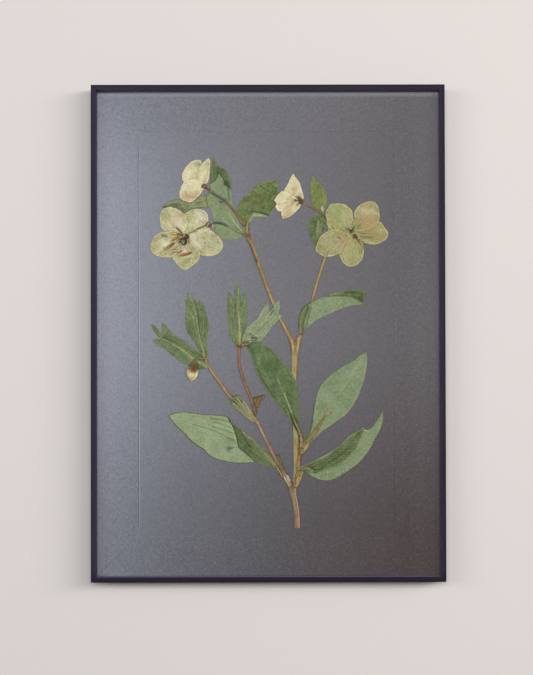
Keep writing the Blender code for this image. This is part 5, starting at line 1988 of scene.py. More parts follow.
        """dark .4 .3: -14.5 -3.8, -7.4 2.7, 2 12.1; dark .4 .35: 7 17, 10.2 18; pale .4 .4: -15 -1, -9
        5, -2 12, 3 19; brown .4 .35: -21.1 -3, -8.7 3.2, 0 10, 9.8 17.1; dark 1.1 .5: -13.6 -4, -10.4
        -5; dark 1 .5: -14 -7, -10 -8.4; dark .6 .5: -16 .4, -13.8 -2.4; blue 2.4 .3: -10 -6; pale .8
        .6: -16 1; pale .5 .5: -11 -1.6, -8.6 -3; brown 1.5 .55: -21.8 -8.6, -17.6 -7.8; dark .6 .7: 2
        16, 4 19""",
        comb(".35 .2 -.4", "-20 0, -16 -1, -10 -6", "-2 22, 5 22, 10 15", 7)
        + comb(".35 -.2 .4", "-19 0, -15 -2, -10.6 -5", "0 20, 5 20, 9 14.4", 6)
        + ".6 -.24 .5: -16 -4.4, -12.4 -4, -7 -4.4; .5 -.24 .5: -14.6 -6.4, -10 -6.6", "2 2 -1.4: 12 16",
        cockle=0.34, curl=0.3, vein_lean=2.6, ridge=0.2, seed=13, frill=0.3,
    ),
    Sheet(
        "bract_sheath", "bract_striped", "-11.6 -75.6, -17 -70, -24 -63, -32.6 -55.4",
        """dark .6 .75: -31.4 -54.6, -24.4 -54, -20.3 -56.9, -15.6 -64.5, -10.6 -72.4; green 3 .35: -28
        -57; pink .6 .3: -14 -75.6, -20 -71, -29.7 -61; tan .5 .7: -12 -75.4, -20 -66, -26 -58; brown .8
        .4: -12 -75.4, -14 -74""",
        comb(".45 .14 -.45", "-11.6 -74.4, -13 -76", "-24 -55, -31 -60", 4)
        + comb(".45 -.18 .6", "-12 -74.6, -12.8 -75.6", "-26 -55.4, -30 -59", 3),
        fan=3.2, veins=0.1, seed=14, cockle=0.1,
    ),
    Sheet(
        "bract_dried", "bract_dry", "-10.2 -70, -9.4 -62, -7 -54",
        """dark .6 .9: -12.8 -56.2, -8 -54.9, -3.2 -53.6; green 1 .8: -12.6 -57.6, -11.4 -66; green .9
        .6: -5 -56, -5.6 -58.4; dark .9 .5: -4.6 -57, -6 -59; orange 1 .2: -8 -60, -9 -66""",
        ".5 .3 -.2: -9.8 -68, -9 -61, -8 -56; .4 -.14 .4: -10.4 -67, -10.4 -58 | -9.4 -67, -6 -57",
        fan=3.0, veins=0.1, seed=15, curl=0.5,
    ),
    Sheet(
        "bract_sliver", "leaf_lower", "6.4 -104.6, 10 -109.6, 13 -116, 16.6 -121.4",
        """straw .6 .5: 8.6 -107.6, 10.4 -112; dark .55 .9: 6 -104.4, 9.6 -106.4, 11 -110.6, 13 -115.4,
        16 -120.6""",
        seed=16, curl=0.35, veins=0.02,
    ),
    Sheet(
        "bract_blunt", "bract_smooth", "-21.4 85, -27 89, -36 98, -41 110, -42 122, -42.6 137",
        """dark .8 .5: -41.2 113.5, -38.4 113.8; blue 1.3 .2: -40 113; dark .7 .5: -35.4 114.3; tan 1.4
        .35: -25 106.5, -21 100, -19.2 94.8; pale .6 .5: -19.5 85.5, -26 92, -34 104; pale .6 .45: -19.5
        85.5, -24 94, -28 104; pale .6 .4: -20 85.4, -29 90, -40 100; dark 1.6 .6: -35.6 132, -34 126;
        dark 1 .5: -34.6 124, -33.6 116; dark 1 .55: -51.6 121, -50.6 126; pale 1 .4: -46 134, -43
        136.6; blue 1.2 .7: -37.4 115.3; dark .9 .4: -41.4 113.6""",
        ".6 -.14 .25: -46 132, -44 122, -40 112; .6 -.14 .3: -40 132, -39.4 124, -36 116",
        "3 .4 1.6: -38 136.6",
        seed=17,
    ),
    Sheet(
        "bract_behind", "leaf_lower", "-42.6 124, -46 134, -46.8 143, -47 153",
        "straw .8 .35: -48.6 130, -48.4 140; dark 1.4 .6: -34 126, -36.6 131",
        ".4 .1 -.25: -45 132, -45.4 142, -46 150", ridge=0.15, seed=18, vein_pitch=3.4,
    ),
    Sheet(
        "bract_olive", "leaf_olive", "-52 114.4, -62 112, -72 110.4, -91 110",
        """dark 2 .42: -90 109.6, -80 110, -73 106.6; dark 1.6 .3: -76 112, -84 112; brown .6 .6: -90
        112.4, -84 115, -74 116.6; brown .8 .6: -92 109.4, -86 108.6, -78 106.4; dark .8 .6: -60 108.6,
        -57 108.8""", ".6 .14 -.3: -53 118, -62 115, -69 108; .6 .12 -.25: -53 111, -63 109.6, -70 106",
        vein_lean=2.6, seed=19,
    ),
    Sheet(
        "bract_upright", "bract_upright", "47.8 104.4, 46 110, 43.8 117, 41.6 124, 38.9 136",
        """white 1.2 .4: 47.8 104.6, 47 109; dark 1.2 .18: 41 113, 39.4 124; brown .8 .5: 47.6 104, 48.6
        105.4""", ".5 .1 -.25: 46.8 107.6, 48.4 114, 47.4 122; .4 .08 -.2: 45 108, 43 118, 41 128",
        vein_lean=2.4, ridge=0.2, seed=20,
    ),
    Sheet(
        "bract_spotted", "leaf_top", "49.4 101.6, 45.6 98, 42.6 92, 41.4 85, 42 75.6",
        """straw 2.2 .35: 46 96, 46 88, 44 80; dark 1 .6: 40.4 97 | 45.6 96.4; dark .8 .6: 47 88.4, 48
        91; dark .8 .5: 40.6 91.6, 41.6 93; dark .6 .6: 39.6 88 | 41 85; pale .6 .4: 43.6 97.4, 43 90,
        42.6 84; brown .9 .6: 49.4 101, 46.6 101.8""", "", "3 1.6 1.8: 48 100",
        ridge=0.2, vein_pitch=3.0, seed=21,
    ),
    petal(
        "flower_one", 1, "petal_cream", FLOWER_ONE, (-70, 143),
        """white 5 .4: -68.2 140.5, -70.5 134.7; blue 2.6 .4: -62.3 147.3, -59 145.5; tan 2 .3: -62
        134.1; pale 4 .35: -64 138, -60 142; tan .7 .4: -54.5 148.8, -56 141, -56.8 134.7; blue 2.4 .22:
        -58.4 147; brown 1.2 .3: -57.4 131""",
        cockle=0.3,
    ),
    petal(
        "flower_one", 2, "petal_cream", FLOWER_ONE, (-52, 152),
        """white 3.5 .35: -55 142.9, -56.4 137; green 1.5 .25: -51.9 146.4; pale 3 .3: -55 142; green
        2.4 .2: -53 147; brown 1.2 .4: -55.6 130.6""",
        cockle=0.3,
    ),
    petal(
        "flower_one", 3, "petal_cream", FLOWER_ONE, (-75, 117),
        """white 4 .4: -68.2 128.8, -71.7 125.3; pink 3.4 .45: -72.9 118.8, -67 117.3, -62 120.8; pink
        2.4 .2: -73 119.6, -66 117.4, -61 121; tan 1.2 .35: -67.4 118.6, -61.3 117.6; pink .8 .4: -74
        117, -68 114.6; straw .8 .6: -71.5 123, -69.7 118.2; pale 1.2 .5: -75.4 124, -73.6 129; brown
        1.2 .4: -57 127.6""",
        cockle=0.3,
    ),
    petal(
        "flower_two", 1, "petal_pale", FLOWER_TWO, (-90, 108),
        """white 5 .3: -77.6 92, -80 95; white 3 .4: -76.4 99.4, -71.7 91.2; green 3.4 .3: -88.2 106.5,
        -89.3 99.4; tan 2.4 .3: -81.7 94.1; white 2.4 .3: -84.6 107.6; pink 4 .3: -84 97, -79 100; pale
        2.4 .3: -89 101; brown .8 .5: -79 90.7, -75.4 88; pink 1.6 .35: -76.6 100.4, -73 102""",
    ),
    petal(
        "flower_two", 2, "petal_pale", FLOWER_TWO, (-57, 106.6),
        """white 5 .3: -66 92, -63 96; white 4.4 .45: -56.4 99.4, -61.1 104.7; green 2 .3: -67 106.5;
        white .5 .3: -59 100.4, -55 97.1 | -57.6 102, -53.3 98.2; white .5 .25: -60.4 98.7, -56.4 95.2;
        dark .3 .2: -58.3 101.1, -54 97.5 | -59.7 99.4, -55.7 96.1; brown .5 .75: -56 104.4 | -54.4 102.6
        | -57 102.2 | -55.4 100.4 | -53.4 99.6 | -56.6 98.4 | -54.2 97.2; brown .5 .4: -59 97.4, -55 96""",
    ),
    petal(
        "flower_two", 3, "petal_pale", FLOWER_TWO, (-40, 75.6),
        """white 5 .3: -62 80, -58 78; white 3.4 .4: -65.8 85.3, -60.5 77.1; blue 5 .32: -46.4 83, -47
        74.8; tan 2.4 .35: -56.4 83; white 2 .35: -58.7 87.7, -54 88.9; pale 1.4 .35: -60 86, -50 83;
        pink 2 .5: -62 81, -58 78; pink 1.6 .4: -66 76, -60 72.6; brown .7 .85: -54.6 78.2; brown .6 .5:
        -43.6 79, -42.4 78.4; brown .4 .55: -61.4 83.6, -61 80; dark .5 .3: -44.4 84, -46.6 86.6""",
        cockle=0.3,
    ),
    petal(
        "flower_two", 4, "petal_pale", FLOWER_TWO, (-71.6, 55.4),
        """white 5 .3: -72.4 72, -71 69; white 3 .45: -74 75.9, -70.5 68.3; green 4 .3: -69.3 62.4,
        -75.2 60.4; pink 1.8 .45: -79 70, -77 66; pale 1.4 .6: -72 76, -71 71; pink 1.2 .35: -62.6 66,
        -60.6 69""",
        cockle=0.3,
    ),
    petal(
        "flower_two", 5, "petal_pale", FLOWER_TWO, (-101.4, 73),
        """white 5 .3: -82 78, -86 77; white 3.4 .4: -92.9 80.6, -86.4 75.3; blue 3 .22: -95.2 86.3,
        -97.6 80.6; tan 2.4 .25: -83.5 83; white .4 .6: -85.8 77.1, -78.7 75.9 | -84.6 73.6, -77.6 77.1;
        green 3.4 .35: -89.6 84.6; dark 1 .45: -91.6 84.6, -87.6 83.9; dark .6 .3: -97 81.6, -94.6 82.6;
        pink 2.2 .6: -81 73, -77.6 76; pale 1.1 .5: -84 75.6, -79 78; brown .7 .6: -81.6 71.6, -79.6
        72.6; brown .5 .55: -82.4 69.4, -78.6 70; brown .9 .5: -78.4 79.4, -76.4 77.6""",
        comb(".4 .12 -.35", "-83 76, -80 71", "-76.6 78, -75 72", 4),
        cockle=0.34,
    ),
    petal(
        "flower_three", 1, "petal_cream", FLOWER_THREE, (21, 138),
        """white 3.4 .45: 22.1 132.4, 26.7 125; orange 2.8 .2: 21 123.6; brown 1.6 .45: 26.7 117.6, 29.4
        114.9; blue 1.6 .4: 24 116.2; tan 2.4 .4: 22.3 125; pink 2.4 .35: 25 127, 23 121; blue 2 .35:
        24.4 116.9, 27 114; dark 1.2 .4: 27.4 115.6, 24.4 117; brown 1.3 .5: 26.6 118, 28.6 115""",
        cockle=0.36,
    ),
    petal(
        "flower_three", 2, "petal_cream", FLOWER_THREE, (5.6, 113),
        """white 3 .5: 15.6 119.6, 11.8 113.1; orange 2.6 .18: 19.7 118.2; dark 1.6 .4: 23.7 114.9, 28.3
        113.5; blue 1.8 .35: 23 113.1; pale 2.2 .4: 14 118, 11 115; blue 1.4 .4: 23.8 114, 26.4 113;
        dark 1.1 .3: 26 114.4, 23.4 115.4; brown .5 .6: 8.4 112, 10.6 111.4""",
        comb(".4 .14 -.4", "9 109, 10 112", "15 107, 16 111", 4),
        cockle=0.36, frill=0.4,
    ),
    petal(
        "flower_three", 3, "petal_cream", FLOWER_THREE, (12.6, 99.4),
        """orange 3 .25: 20.3 104.7, 17 102.7; white 2 .45: 14.9 101.4, 18.3 100; white 1.4 .4: 23.7
        106.1; orange 2.4 .25: 14 101, 20 101; brown 1.2 .3: 12.6 100, 17 99.6; pink 2 .3: 17 106, 20
        110; brown 1.2 .6: 27 112.4, 25 111""", comb(".4 .14 -.4", "9 110, 11 105", "15 111, 16.6 106", 4),
        cockle=0.36,
    ),
    petal(
        "flower_four", 1, "petal_green", FLOWER_FOUR, (54.6, 110),
        """pale 6 .35: 57.5 104.7, 64.2 100.7; pale 3 .3: 68.3 91.3; green 4 .3: 61.5 107.4 | 62 98, 58
        102; pink 1.3 .35: 52.6 97, 54.6 92; pink 1 .3: 68 107, 72 101; brown .6 .7: 50.8 103.6, 51.4
        105; brown 1.3 .6: 70.6 88.6, 67.6 91; brown .5 .6: 56 92.4, 57 89; brown .8 .6: 73.6 96, 73.4
        91;"""
        + "".join(
            f"{('brown', 'white')[n % 2]} .4 .8: {74.9 - n * 0.05:.1f} {94.4 + n * 0.7:.1f};"
            for n in range(12)
        ),
    ),
    petal(
        "flower_four", 2, "petal_green", FLOWER_FOUR, (94, 112.6),
        """tan 5 .35: 83.1 100.7, 91.2 98, 84.5 91.3; brown .5 .3: 80.4 99.4, 83.1 94; brown .5 .25:
        87.2 104.7, 90.7 100.7; brown .4 .4: 76.6 88.6, 83.1 91.3; tan 11 .4: 84 102, 88 99; pink 4 .12:
        84.5 96, 91.2 94.2; white 4 .22: 88.5 104.7, 83.1 106.1; brown 2 .18: 79.7 91.9; brown .6 .6: 75
        97, 74.8 100; brown .8 .4: 77.6 91, 80 94.6; pink 1.2 .5: 88 92.6, 94 95; pale .7 .4: 90 107, 96
        102""",
    ),
    petal(
        "flower_four", 3, "petal_green", FLOWER_FOUR, (104, 84.6),
        """tan 6 .3: 91.2 85.9, 98 87.2; brown .3 .5: 79.1 85.9, 91.2 86.4, 98 85.9; brown .3 .4: 79.7
        83.8, 91.2 82.9; pale .8 .6: 83.1 80.5, 91.2 77.8; white .6 .5: 103.1 88.6, 103.9 85.2; tan 5
        .3: 95.3 83.2, 87.2 85.9; pale 3 .35: 98 88.6; straw 6 .25: 90 87, 98 86; brown .4 .6: 78 86.9,
        86 86; brown .4 .55: 79.6 83.4, 87 82.6, 90 82.6; brown .4 .4: 78.4 89, 84 89.4; pink 2 .3: 80
        88, 86 92; pale .8 .6: 104 90, 105 84, 103 80; brown .45 .5: 103.6 86.4, 104 83.4""",
        veins=0.08,
    ),
    petal(
        "flower_four", 4, "petal_green", FLOWER_FOUR, (72.4, 58),
        """brown 1.3 .4: 77.7 80.5, 80.1 77; tan 2 .3: 71 77.8, 69.6 72.4; dark .4 .5: 81.2 77.1, 82.6
        73.7; pale 5 .3: 73.7 72.4, 76.4 67; tan 3 .25: 71 77.8; green 5 .25: 74 70, 73 64; brown 1 .6:
        75 83, 79 79.6; brown .6 .35: 73.4 83, 73.6 79; brown .5 .4: 80.4 77, 81.8 73;"""
        + "".join(f"brown .4 .7: {82 - n * 0.2:.1f} {74.6 - n * 1.4:.1f};" for n in range(5)),
    ),
    petal(
        "flower_four", 5, "petal_green", FLOWER_FOUR, (42, 72),
        """tan 3 .35: 46.7 77.8, 52.1 68.3; white .8 .5: 52.1 66.3, 60.2 67; tan 8 .22: 52.1 80.5, 58.8
        77.8; white 8 .14: 52.1 80.5, 58.8 77.8; tan 4 .4: 64.9 81.8, 64.9 73.7; pink 1.4 .4: 61.5 85.9,
        68.3 81.2; tan .7 .6: 57.5 87.3, 62 86, 68.3 80.5; brown .6 .5: 62.8 81.6, 60 83.4; brown .7
        .45: 52.8 71.3, 50.5 66.8; pink 1.6 .45: 66 76, 63 71; brown .5 .5: 60.6 68.6, 58 68; pale 1.5
        .3: 50 84, 56 86.4""",
        cockle=0.3,
    ),
)

STALKS = (
    Stalk(
        "trunk", "stem_base", "24.5 -168.8, 24.4 -160, 23.8 -152, 22.3 -144, 20.9 -138, 20.4 -132.4",
        "2.3 2.3 2.25 2.2 2.6 3.3", "stem_trunk",
        """brown 1.6 .5: 20.6 -132.2; straw 2.2 .4: 21 -138, 22 -144, 23.4 -152; brown 1 .4: 18.6 -134,
        22.6 -134; pink 1.6 .3: 24.4 -160, 24.5 -168""",
        rib_depth=0.1,
    ),
    Stalk(
        "left_lower_stem", "stem_pink",
        """18.9 -132.3, 16.6 -127.5, 14.4 -122.5, 10.2 -114.8, 6.9 -109.3, 3.9 -104, 1 -98, -2.6 -91.5,
        -5.6 -85, -8.4 -79, -10.4 -75.6""", "1.9 2.1 2.3 1.6 1.5 1.5 1.4 1.4 1.4 1.5 1.7",
        "stem_left_lower",
        """brown 1.5 .5: 13.6 -121.6, 9.6 -113, 6 -106; dark .5 .6: 14.6 -120, 11.6 -113.6, 7.6 -107 |
        11.4 -121, 8.6 -114.8; white .6 .7: 13.4 -124.6, 15 -127.4; white .6 .55: 16.4 -123.4, 18.4
        -127.4; pale .7 .5: 15.4 -128, 18 -132; brown 1 .4: 15.6 -125; dark .8 .9: 16.5 -121.8; tan 1.6
        .6: -9.2 -77.6; pale .6 .4: -8 -80, -3 -90; dark .4 .4: -6.6 -80, -1 -91""",
        rib_depth=0.09,
    ),
    Stalk(
        "left_upper_stem", "stem_tan",
        """-12.6 -75, -20 -67.5, -27 -60.5, -33 -55, -36.2 -51, -40 -45.6, -44 -40, -48 -34.4, -51
        -29.8, -53.9 -22.8""", "1.1 1.2 1.3 1.3 1.3 1.35 1.3 1.2 1.2 1.3", "stem_left_upper",
        "brown 1 .5: -52 -27, -53.8 -23.4; pale .5 .4: -53.4 -26, -53.9 -23",
        rib_depth=0.06,
    ),
    Stalk(
        "middle_stem", "stem_red",
        """-11.3 -71, -12.6 -64, -15 -57, -18 -49, -20.6 -42.5, -23 -36, -24.5 -30, -25.2 -24, -25.2
        -18, -24.9 -11.6""", ".9 1.1 1.1 1.1 1.1 1.1 1 1 1 1.3", "stem_middle",
        "brown 1 .6: -11.6 -70, -13 -62; dark 1.2 .7: -11.4 -71.4",
        rib_depth=0.06,
    ),
    Stalk(
        "right_stem", "stem_olive",
        """22 -132.2, 22.8 -126, 23.6 -120, 23.8 -110, 23.9 -100, 23.9 -90, 23.3 -78, 22.4 -60, 22.3
        -45, 22.8 -30, 23.3 -18, 23.4 -12, 23.5 -8.2""", "1.3 1.5 1.7 1.9 2.1 2.2 2.1 2 2.2 2.5 2.8 3.1 2",
        "stem_right",
        """brown .8 .35: 25 -40, 25.6 -24, 25.4 -12; brown 1 .4: 21.4 -10, 26 -10; dark .7 .5: 21.2
        -131, 22.4 -126""",
        ribs=4, rib_depth=0.1,
    ),
    Stalk(
        "side_stem", "stem_red", "25.5 -119.4, 25.8 -116, 26.4 -109, 27.2 -104.6, 28.2 -101.4",
        "1.4 1.6 1.7 1.8 2.1", "stem_side",
        "brown .8 .6: 27.2 -105.6, 29 -103.6; pink 1.4 .5: 28.6 -99, 29.6 -95; dark .9 .5: 26 -119.6",
        "stalk_brown", rib_depth=0.08,
    ),
    Stalk(
        "top_left_stem", "stem_tan",
        """22 -19, 21.4 -13.5, 20.9 -8.6, 17.8 -1.5, 13 7.4, 9 15.2, 4.4 26.4, -.5 38.5, -4.6 50, -8.2
        59.5, -11.3 68.5, -14 76, -17.4 84, -18.4 89.6""",
        ".5 1.5 1.9 1.6 1.5 1.4 1.5 1.5 1.5 1.5 1.6 1.6 1.8 1.4", "stem_top_left",
        """brown 2.4 .55: -17.4 86, -16.4 82, -15 78, -13.2 73, -11.4 68, -9.6 62; brown 2 .4: -7.6 57,
        -5.6 51.6, -3.4 46; brown 1.4 .25: -2 42, 1 35; brown .6 .6: -15.6 77, -13.6 72, -11.6 66, -9.6
        60; tan .5 .6: -12 74, -9.6 67, -7.6 61; pink .7 .35: -10 66, -14.6 80; brown 1 .6: -18.6 84.6,
        -15 84""",
        rib_depth=0.07,
    ),
    Stalk(
        "top_right_stem", "stem_tan",
        """24.6 -19, 25.2 -14, 25.9 -9, 26.8 -4, 28.6 .8, 31 7, 33.6 14, 36 21, 38 27, 40.2 35.5, 42.6
        44.5, 46 55, 49.7 66, 52.3 75, 53 88, 52 96, 49 102.6""",
        ".5 1.4 1.9 1.9 1.7 1.2 1.1 1.1 1.15 1.15 1.15 1.2 1.2 1.1 1.1 1 .9", "stem_top_right",
        """brown .5 .8: 26 .2, 29.8 -2; brown .5 .7: 26.4 -1.6, 30 -3.4; pale .8 .4: 25.6 -5.6, 28.4
        -3.4; dark .8 .7: 29.4 -.6; brown 1.2 .45: 38 26, 39.6 31""",
        rib_depth=0.06,
    ),
)

BLOOM_STALKS = (
    Stalk(
        "flower_one_stem", "stalk_brown",
        "-54.6 127.2, -52 125.1, -49 122.2, -44 119, -38 115.4, -33.4 110.6, -28.8 105, -25 99.4, -20.6 93",
        "1 .8 .7 .6 .6 .6 .65 .75 .9", "flower_one_stalk",
        """brown 1.6 .8: -54.6 127.4, -51 124; blue 1.2 .75: -48 121.6, -38 115.2; dark .8 .5: -41
        116.4; pink .6 .3: -34 111, -22 95""", "stalk_brown", 0.7,
    ),
    Stalk(
        "flower_two_stem", "style_olive",
        "-69 86, -60 90.4, -54.6 93, -51 94.4, -46.5 95.6, -40 95, -35.7 93.3, -28 89.4, -21.6 85.8",
        ".45 .5 .6 .7 .75 .75 .5 .35 .4", "flower_two_stalk",
        """brown 1.2 .6: -54.6 93, -50.6 94.2; blue 1.2 .9: -47 95.4, -43 95.6, -38 94.2; blue 1.2 .6:
        -36 93.4; dark 1 .4: -45 95.6, -41 95; pale 1.2 .45: -33 92, -24 87; brown 1.2 .5: -23 86.6,
        -21.4 85.6""", "stalk_brown", 0.7,
    ),
    Stalk(
        "flower_three_stem", "stalk_brown",
        "27.4 114.7, 29.6 113.6, 33 111.6, 37 109.4, 41.6 106.6, 46.4 103.6", ".9 1.1 .85 .75 .7 .8",
        "flower_three_stalk", "dark 1.3 .6: 27.6 114.6, 29.4 113.8; pale .8 .2: 42 106.4, 46 104",
        "stalk_brown", 0.8,
    ),
)


def scrap(
    node: str, name: str, tissue: str, outline: str, stains: str = "", pleats: str = "", **sizes: Any
) -> Sheet:
    """A torn bit of tissue by a node's piece, such as a receptacle's rim.

    Args:
        node: the node that it belongs to.
        name: its own name, whose length chooses its noise.
        tissue: its finish.
        outline: its route.
        stains: its marks.
        pleats: its creases.
        sizes: what differs from a usual bit.

    Returns:
        The bit.
    """
    corners = route(outline)
    middle = [sum(p[k] for p in corners) / len(corners) for k in (0, 1)]
    axis = f"{corners[0][0]} {corners[0][1]}, {middle[0]:.2f} {middle[1]:.2f}"
    usual = dict(veins=0.02, cockle=0.16, curl=0.25, frill=0.12, step=0.5, seed=len(name))
    return Sheet(node, tissue, axis, stains, pleats, outline=outline, name=name, **(usual | sizes))


UNDERLAYS = (
    scrap(
        "flower_two_petal_3", "flower_two_base", "petal_pale",
        "-88 84, -84 89, -78 91, -70 93, -62 91, -57 86, -58 80, -62 73, -68 69, -76 69, -82 74, -87 79",
        "green 3 .3: -71 84; tan 3 .3: -79 74", frill=0.5, seed=31,
    ),
    scrap(
        "flower_four_petal_1", "flower_four_base", "petal_green",
        "64 91, 69 96, 74 99, 79 94, 83.4 90, 82 82, 77.6 76.4, 72 75, 66 78.6, 61 84", "green 3 .3: 73 87",
        frill=0.5, seed=32,
    ),
    scrap(
        "stem_top_left", "top_node", "bract_smooth",
        """-26.6 87, -24 84.8, -20 83.8, -17.4 84.8, -16.4 88, -16 94, -14.8 100, -17.6 100.4, -19 95,
        -21 91""",
        """straw 2.4 .6: -21 87, -18 94; brown .6 .8: -17 85, -16.2 91, -15.4 98; dark .4 .5: -24 85,
        -20 84.2""",
        curl=0.15,
    ),
)

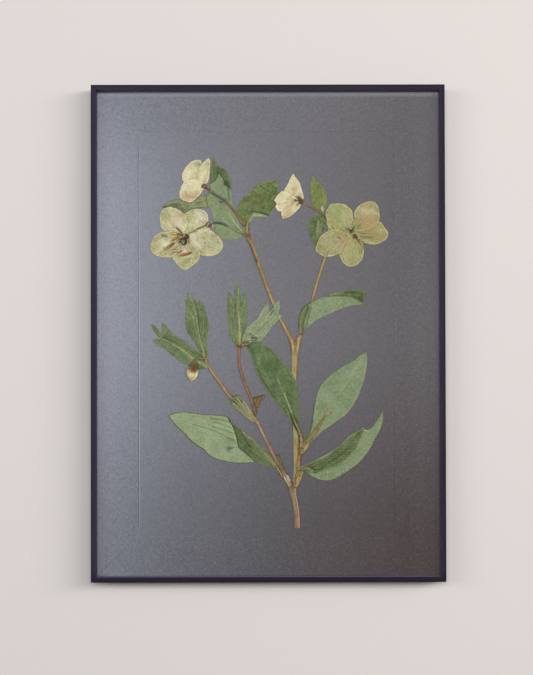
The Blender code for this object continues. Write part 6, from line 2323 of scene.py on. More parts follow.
SCRAPS = (
    Stalk(
        "middle_petiole", "petiole_tan",
        "27.2 -103.2, 27.9 -99.6, 28.5 -95.4, 28.4 -91.2, 27.2 -86.5, 24.9 -81.3, 22.5 -76.1, 20.4 -70.9",
        "1.1 1.6 1.8 1.75 1.5 1.2 .9 .4", "leaf_middle",
        """brown 1.1 .5: 28.6 -100.6, 28.8 -97.5, 28.7 -94.4; dark .5 .8: 30.5 -92.3, 30.1 -88.6, 28.8
        -85, 27.4 -81.8; dark .45 .85: 25.8 -85.5, 24.2 -81.8, 22.6 -78.2, 21.3 -75; dark .5 .6: 27.4
        -90.2, 26.7 -88.1; brown .7 .5: 29.4 -87, 28.4 -89.7; dark .35 .75: 26.3 -83.8 | 27.7 -86.7;
        dark .3 .7: 28.4 -82.9; orange .35 .7: 26.9 -87.5 | 29.2 -88.7; dark .35 .75: 30 -90.4; straw .4
        .6: 25.1 -80.5 | 27.4 -85""", "stalk_brown", 0.9,
        rib_depth=0.1,
    ),
    scrap(
        "leaf_lower_right", "lower_right_petiole", "petiole",
        """21.6 -133, 20.9 -130.5, 22.1 -126.5, 23.4 -122.1, 24.5 -119.5, 26.6 -118.8, 30.8 -119.8, 29.3
        -124.2, 27.5 -128.1, 25.9 -131.3, 24.9 -133.9, 23.1 -133.6""",
        """brown .8 .6: 22.4 -131, 23.2 -128.4, 23.7 -125.8, 24.2 -123.7; dark .7 .35: 23.1 -130.5, 23.8
        -127.3, 23.1 -125.2; brown .3 .5: 25.7 -129.4, 26.9 -125.2, 28 -121; dark .35 .7: 21.1 -130.5,
        22.6 -125.8, 24 -120.5; straw .6 .5: 24.8 -132.6, 25.6 -130.5; brown 1 .55: 22.1 -132.6, 23.4
        -133.1; dark .4 .5: 21.5 -131.3, 22.9 -131, 24.2 -130.5; pink 1.2 .35: 22.4 -132.3""",
        comb(".35 .12 -.35", "22.1 -132, 24.5 -132.6", "25 -120, 29.7 -120.5", 4),
        fan=2.0, veins=0.08, frill=0.1,
    ),
    scrap(
        "leaf_right", "right_petiole", "petiole_brown",
        """26.7 -102.7, 27.4 -99, 30.3 -95.4, 31.7 -92.8, 35.6 -89.1, 39.3 -85, 42.7 -80, 45.8 -76.1,
        49.7 -71.7, 47.1 -76.5, 45 -80.8, 42.3 -85.5, 39.8 -89.7, 36.7 -94.9, 34.3 -98.6, 31.2 -103, 28
        -105""",
        """green .8 .5: 32.8 -93.6, 36.1 -89.7, 39.3 -86, 42.4 -81.3, 45 -77.9; brown .6 .6: 34.6 -95.4,
        37.2 -91.7, 39.8 -87.6, 42.4 -83.9; dark .35 .6: 34.6 -94.4, 36.1 -93.3, 38.2 -89.7; brown .5
        .5: 44.5 -79.7, 45.6 -78.2; dark .4 .6: 37.2 -95.9, 38.5 -93.3; straw .5 .4: 31.4 -100.6, 29.4
        -101.7; tan 1 .75: 29.4 -103.5, 31.4 -101.1, 33.3 -98.5; dark .35 .95: 27.4 -100.1, 28.8 -99,
        30.4 -100.9; dark .3 .9: 29.4 -102.2, 30.9 -102.7; green .6 .6: 47.1 -75.6, 48.7 -73.5""",
        comb(".35 .12 -.3", "28.8 -103.7, 33 -100.6", "39.8 -85, 42.9 -83.9", 4),
        fan=2.0, veins=0.08, frill=0.12,
    ),
    scrap(
        "leaf_top_left", "top_leaf_fold", "bract_smooth",
        """-16.8 94, -16.2 98, -15 101, -12.6 104.6, -8 103.8, -1.4 101.9, 1.6 100.8, -4 100.4, -12.4
        99.8, -14.6 97.4""",
        """straw .7 .5: -16.6 95, -15.6 98.6; pale 1.4 .4: -12 102.4, -6 101.6; brown .35 .5: -11 100,
        -3 100.6""",
        curl=0.2,
    ),
    scrap(
        "bract_left", "left_flap", "bract_smooth",
        "-63 -23.4, -59 -23.6, -55.6 -24.6, -52.4 -26.8, -50.4 -29.6, -51.4 -31.2, -55.6 -30, -59.4 -27.6",
        """green 2 .4: -59 -26, -55 -28; pale .4 .45: -61 -25, -56 -27, -52.6 -29.6; brown .4 .5: -60.6
        -23.6, -55.6 -24.8, -52.4 -27, -50.8 -29.8; brown .35 .4: -59.4 -27.4, -55.6 -29.8; brown .9 .8:
        -51.4 -30.6""",
        curl=0.25,
    ),
    scrap(
        "stem_middle", "centre_ruffle", "petiole",
        """-26.4 -11, -24.6 -12.8, -22.6 -12.6, -20.6 -11.4, -18.4 -11.4, -16.8 -9.4, -17.8 -7.4, -20.2
        -8.4, -22.6 -9.6, -24.4 -10.6""",
        """brown 1 .7: -24.6 -12, -20 -9.6, -18 -8.6; dark .4 .8: -23.6 -12.6, -20.4 -11.2, -17.6 -10.8;
        pale .3 .6: -22 -10.6, -19 -9.4; brown .4 .8: -21 -8.8, -19.6 -11; dark .3 .6: -25.6 -11.6, -23
        -10.4""",
        curl=0.5, frill=0.5,
    ),
    scrap(
        "flower_one_stalk", "flower_one_receptacle", "receptacle",
        """-57.5 127.7, -56.9 128.6, -55.4 129.1, -53.9 128.8, -52.7 127.7, -52.5 126.4, -53.5 125.6,
        -55 125.5, -56.5 125.9, -57.3 126.6""",
        """straw .7 .7: -55.5 127.5, -54.6 127; brown .5 .8: -56.7 127.8, -55.6 128.5, -54.1 128.1,
        -53.3 127.1, -54 126.1, -55.8 126.1, -56.6 127; dark .5 .6: -57 127.8, -56.6 126.4; brown .8 .6:
        -53.2 126.3""",
    ),
    scrap(
        "flower_two_stalk", "flower_two_receptacle", "receptacle",
        "-54 94.6, -52.8 96.4, -51.2 96, -50 94.8, -48.6 94.2, -49.4 92.6, -51 91.4, -53 91.8",
        "brown 1.1 .85: -52.6 94.6, -50.4 93; pale .6 .6: -51.4 95.2, -52.6 92.6",
    ),
    scrap(
        "flower_two_stalk", "flower_two_torn_bit", "petal_cream",
        "-48.8 93.6, -47.2 93.8, -46 92.8, -46.6 91.6, -48 91.6",
        "orange 1 .7: -47.2 92.6; brown .6 .4: -46.6 92",
    ),
    scrap(
        "flower_three_stalk", "flower_three_receptacle", "receptacle",
        "26 116.2, 28 117, 30 115.8, 31.2 114, 30.4 112.4, 28.6 111.6, 27 112, 26.6 114",
        "dark 1.3 .5: 28.6 114.4, 27.4 116; brown 1.1 .7: 29.6 113",
    ),
    scrap(
        "flower_four_heart", "flower_four_spot_left", "receptacle",
        "71 88, 69.8 90.8, 71.6 89.4, 73 89.6, 74.8 93, 74.4 89.4, 73.6 87, 72.4 86.2, 71 86.8",
        "dark 1.5 .8: 71.9 88.3; pale .5 .5: 73.2 87.2",
    ),
    scrap(
        "flower_four_heart", "flower_four_spot_right", "receptacle",
        "73.4 84.8, 74.8 85.8, 76.4 85.2, 77.4 83.6, 78.8 81.4, 77 81.8, 75.2 81.6, 73.8 82.8",
        "brown 1.4 .7: 75.4 84.2; dark .8 .5: 75.6 84; white .45 .9: 78 81.8, 79.9 81.3 | 78.8 78.9",
    ),
    scrap(
        "flower_two_heart", "flower_two_disc", "receptacle",
        "-74.8 84.2, -73.8 85.8, -71 86.2, -68.8 85.2, -68 83.4, -69.2 81.6, -71.8 81.2, -74 82.4",
        "brown 1.6 .9: -71.4 83.6; dark .8 .6: -72.8 82.4", cockle=0.3,
    ),
)

CARPELS = (
    Stalk(
        "flower_two_carpel", "carpel", "-72 82.6, -72.8 80.8, -73.6 78.2, -74.2 76.2", "1.2 2.8 2.9 1.3",
        "flower_two_heart",
        """pale .35 .6: -73.8 80.6, -74.8 77.8; white .3 .6: -72.4 80.2, -73.4 77.2; dark .8 .5: -75.4
        79.6, -75.8 77.6; brown 1 .4: -71 79""", "stalk_brown", 0.9, 6, 0.1, 40,
    ),
    Stalk(
        "flower_two_style", "style_olive", "-68.6 82.6, -68.4 80.4, -68.8 77.8", ".3 .5 .3",
        "flower_two_heart", "", "stalk_brown", 0.6,
    ),
)

BUD_PARTS = (
    Stalk(
        "bud_stem", "stem_red", "-53.9 -22.5, -58.4 -21.8, -62.1 -22.9, -63.5 -25.1, -63.9 -28.3",
        ".6 .55 .55 .6 .8", "bud", "", "petal_cream", 0.8,
    ),
    Stalk(
        "bud_body", "bud_skin", "-64.4 -28.8, -65 -31, -65.5 -34, -65.9 -37, -66.4 -39.6, -66.9 -41.4",
        "1.6 4 5 4.5 2.8 .5", "bud",
        """brown 2.4 .8: -67.4 -30.6, -65 -31, -62.6 -31.4; brown 1.6 .6: -63.4 -33.6, -66.4 -33; dark
        1.2 .3: -64.6 -32; straw .5 .5: -66 -34, -66.6 -40; straw .5 .45: -68 -33, -67.6 -39 | -63.4
        -35, -65 -40; brown .9 .3: -67 -40.6, -66 -38.6; dark .5 .25: -69.4 -33, -69 -37""", "petal_cream",
        2.4, 7, 0.035, 56,
    ),
    scrap(
        "bud", "bud_cap", "receptacle",
        "-66.6 -27, -64 -26.8, -62.4 -28.4, -62.2 -30.4, -63.4 -31, -65 -30.6, -66.4 -31",
        "brown 2.4 .65: -66 -28, -63 -31", rise=0.08,
    ),
)


@dataclass(frozen=True)
class Stamen:
    """One stamen: a pale thread and its anther at the far end.

    Form gives places along the anther, from 0 to 1, and its share of the half width at each.
    """

    form = ((0, 0.35), (0.3, 0.9), (0.75, 1.0), (1, 0.4))
    thread_half = "0.22 "

    thread: str
    anther: str
    colour: str = "anther"
    half: float = 0.85
    stains: str = ""

    def parts(self, number: int) -> tuple[Stalk, Stalk]:
        """The thread and the anther as two small stalks.

        Args:
            number: the stamen's number.

        Returns:
            The thread and the anther.
        """
        line = Curves.bent(route(self.anther), 0.5)
        knots = (line[int(at * (len(line) - 1))] for at, _ in self.form)
        way = ", ".join(f"{x:.2f} {z:.2f}" for x, z in knots)
        widths = " ".join(f"{self.half * share:.2f}" for _, share in self.form)
        thin = self.thread_half * len(route(self.thread))
        return (
            Stalk(
                f"flower_two_thread_{number}", "filament", self.thread, thin, "flower_two_heart",
                thick=0.4, ribs=0, rib_depth=0, sides=10, lift=0.05,
            ),
            Stalk(
                f"flower_two_anther_{number}", self.colour, way, widths, "flower_two_heart", self.stains,
                thick=0.7, ribs=2, rib_depth=0.12, sides=16, lift=0.05,
            ),
        )


STAMENS = (
    Stamen(
        "-72 84.6, -74.4 85, -76.6 85.3", "-76.4 85.4, -80 86, -83.9 86.6", "anther_yellow", 1.15,
        "brown 1.8 .8: -77.6 85.4",
    ),
    Stamen(
        "-72.6 83.8, -74.6 83.8, -76.4 83.5", "-76.2 83.6, -79.6 82.2, -83.7 79.5", "anther_orange", 0.75,
        "dark 1.4 .5: -78 83; orange 1.2 .7: -83 79.9",
    ),
    Stamen("-73 83, -74.4 82.4", "-74.2 82.6, -76.4 81.4, -78.6 79.6", "anther_dark", 0.35),
    Stamen(
        "-75.6 80.4, -78 79.6, -80.8 78.6", "-80.6 78.4, -84.8 75.4, -88.7 72.9", "anther_orange", 1.25,
        "dark 2 .5: -82 77.4, -84 76; orange 1.3 .9: -88 73.4",
    ),
    Stamen(
        "-72.3 75, -70.6 73, -68 70.6", "-65.8 69.7, -71 68.4, -76.5 67.4", "anther", 1.15,
        "orange 2.4 .55: -75 67.6; dark 1.6 .5: -67.4 69.4",
    ),
    Stamen("-74.6 77, -77.4 74.4, -80.4 71.6", "-80 72, -81.2 71, -82.6 70", "filament", 0.4),
    Stamen("-73.8 76, -75 73.6, -77 71.6", "-76.6 72, -77.6 71, -78.4 69.8", "filament", 0.45),
    Stamen("-71 76.4, -69.4 74, -68.6 72.2", "-68.8 72.6, -68.2 71.4, -67.4 70.4", "filament", 0.5),
    Stamen("-75.4 78, -79 75.4, -82 73.8", "-81.6 74, -83 73.2, -84.6 72.6", "filament", 0.35),
    Stamen("-70 77.6, -67.6 75.6, -66 73.6", "-66.2 73.8, -65.6 72.6, -65 71.4", "filament", 0.35),
    Stamen(
        "-71.8 85.2, -73.4 86", "-73.3 85.4, -76 88.4, -79.4 91.8", "anther_dark", 0.5,
        "orange .7 .6: -79.2 91.6",
    ),
    Stamen("-71 84, -73 83.8", "-77.4 86.4, -75 85.2, -73 83.8", "anther_dark", 0.5),
    Stamen("-72.3 74.9, -73.4 72.4, -74.5 70.6", "-74.2 71.4, -75.8 70.6, -77.2 69.8", "anther", 0.5),
)


class Specimen:
    """The pressed plant, laid piece by piece from the board forwards."""

    reach = 0.8
    edge = 3.0

    def pieces(self) -> list[Any]:
        """The stems, blades and petals.

        Returns:
            Them all in the order of laying.
        """
        found = [(self.level(stalk.node), 0, stalk) for stalk in (*STALKS, *BLOOM_STALKS)]
        found += [(self.level(sheet.node), 1 + sheet.flap, sheet) for sheet in SHEETS]
        return [piece for _, _, piece in sorted(found, key=lambda item: item[:2])]

    @staticmethod
    def level(node: str) -> float:
        """How far a CAD node's back stands from the board."""
        return round((BOARD_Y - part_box(node)[1][1]) / MM, 2)

    def build(self) -> None:
        """Lays every piece, then stores a painted contact shadow on what lies beside a later one."""
        stamens = [part for number, stamen in enumerate(STAMENS, 1) for part in stamen.parts(number)]
        for piece in (*UNDERLAYS, *self.pieces(), *SCRAPS, *CARPELS, *stamens, *BUD_PARTS):
            finish_piece(piece.build(), piece.slot, piece.node)
        self.shade()
        LOG.info("the specimen stands %.2f mm from the board", PRESS.top.max())

    def shade(self) -> None:
        """Stores on each sheet how close it comes to what is laid over it, for its painted contact shadow."""
        for number, under in enumerate(PRESS.laid):
            if under.points is None:
                continue
            shade = np.zeros(len(under.points))
            low, high = under.points.min(0) - self.edge, under.points.max(0) + self.edge
            for over in PRESS.laid[number + 1:]:
                if (over.line.min(0) > high).any() or (over.line.max(0) < low).any():
                    continue
                away = Curves.nearest(under.points, over.line, over.closed)[0] - over.half
                shade = np.maximum(shade, np.exp(-(np.maximum(away, 0) / self.reach) ** 2))
            write_attribute(under.data, "shade", np.tile(shade, 2))


def rounded(corners: Sequence[Point], radii: Sequence[float], steps: int = 5) -> Array:
    """A closed outline whose corners are arcs.

    Args:
        corners: the sharp outline.
        radii: each corner's radius.
        steps: the number of parts in an arc.

    Returns:
        The outline's points.
    """
    p = np.asarray(corners, float)
    points = []
    for before, here, after, radius in zip(np.roll(p, 1, 0), p, np.roll(p, -1, 0), radii):
        into = (before - here) / np.linalg.norm(before - here)
        out = (after - here) / np.linalg.norm(after - here)
        start, end = here + into * radius, here + out * radius
        for u in np.linspace(0, 1, steps + 1):
            points.append((1 - u) ** 2 * start + 2 * u * (1 - u) * here + u**2 * end)
    return np.array(points)


def slab(
    name: str, rings: Sequence[tuple[Array, float]], finish: str, sharp: float
) -> Object:
    """A flat panel made of outlines one inside the other.

    Args:
        name: the piece's name.
        rings: outlines in millimetres and their depth y, from the back's middle round to the front's.
        finish: the finish's name.
        sharp: the angle past which an edge is sharp.

    Returns:
        The object.
    """
    count = len(rings[0][0])
    points = np.concatenate([np.column_stack((r[:, 0], np.full(count, y), r[:, 1])) for r, y in rings]) * MM
    faces = [
        (a * count + k, a * count + (k + 1) % count, (a + 1) * count + (k + 1) % count, (a + 1) * count + k)
        for a in range(len(rings) - 1) for k in range(count)
    ]
    faces.append(tuple(range(count))[::-1])
    faces.append(tuple(range((len(rings) - 1) * count, len(rings) * count)))
    made = mesh_object(name, points, faces, finish, sharp)
    outwards(made.data)
    smooth(made.data, sharp)
    return made


def rectangle(half_wide: float, half_tall: float, radius: float, centre: float = 0.0) -> Array:
    """A rounded rectangle.

    Args:
        half_wide: half its width.
        half_tall: half its height.
        radius: its corners' radius.
        centre: its middle across.

    Returns:
        Its outline, anticlockwise from the front.
    """
    corners = (
        (centre - half_wide, -half_tall), (centre + half_wide, -half_tall),
        (centre + half_wide, half_tall), (centre - half_wide, half_tall),
    )
    return rounded(corners, (radius,) * 4, 8)


@dataclass
class Rails:
    """The four mitred rails of dark metal, all of one section.

    Arc is the number of parts in a rounded corner.
    """

    arc = 4

    width: float = 305.0
    height: float = 428.0
    face: float = 4.6
    wall: float = 1.6
    front: float = -11.0
    lip: float = -9.4
    shelf: float = -6.8
    seat: float = -2.3
    flange: float = 9.4
    rear: float = 11.0
    soft: float = 0.5
    crisp: float = 0.16
    mitre_gap: float = 0.1

    def build(self) -> None:
        """Makes the four rails."""
        # The last number of each side is the strength of its inner lip's painted light, which differs from
        # rail to rail.
        sides = (
            ("rail_right", self.width, self.height, 0.0, 0.6),
            ("rail_top", self.height, self.width, -math.pi / 2, 1.0),
            ("rail_left", self.width, self.height, math.pi, 0.25),
            ("rail_bottom", self.height, self.width, math.pi / 2, 0.8),
        )
        for name, across, long, turn, lip in sides:
            finish_piece(self.rail(name, across, long, turn, lip), "frame_black", name)

    def section(self, lip: float) -> tuple[Array, Array]:
        """The rail's section.

        Args:
            lip: how strong the inner lip's painted light is, lighter and bluer.

        Returns:
            Its outline, and its tone from the dark outer arris to the inner lip's painted light.
        """
        corners = (
            (0, self.front), (self.face, self.front), (self.face, self.lip), (self.wall, self.lip),
            (self.wall, self.shelf), (self.face, self.shelf), (self.face, self.seat), (self.wall, self.seat),
            (self.wall, self.flange), (self.face, self.flange), (self.face, self.rear), (0, self.rear),
        )
        radii = [self.soft, self.soft] + [self.crisp] * 10
        line = rounded(corners, radii, self.arc)
        face, inner = 2 * (self.arc + 1), 7 * (self.arc + 1)
        tone = np.zeros(len(line))
        # Darker on the outer arris, rising to the inner lip's painted light.
        tone[:face] = (-0.4, -0.9, -1, -0.8, -0.4, 0, 0, 0, lip / 2, lip)
        tone[face:inner] = lip
        return line, tone

    def rail(self, name: str, across: float, long: float, turn: float, lip: float) -> Object:
        """One rail, mitred at both ends and turned to its side.

        Args:
            name: its node's name.
            across: the frame's size across the rail.
            long: the rail's length.
            turn: the angle from the right side, about y.
            lip: how strong its inner lip's painted light is, lighter and bluer.

        Returns:
            The rail's object.
        """
        line, tone = self.section(lip)
        count = len(line)
        end = long / 2 - self.mitre_gap / 2 - line[:, 0]
        x = np.tile(across / 2 - line[:, 0], 2)
        y = np.tile(line[:, 1], 2)
        z = np.concatenate((-end, end))
        cos, sin = math.cos(turn), math.sin(turn)
        turned = np.column_stack((x * cos + z * sin, y, z * cos - x * sin))
        faces = [(k, (k + 1) % count, (k + 1) % count + count, k + count) for k in range(count)]
        faces += [tuple(range(count))[::-1], tuple(range(count, 2 * count))]
        made = mesh_object(name + "_metal", turned * MM, faces, "frame_black", 1.0)
        grain = np.column_stack((z, np.tile(Curves.lengths(line), 2), np.tile(tone, 2)))
        write_attribute(made.data, "grain", grain)
        outwards(made.data)
        return made


@dataclass
class Boards:
    """The glass, the mount board with its plate mark, and the backing board."""

    half_wide: float = 150.6
    half_tall: float = 212.1
    mark_half_wide: float = 111.0
    mark_half_tall: float = 175.0
    mark_centre: float = -1.7
    mark_deep: float = 0.25
    mark_slope: float = 0.7
    mark_radius: float = 2.4
    thick: float = 2.0
    ease: float = 0.2
    radius: float = 0.3
    backing: tuple[float, float] = (0.3, 3.3)
    backing_ease: float = 0.4

    def build(self) -> None:
        """Makes the boards and gives the glass its finish."""
        finish_piece(self.mount(), "board_grey", "mount_board")
        finish_piece(self.back(), "backing_brown", "backing_board")
        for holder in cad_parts["glazing"].material_slots:
            holder.material = FINISHES["glass_clear"]

    def board(self, near: float, far: float, ease: float, radius: float) -> list[tuple[Array, float]]:
        """A board with eased edges.

        Args:
            near: its front.
            far: its back.
            ease: how far its edges are eased.
            radius: its corners' radius.

        Returns:
            Its outlines with their depths, from the back round to the front.
        """
        flat = rectangle(self.half_wide - ease, self.half_tall - ease, radius)
        side = rectangle(self.half_wide, self.half_tall, radius)
        return [(flat, far), (side, far - ease), (side, near + ease), (flat, near)]

    def mount(self) -> Object:
        """The grey board, pressed a little below its front inside the plate mark.

        Returns:
            The board's object.
        """
        front, wide, tall = -self.thick, self.mark_half_wide, self.mark_half_tall
        rings = self.board(front, 0.0, self.ease, self.radius)
        for share in np.linspace(0, 1, 5):
            inset = share * self.mark_slope
            deep = front + self.mark_deep * step_between(0, 1, share)
            mark = rectangle(wide - inset, tall - inset, self.mark_radius - inset, self.mark_centre)
            rings.append((mark, deep))
        return slab("mount_board_sheet", rings, "board_grey", 40)

    def back(self) -> Object:
        """The backing board."""
        rings = self.board(*self.backing, self.backing_ease, self.backing_ease)
        return slab("backing_board_panel", rings, "backing_brown", 20)


@dataclass
class Strip:
    """A thin spring or plate stamped from sheet metal, then bent along its length.

    Its seat is its middle's place in the frame. An upright one has its length up the frame. Its edges
    are softened over a small reach.
    """

    name: str
    outline: Array
    thick: float
    finish: str
    step: float
    seat: tuple[float, float, float]
    upright: bool = False
    soft: float = 0.12
    soft_reach: float = 0.35
    sharp: float = 40.0

    def build(self, bend: Callable[[Array], Array]) -> Object:
        """Makes the plate.

        Args:
            bend: gives the height in millimetres of points of the flat plate.

        Returns:
            The object.
        """
        points, triangles = fill_ring(self.outline, self.step)
        edge = Curves.nearest(points, self.outline, True)[0]
        ease = self.soft * (1 - step_between(0, self.soft_reach, edge))
        right, back, up = self.seat
        across, along = (points[:, ::-1] if self.upright else points).T
        both = np.concatenate([
            np.column_stack((right + across, back + high, up + along)) * MM
            for high in (bend(points) + self.thick - ease, bend(points) + ease)
        ])
        faces = closed_faces(triangles, len(points))
        made = mesh_object(self.name, both, faces, self.finish, self.sharp)
        outwards(made.data)
        return made


class FastenerTree(NodeTree):
    """Geometry Nodes that set a cross-slotted round head on every point."""

    title = "round_heads"
    inputs = (
        ("Geometry", "Geometry", None), ("Head Radius", "Float", 2.6 * MM), ("Head Rise", "Float", 0.42),
        ("Slot Width", "Float", 0.6 * MM), ("Slot Depth", "Float", 0.7 * MM), ("Material", "Material", None),
    )

    def wire(self) -> None:
        """Lays out the nodes: a flattened ball, its crossed slots, and a copy on each point."""
        given = self.start.outputs
        ball = self.make("GeometryNodeMeshUVSphere", Segments=28, Rings=14, Radius=given["Head Radius"])
        flat = self.vector(1.0, given["Head Rise"], 1.0)
        head = self.make("GeometryNodeTransform", Geometry=ball, Scale=flat)
        long = self.maths("MULTIPLY", given["Head Radius"], 1.3)
        lift = self.vector(0.0, self.maths("MULTIPLY", given["Head Radius"], given["Head Rise"]), 0.0)
        for wide, tall in ((long, given["Slot Width"]), (given["Slot Width"], long)):
            bar = self.make("GeometryNodeMeshCube", Size=self.vector(wide, given["Slot Depth"], tall))
            raised = self.make("GeometryNodeTransform", Geometry=bar, Translation=lift)
            cut = self.add("GeometryNodeMeshBoolean", {"operation": "DIFFERENCE"}, {0: head, 1: raised})
            head = cut.outputs[0]
        self.finish(self.make("GeometryNodeInstanceOnPoints", Points=given["Geometry"], Instance=head))


def round_heads(
    name: str, spots: Sequence[tuple[float, float, float]], finish: str, **sizes: float
) -> Object:
    """Round heads that face the rear.

    Args:
        name: the piece's name.
        spots: their places in millimetres.
        finish: their finish.
        sizes: the nodes' inputs that differ from the usual.

    Returns:
        All the heads in one object.
    """
    data = bpy.data.meshes.new(name)
    data.from_pydata([tuple(c * MM for c in spot) for spot in spots], [], [])
    made = FASTENERS.dress(stand(name + "_spots", data), name, Material=FINISHES[finish], **sizes)
    outwards(made.data)
    smooth(made.data, 35)
    return made


FASTENERS = FastenerTree()


@dataclass
class Hardware:
    """What the back holds: spring clips, corner keys and the sawtooth hanger.

    Each stamped part has a step, the size of the triangles that it is made of.
    """

    clip_long: float = 52.0
    clip_wide: float = 12.0
    clip_thick: float = 0.6
    clip_end_radius: float = 1.6
    clip_side_radius: float = 3.0
    clip_step: float = 1.2
    clip_reach: float = 144.6
    clip_height: float = 105.0
    clip_seat: float = 3.6
    clip_rise: float = 4.9
    clip_nose: float = 9.0
    clip_taper: float = 1.4
    rib_rise: float = 0.35
    rib_wide: float = 1.3
    rib_ends: tuple[float, float] = (20, 14)
    key_leg: float = 28.0
    key_wide: float = 8.6
    key_thick: float = 1.3
    key_inner_cut: float = 1.5
    key_corner_radius: float = 0.8
    key_radius: float = 1.0
    key_step: float = 2.0
    key_seat: float = 8.0
    screw_inset: float = 2.5
    screw_end: float = 7.0
    screw_sink: float = 0.1
    screw_radius: float = 2.0
    half_wide: float = 150.7
    half_tall: float = 212.2
    hanger_height: float = 186.0
    hanger_half_long: float = 36.0
    hanger_half_tall: float = 6.0
    hanger_foot: float = 10.0
    hanger_stand: float = 2.4
    hanger_cut: float = 3.0
    hanger_radius: float = 1.2
    hanger_thick: float = 1.0
    hanger_ramp: float = 3.5
    hanger_sink: float = 0.2
    hanger_step: float = 0.8
    nail_shift: float = 1.5
    nail_stand: float = 0.7
    nail_radius: float = 2.2
    swage_deep: float = 0.5
    swage_height: float = 1.6
    swage_wide: float = 1.1
    swage_ends: tuple[float, float] = (2.0, 5.0)
    tooth_pitch: float = 2.4
    tooth_deep: float = 1.3
    tooth_radius: float = 0.12
    tooth_count: int = 16

    def build(self) -> None:
        """Makes the clips, the keys and the hanger."""
        for side, x in (("left", -self.clip_reach), ("right", self.clip_reach)):
            for where, z in (("upper", self.clip_height), ("lower", -self.clip_height)):
                name = f"clip_{side}_{where}"
                finish_piece(self.clip(name, x, z), "spring_steel", name)
        for number, (right, up) in enumerate(((1, 1), (-1, 1), (-1, -1), (1, -1))):
            finish_piece(self.key(f"corner_key_{number + 1}", right, up), "spring_steel")
        finish_piece(self.key_screws(), "spring_steel")
        finish_piece(self.hanger(), "spring_steel", "sawtooth_hanger")
        finish_piece(self.hanger_nails(), "spring_steel", "sawtooth_hanger")

    def clip(self, name: str, x: float, z: float) -> Object:
        """A bowed spring clip with a pressed rib along its middle.

        Args:
            name: its node's name.
            x: its middle across.
            z: its middle's height.

        Returns:
            The clip's object.
        """
        half, wide = self.clip_long / 2, self.clip_wide / 2
        nose, waist = half - self.clip_nose, wide - self.clip_taper
        end, side = self.clip_end_radius, self.clip_side_radius
        outline = rounded(
            ((-half, -waist), (-nose, -wide), (nose, -wide), (half, -waist),
             (half, waist), (nose, wide), (-nose, wide), (-half, waist)),
            (end, side, side, end) * 2, 6,
        )
        radius = (half**2 + self.clip_rise**2) / (2 * self.clip_rise)

        def bend(flat: Array) -> Array:
            """The bow's height with its rib.

            Args:
                flat: points of the flat clip.

            Returns:
                Each point's height.
            """
            bow = radius - np.sqrt(radius**2 - flat[:, 0] ** 2)
            rib = self.rib_rise * np.exp(-(flat[:, 1] / self.rib_wide) ** 2)
            return bow + rib * step_between(*self.rib_ends, np.abs(flat[:, 0]))

        spring = Strip(
            name + "_spring", outline, self.clip_thick, "spring_steel", self.clip_step,
            (x, self.clip_seat, z), upright=True,
        )
        return spring.build(bend)

    def key(self, name: str, right: int, up: int) -> Object:
        """A flat corner key whose legs run in two rails' channels.

        Args:
            name: the key's name.
            right: 1 on the right and -1 on the left.
            up: 1 at the top and -1 at the foot.

        Returns:
            The key's object.
        """
        leg, wide, inner = self.key_leg, self.key_wide, self.key_wide + self.key_inner_cut
        legs = ((0, 0), (-leg, 0), (-leg, -wide), (-inner, -wide), (-wide, -inner), (-wide, -leg), (0, -leg))
        corners = [(right * (self.half_wide + x), up * (self.half_tall + z)) for x, z in legs]
        outline = anticlockwise(rounded(corners, (self.key_corner_radius, *[self.key_radius] * 6)))
        seat = (0.0, self.key_seat, 0.0)
        plate = Strip(name, outline, self.key_thick, "zinc", self.key_step, seat)
        return plate.build(lambda flat: np.zeros(len(flat)))

    def key_screws(self) -> Object:
        """Two screws in each corner key.

        Returns:
            All eight in one object.
        """
        high = self.key_seat + self.key_thick - self.screw_sink
        near, far = self.key_wide - self.screw_inset, self.key_leg - self.screw_end
        spots = [
            (right * (self.half_wide - x), high, up * (self.half_tall - z))
            for right in (1, -1) for up in (1, -1) for x, z in ((near, far), (far, near))
        ]
        return round_heads("corner_screws", spots, "zinc", Head_Radius=self.screw_radius * MM)

    def hanger(self) -> Object:
        """The sawtooth bar, bent down to two feet.

        Returns:
            The bar's object.
        """
        half, tall = self.hanger_half_long, self.hanger_half_tall
        long, high = half - self.hanger_cut, tall - self.hanger_cut
        teeth = []
        for n in range(self.tooth_count):
            root = (n - self.tooth_count / 2) * self.tooth_pitch
            teeth += [(root, -tall), (root + self.tooth_pitch / 2, -tall + self.tooth_deep)]
        teeth.append((self.tooth_count / 2 * self.tooth_pitch, -tall))
        others = ((long, -tall), (half, -high), (half, high), (long, tall), (-long, tall), (-half, high))
        ends = [self.hanger_radius] * 2
        radii = ends + [self.tooth_radius] * len(teeth) + ends * 3
        outline = rounded(((-half, -high), (-long, -tall), *teeth, *others), radii, 3)
        foot = self.hanger_half_long - self.hanger_foot

        def bend(flat: Array) -> Array:
            """Down to the feet at both ends, with a stiffening swage above the teeth.

            Args:
                flat: points of the flat bar.

            Returns:
                Each point's height.
            """
            away = np.abs(flat[:, 0])
            up = self.hanger_stand * step_between(foot + self.hanger_ramp, foot, away)
            swage = -self.swage_deep * np.exp(-((flat[:, 1] - self.swage_height) / self.swage_wide) ** 2)
            none, full = self.swage_ends
            return up + swage * step_between(foot - none, foot - full, away)

        bar = Strip(
            "sawtooth_bar", outline, self.hanger_thick, "spring_steel", self.hanger_step,
            (0.0, self.clip_seat - self.hanger_sink, self.hanger_height),
        )
        return bar.build(bend)

    def hanger_nails(self) -> Object:
        """The nail in each foot.

        Returns:
            Both in one object.
        """
        reach = self.hanger_half_long - self.hanger_foot / 2 + self.nail_shift
        high = self.clip_seat + self.nail_stand
        spots = [(side * reach, high, self.hanger_height) for side in (-1, 1)]
        return round_heads("hanger_nails", spots, "zinc", Head_Radius=self.nail_radius * MM)


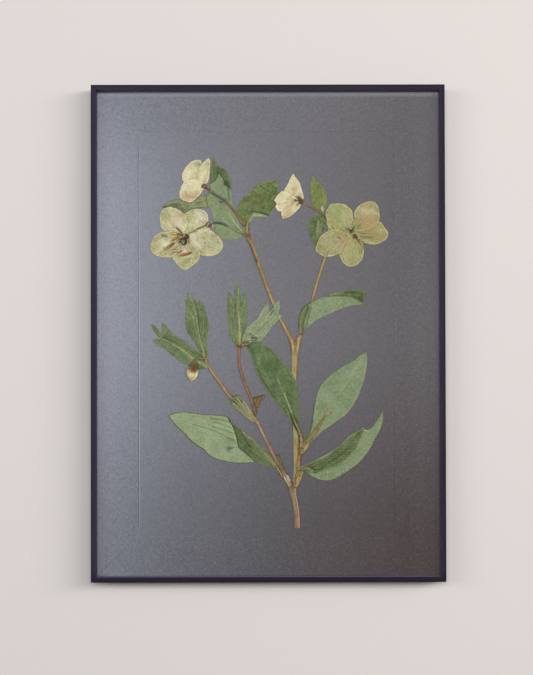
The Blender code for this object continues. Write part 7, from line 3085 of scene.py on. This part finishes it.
@dataclass(frozen=True)
class SoftPanel:
    """A soft light panel and its share of the light that falls on the wall.

    Its energy grows with its distance and its slant, so that the share at the frame stays the same.
    """

    name: str
    where: tuple[float, float, float]
    wide: float
    tall: float
    share: float
    colour: Colour = (1.0, 1.0, 1.0)

    def build(self) -> None:
        """Hangs the panel so that it faces the frame."""
        data = bpy.data.lights.new(self.name, "AREA")
        data.shape = "RECTANGLE"
        data.size, data.size_y = self.wide, self.tall
        reach = Vector(self.where)
        data.energy = self.share * math.pi**2 * reach.length_squared * reach.length / abs(reach.y)
        data.color = self.colour
        made = stand(self.name, data)
        made.location = reach
        made.rotation_mode = "QUATERNION"
        made.rotation_quaternion = (-reach).to_track_quat("-Z", "Y")
        made.visible_glossy = made.visible_transmission = False


@dataclass
class Studio:
    """The camera at the photograph's angle, soft lights and the pale wall."""

    distance: float = 1.2
    camera_x: float = -4.42 * MM
    camera_z: float = -20.68 * MM
    yaw: float = math.radians(-0.1406)
    pitch: float = math.radians(0.7962)
    roll: float = math.radians(0.1102)
    lens: float = 74.48
    sensor: float = 36.0
    wall: Colour = srgb(216, 210, 207)
    wall_gap: float = 0.3 * MM
    wall_reach: float = 1.2
    wall_fade: tuple[float, float] = (500.0, 1000.0)
    ambient: float = 0.1
    panels: tuple[SoftPanel, ...] = (
        SoftPanel("front_panel", (0.0, -3.0, 0.62), 1.5, 0.8, 0.49),
        SoftPanel("right_panel", (2.0, -2.0, 0.62), 2.6, 0.8, 0.42, (1.0, 0.99, 0.97)),
        SoftPanel("left_panel", (-2.0, -2.2, 0.42), 2.0, 0.8, 0.17, (0.97, 0.99, 1.0)),
        SoftPanel("rear_panel", (-1.6, 2.2, 1.0), 2.4, 1.6, 0.75),
        SoftPanel("rear_side_panel", (2.0, 1.6, 0.6), 1.6, 1.6, 0.3),
    )

    def build(self) -> None:
        """Makes the camera, the lights and the wall."""
        self.camera()
        self.room()
        self.backdrop()
        for panel in self.panels:
            panel.build()
        bpy.context.scene.view_settings.view_transform = "Standard"

    def camera(self) -> None:
        """Stands the camera where the photograph was taken from."""
        data = bpy.data.cameras.new("camera")
        data.lens = self.lens
        data.sensor_width = self.sensor
        made = stand("camera", data)
        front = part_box("rail_left")[0][1]
        turn = Matrix.Identity(4)
        for angle, axis in ((self.yaw, "Z"), (self.pitch, "X"), (self.roll, "Y"), (math.pi / 2, "X")):
            turn = turn @ Matrix.Rotation(angle, 4, axis)
        made.matrix_world = Matrix.Translation((self.camera_x, front - self.distance, self.camera_z)) @ turn
        bpy.context.scene.camera = made

    def room(self) -> None:
        """A pale room round the set, dim enough to leave the light to the panels."""
        world = bpy.data.worlds.new("room")
        bpy.context.scene.world = world
        world.use_nodes = True
        tree = world.node_tree
        ground = tree.nodes["Background"]
        ground.inputs["Color"].default_value = (*self.wall, 1)
        seen = tree.nodes.new("ShaderNodeLightPath")
        level = tree.nodes.new("ShaderNodeMapRange")
        tree.links.new(seen.outputs["Is Camera Ray"], level.inputs[0])
        level.inputs["To Min"].default_value = self.ambient / self.wall[1]
        level.inputs["To Max"].default_value = 1.0
        tree.links.new(level.outputs[0], ground.inputs["Strength"])

    def backdrop(self) -> None:
        """The plain wall, there only for the front views, so that the back of the frame shows too."""
        reach, back = self.wall_reach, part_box("rail_left")[1][1] + self.wall_gap
        mix = Recipe("pale_wall")
        here = mix.position()
        mix.set(Base_Color=self.wall, Roughness=0.95, Specular_IOR_Level=0.1)
        mix.bump(mix.noise(here, 0.12, 4, 0.6), 0.0004, 0.4)
        side = mix.add("ShaderNodeNewGeometry", output="Backfacing")
        seen = mix.add("ShaderNodeLightPath", output="Is Camera Ray")
        far = mix.add("ShaderNodeVectorMath", {"operation": "LENGTH"}, {0: here}, "Value")
        share = seen * (1 - side) * far.fade(self.wall_fade[1], self.wall_fade[0])
        mix.layer(share, mix.add("ShaderNodeBsdfTransparent", output="BSDF"), mix.body())
        data = bpy.data.meshes.new("wall")
        corners = [(x * reach, back, z * reach) for x, z in ((-1, -1), (1, -1), (1, 1), (-1, 1))]
        data.from_pydata(corners, [], [(0, 1, 2, 3)])
        data.materials.append(mix.material)
        stand("wall", data)


def main() -> None:
    """Builds the frame and the specimen, then the studio."""
    logging.basicConfig(level=logging.INFO, format="%(message)s")
    for maker in (Rails(), Boards(), Hardware(), Specimen(), Studio()):
        LOG.info("making %s", type(maker).__name__)
        maker.build()
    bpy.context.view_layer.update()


if __name__ == "__main__":
    main()
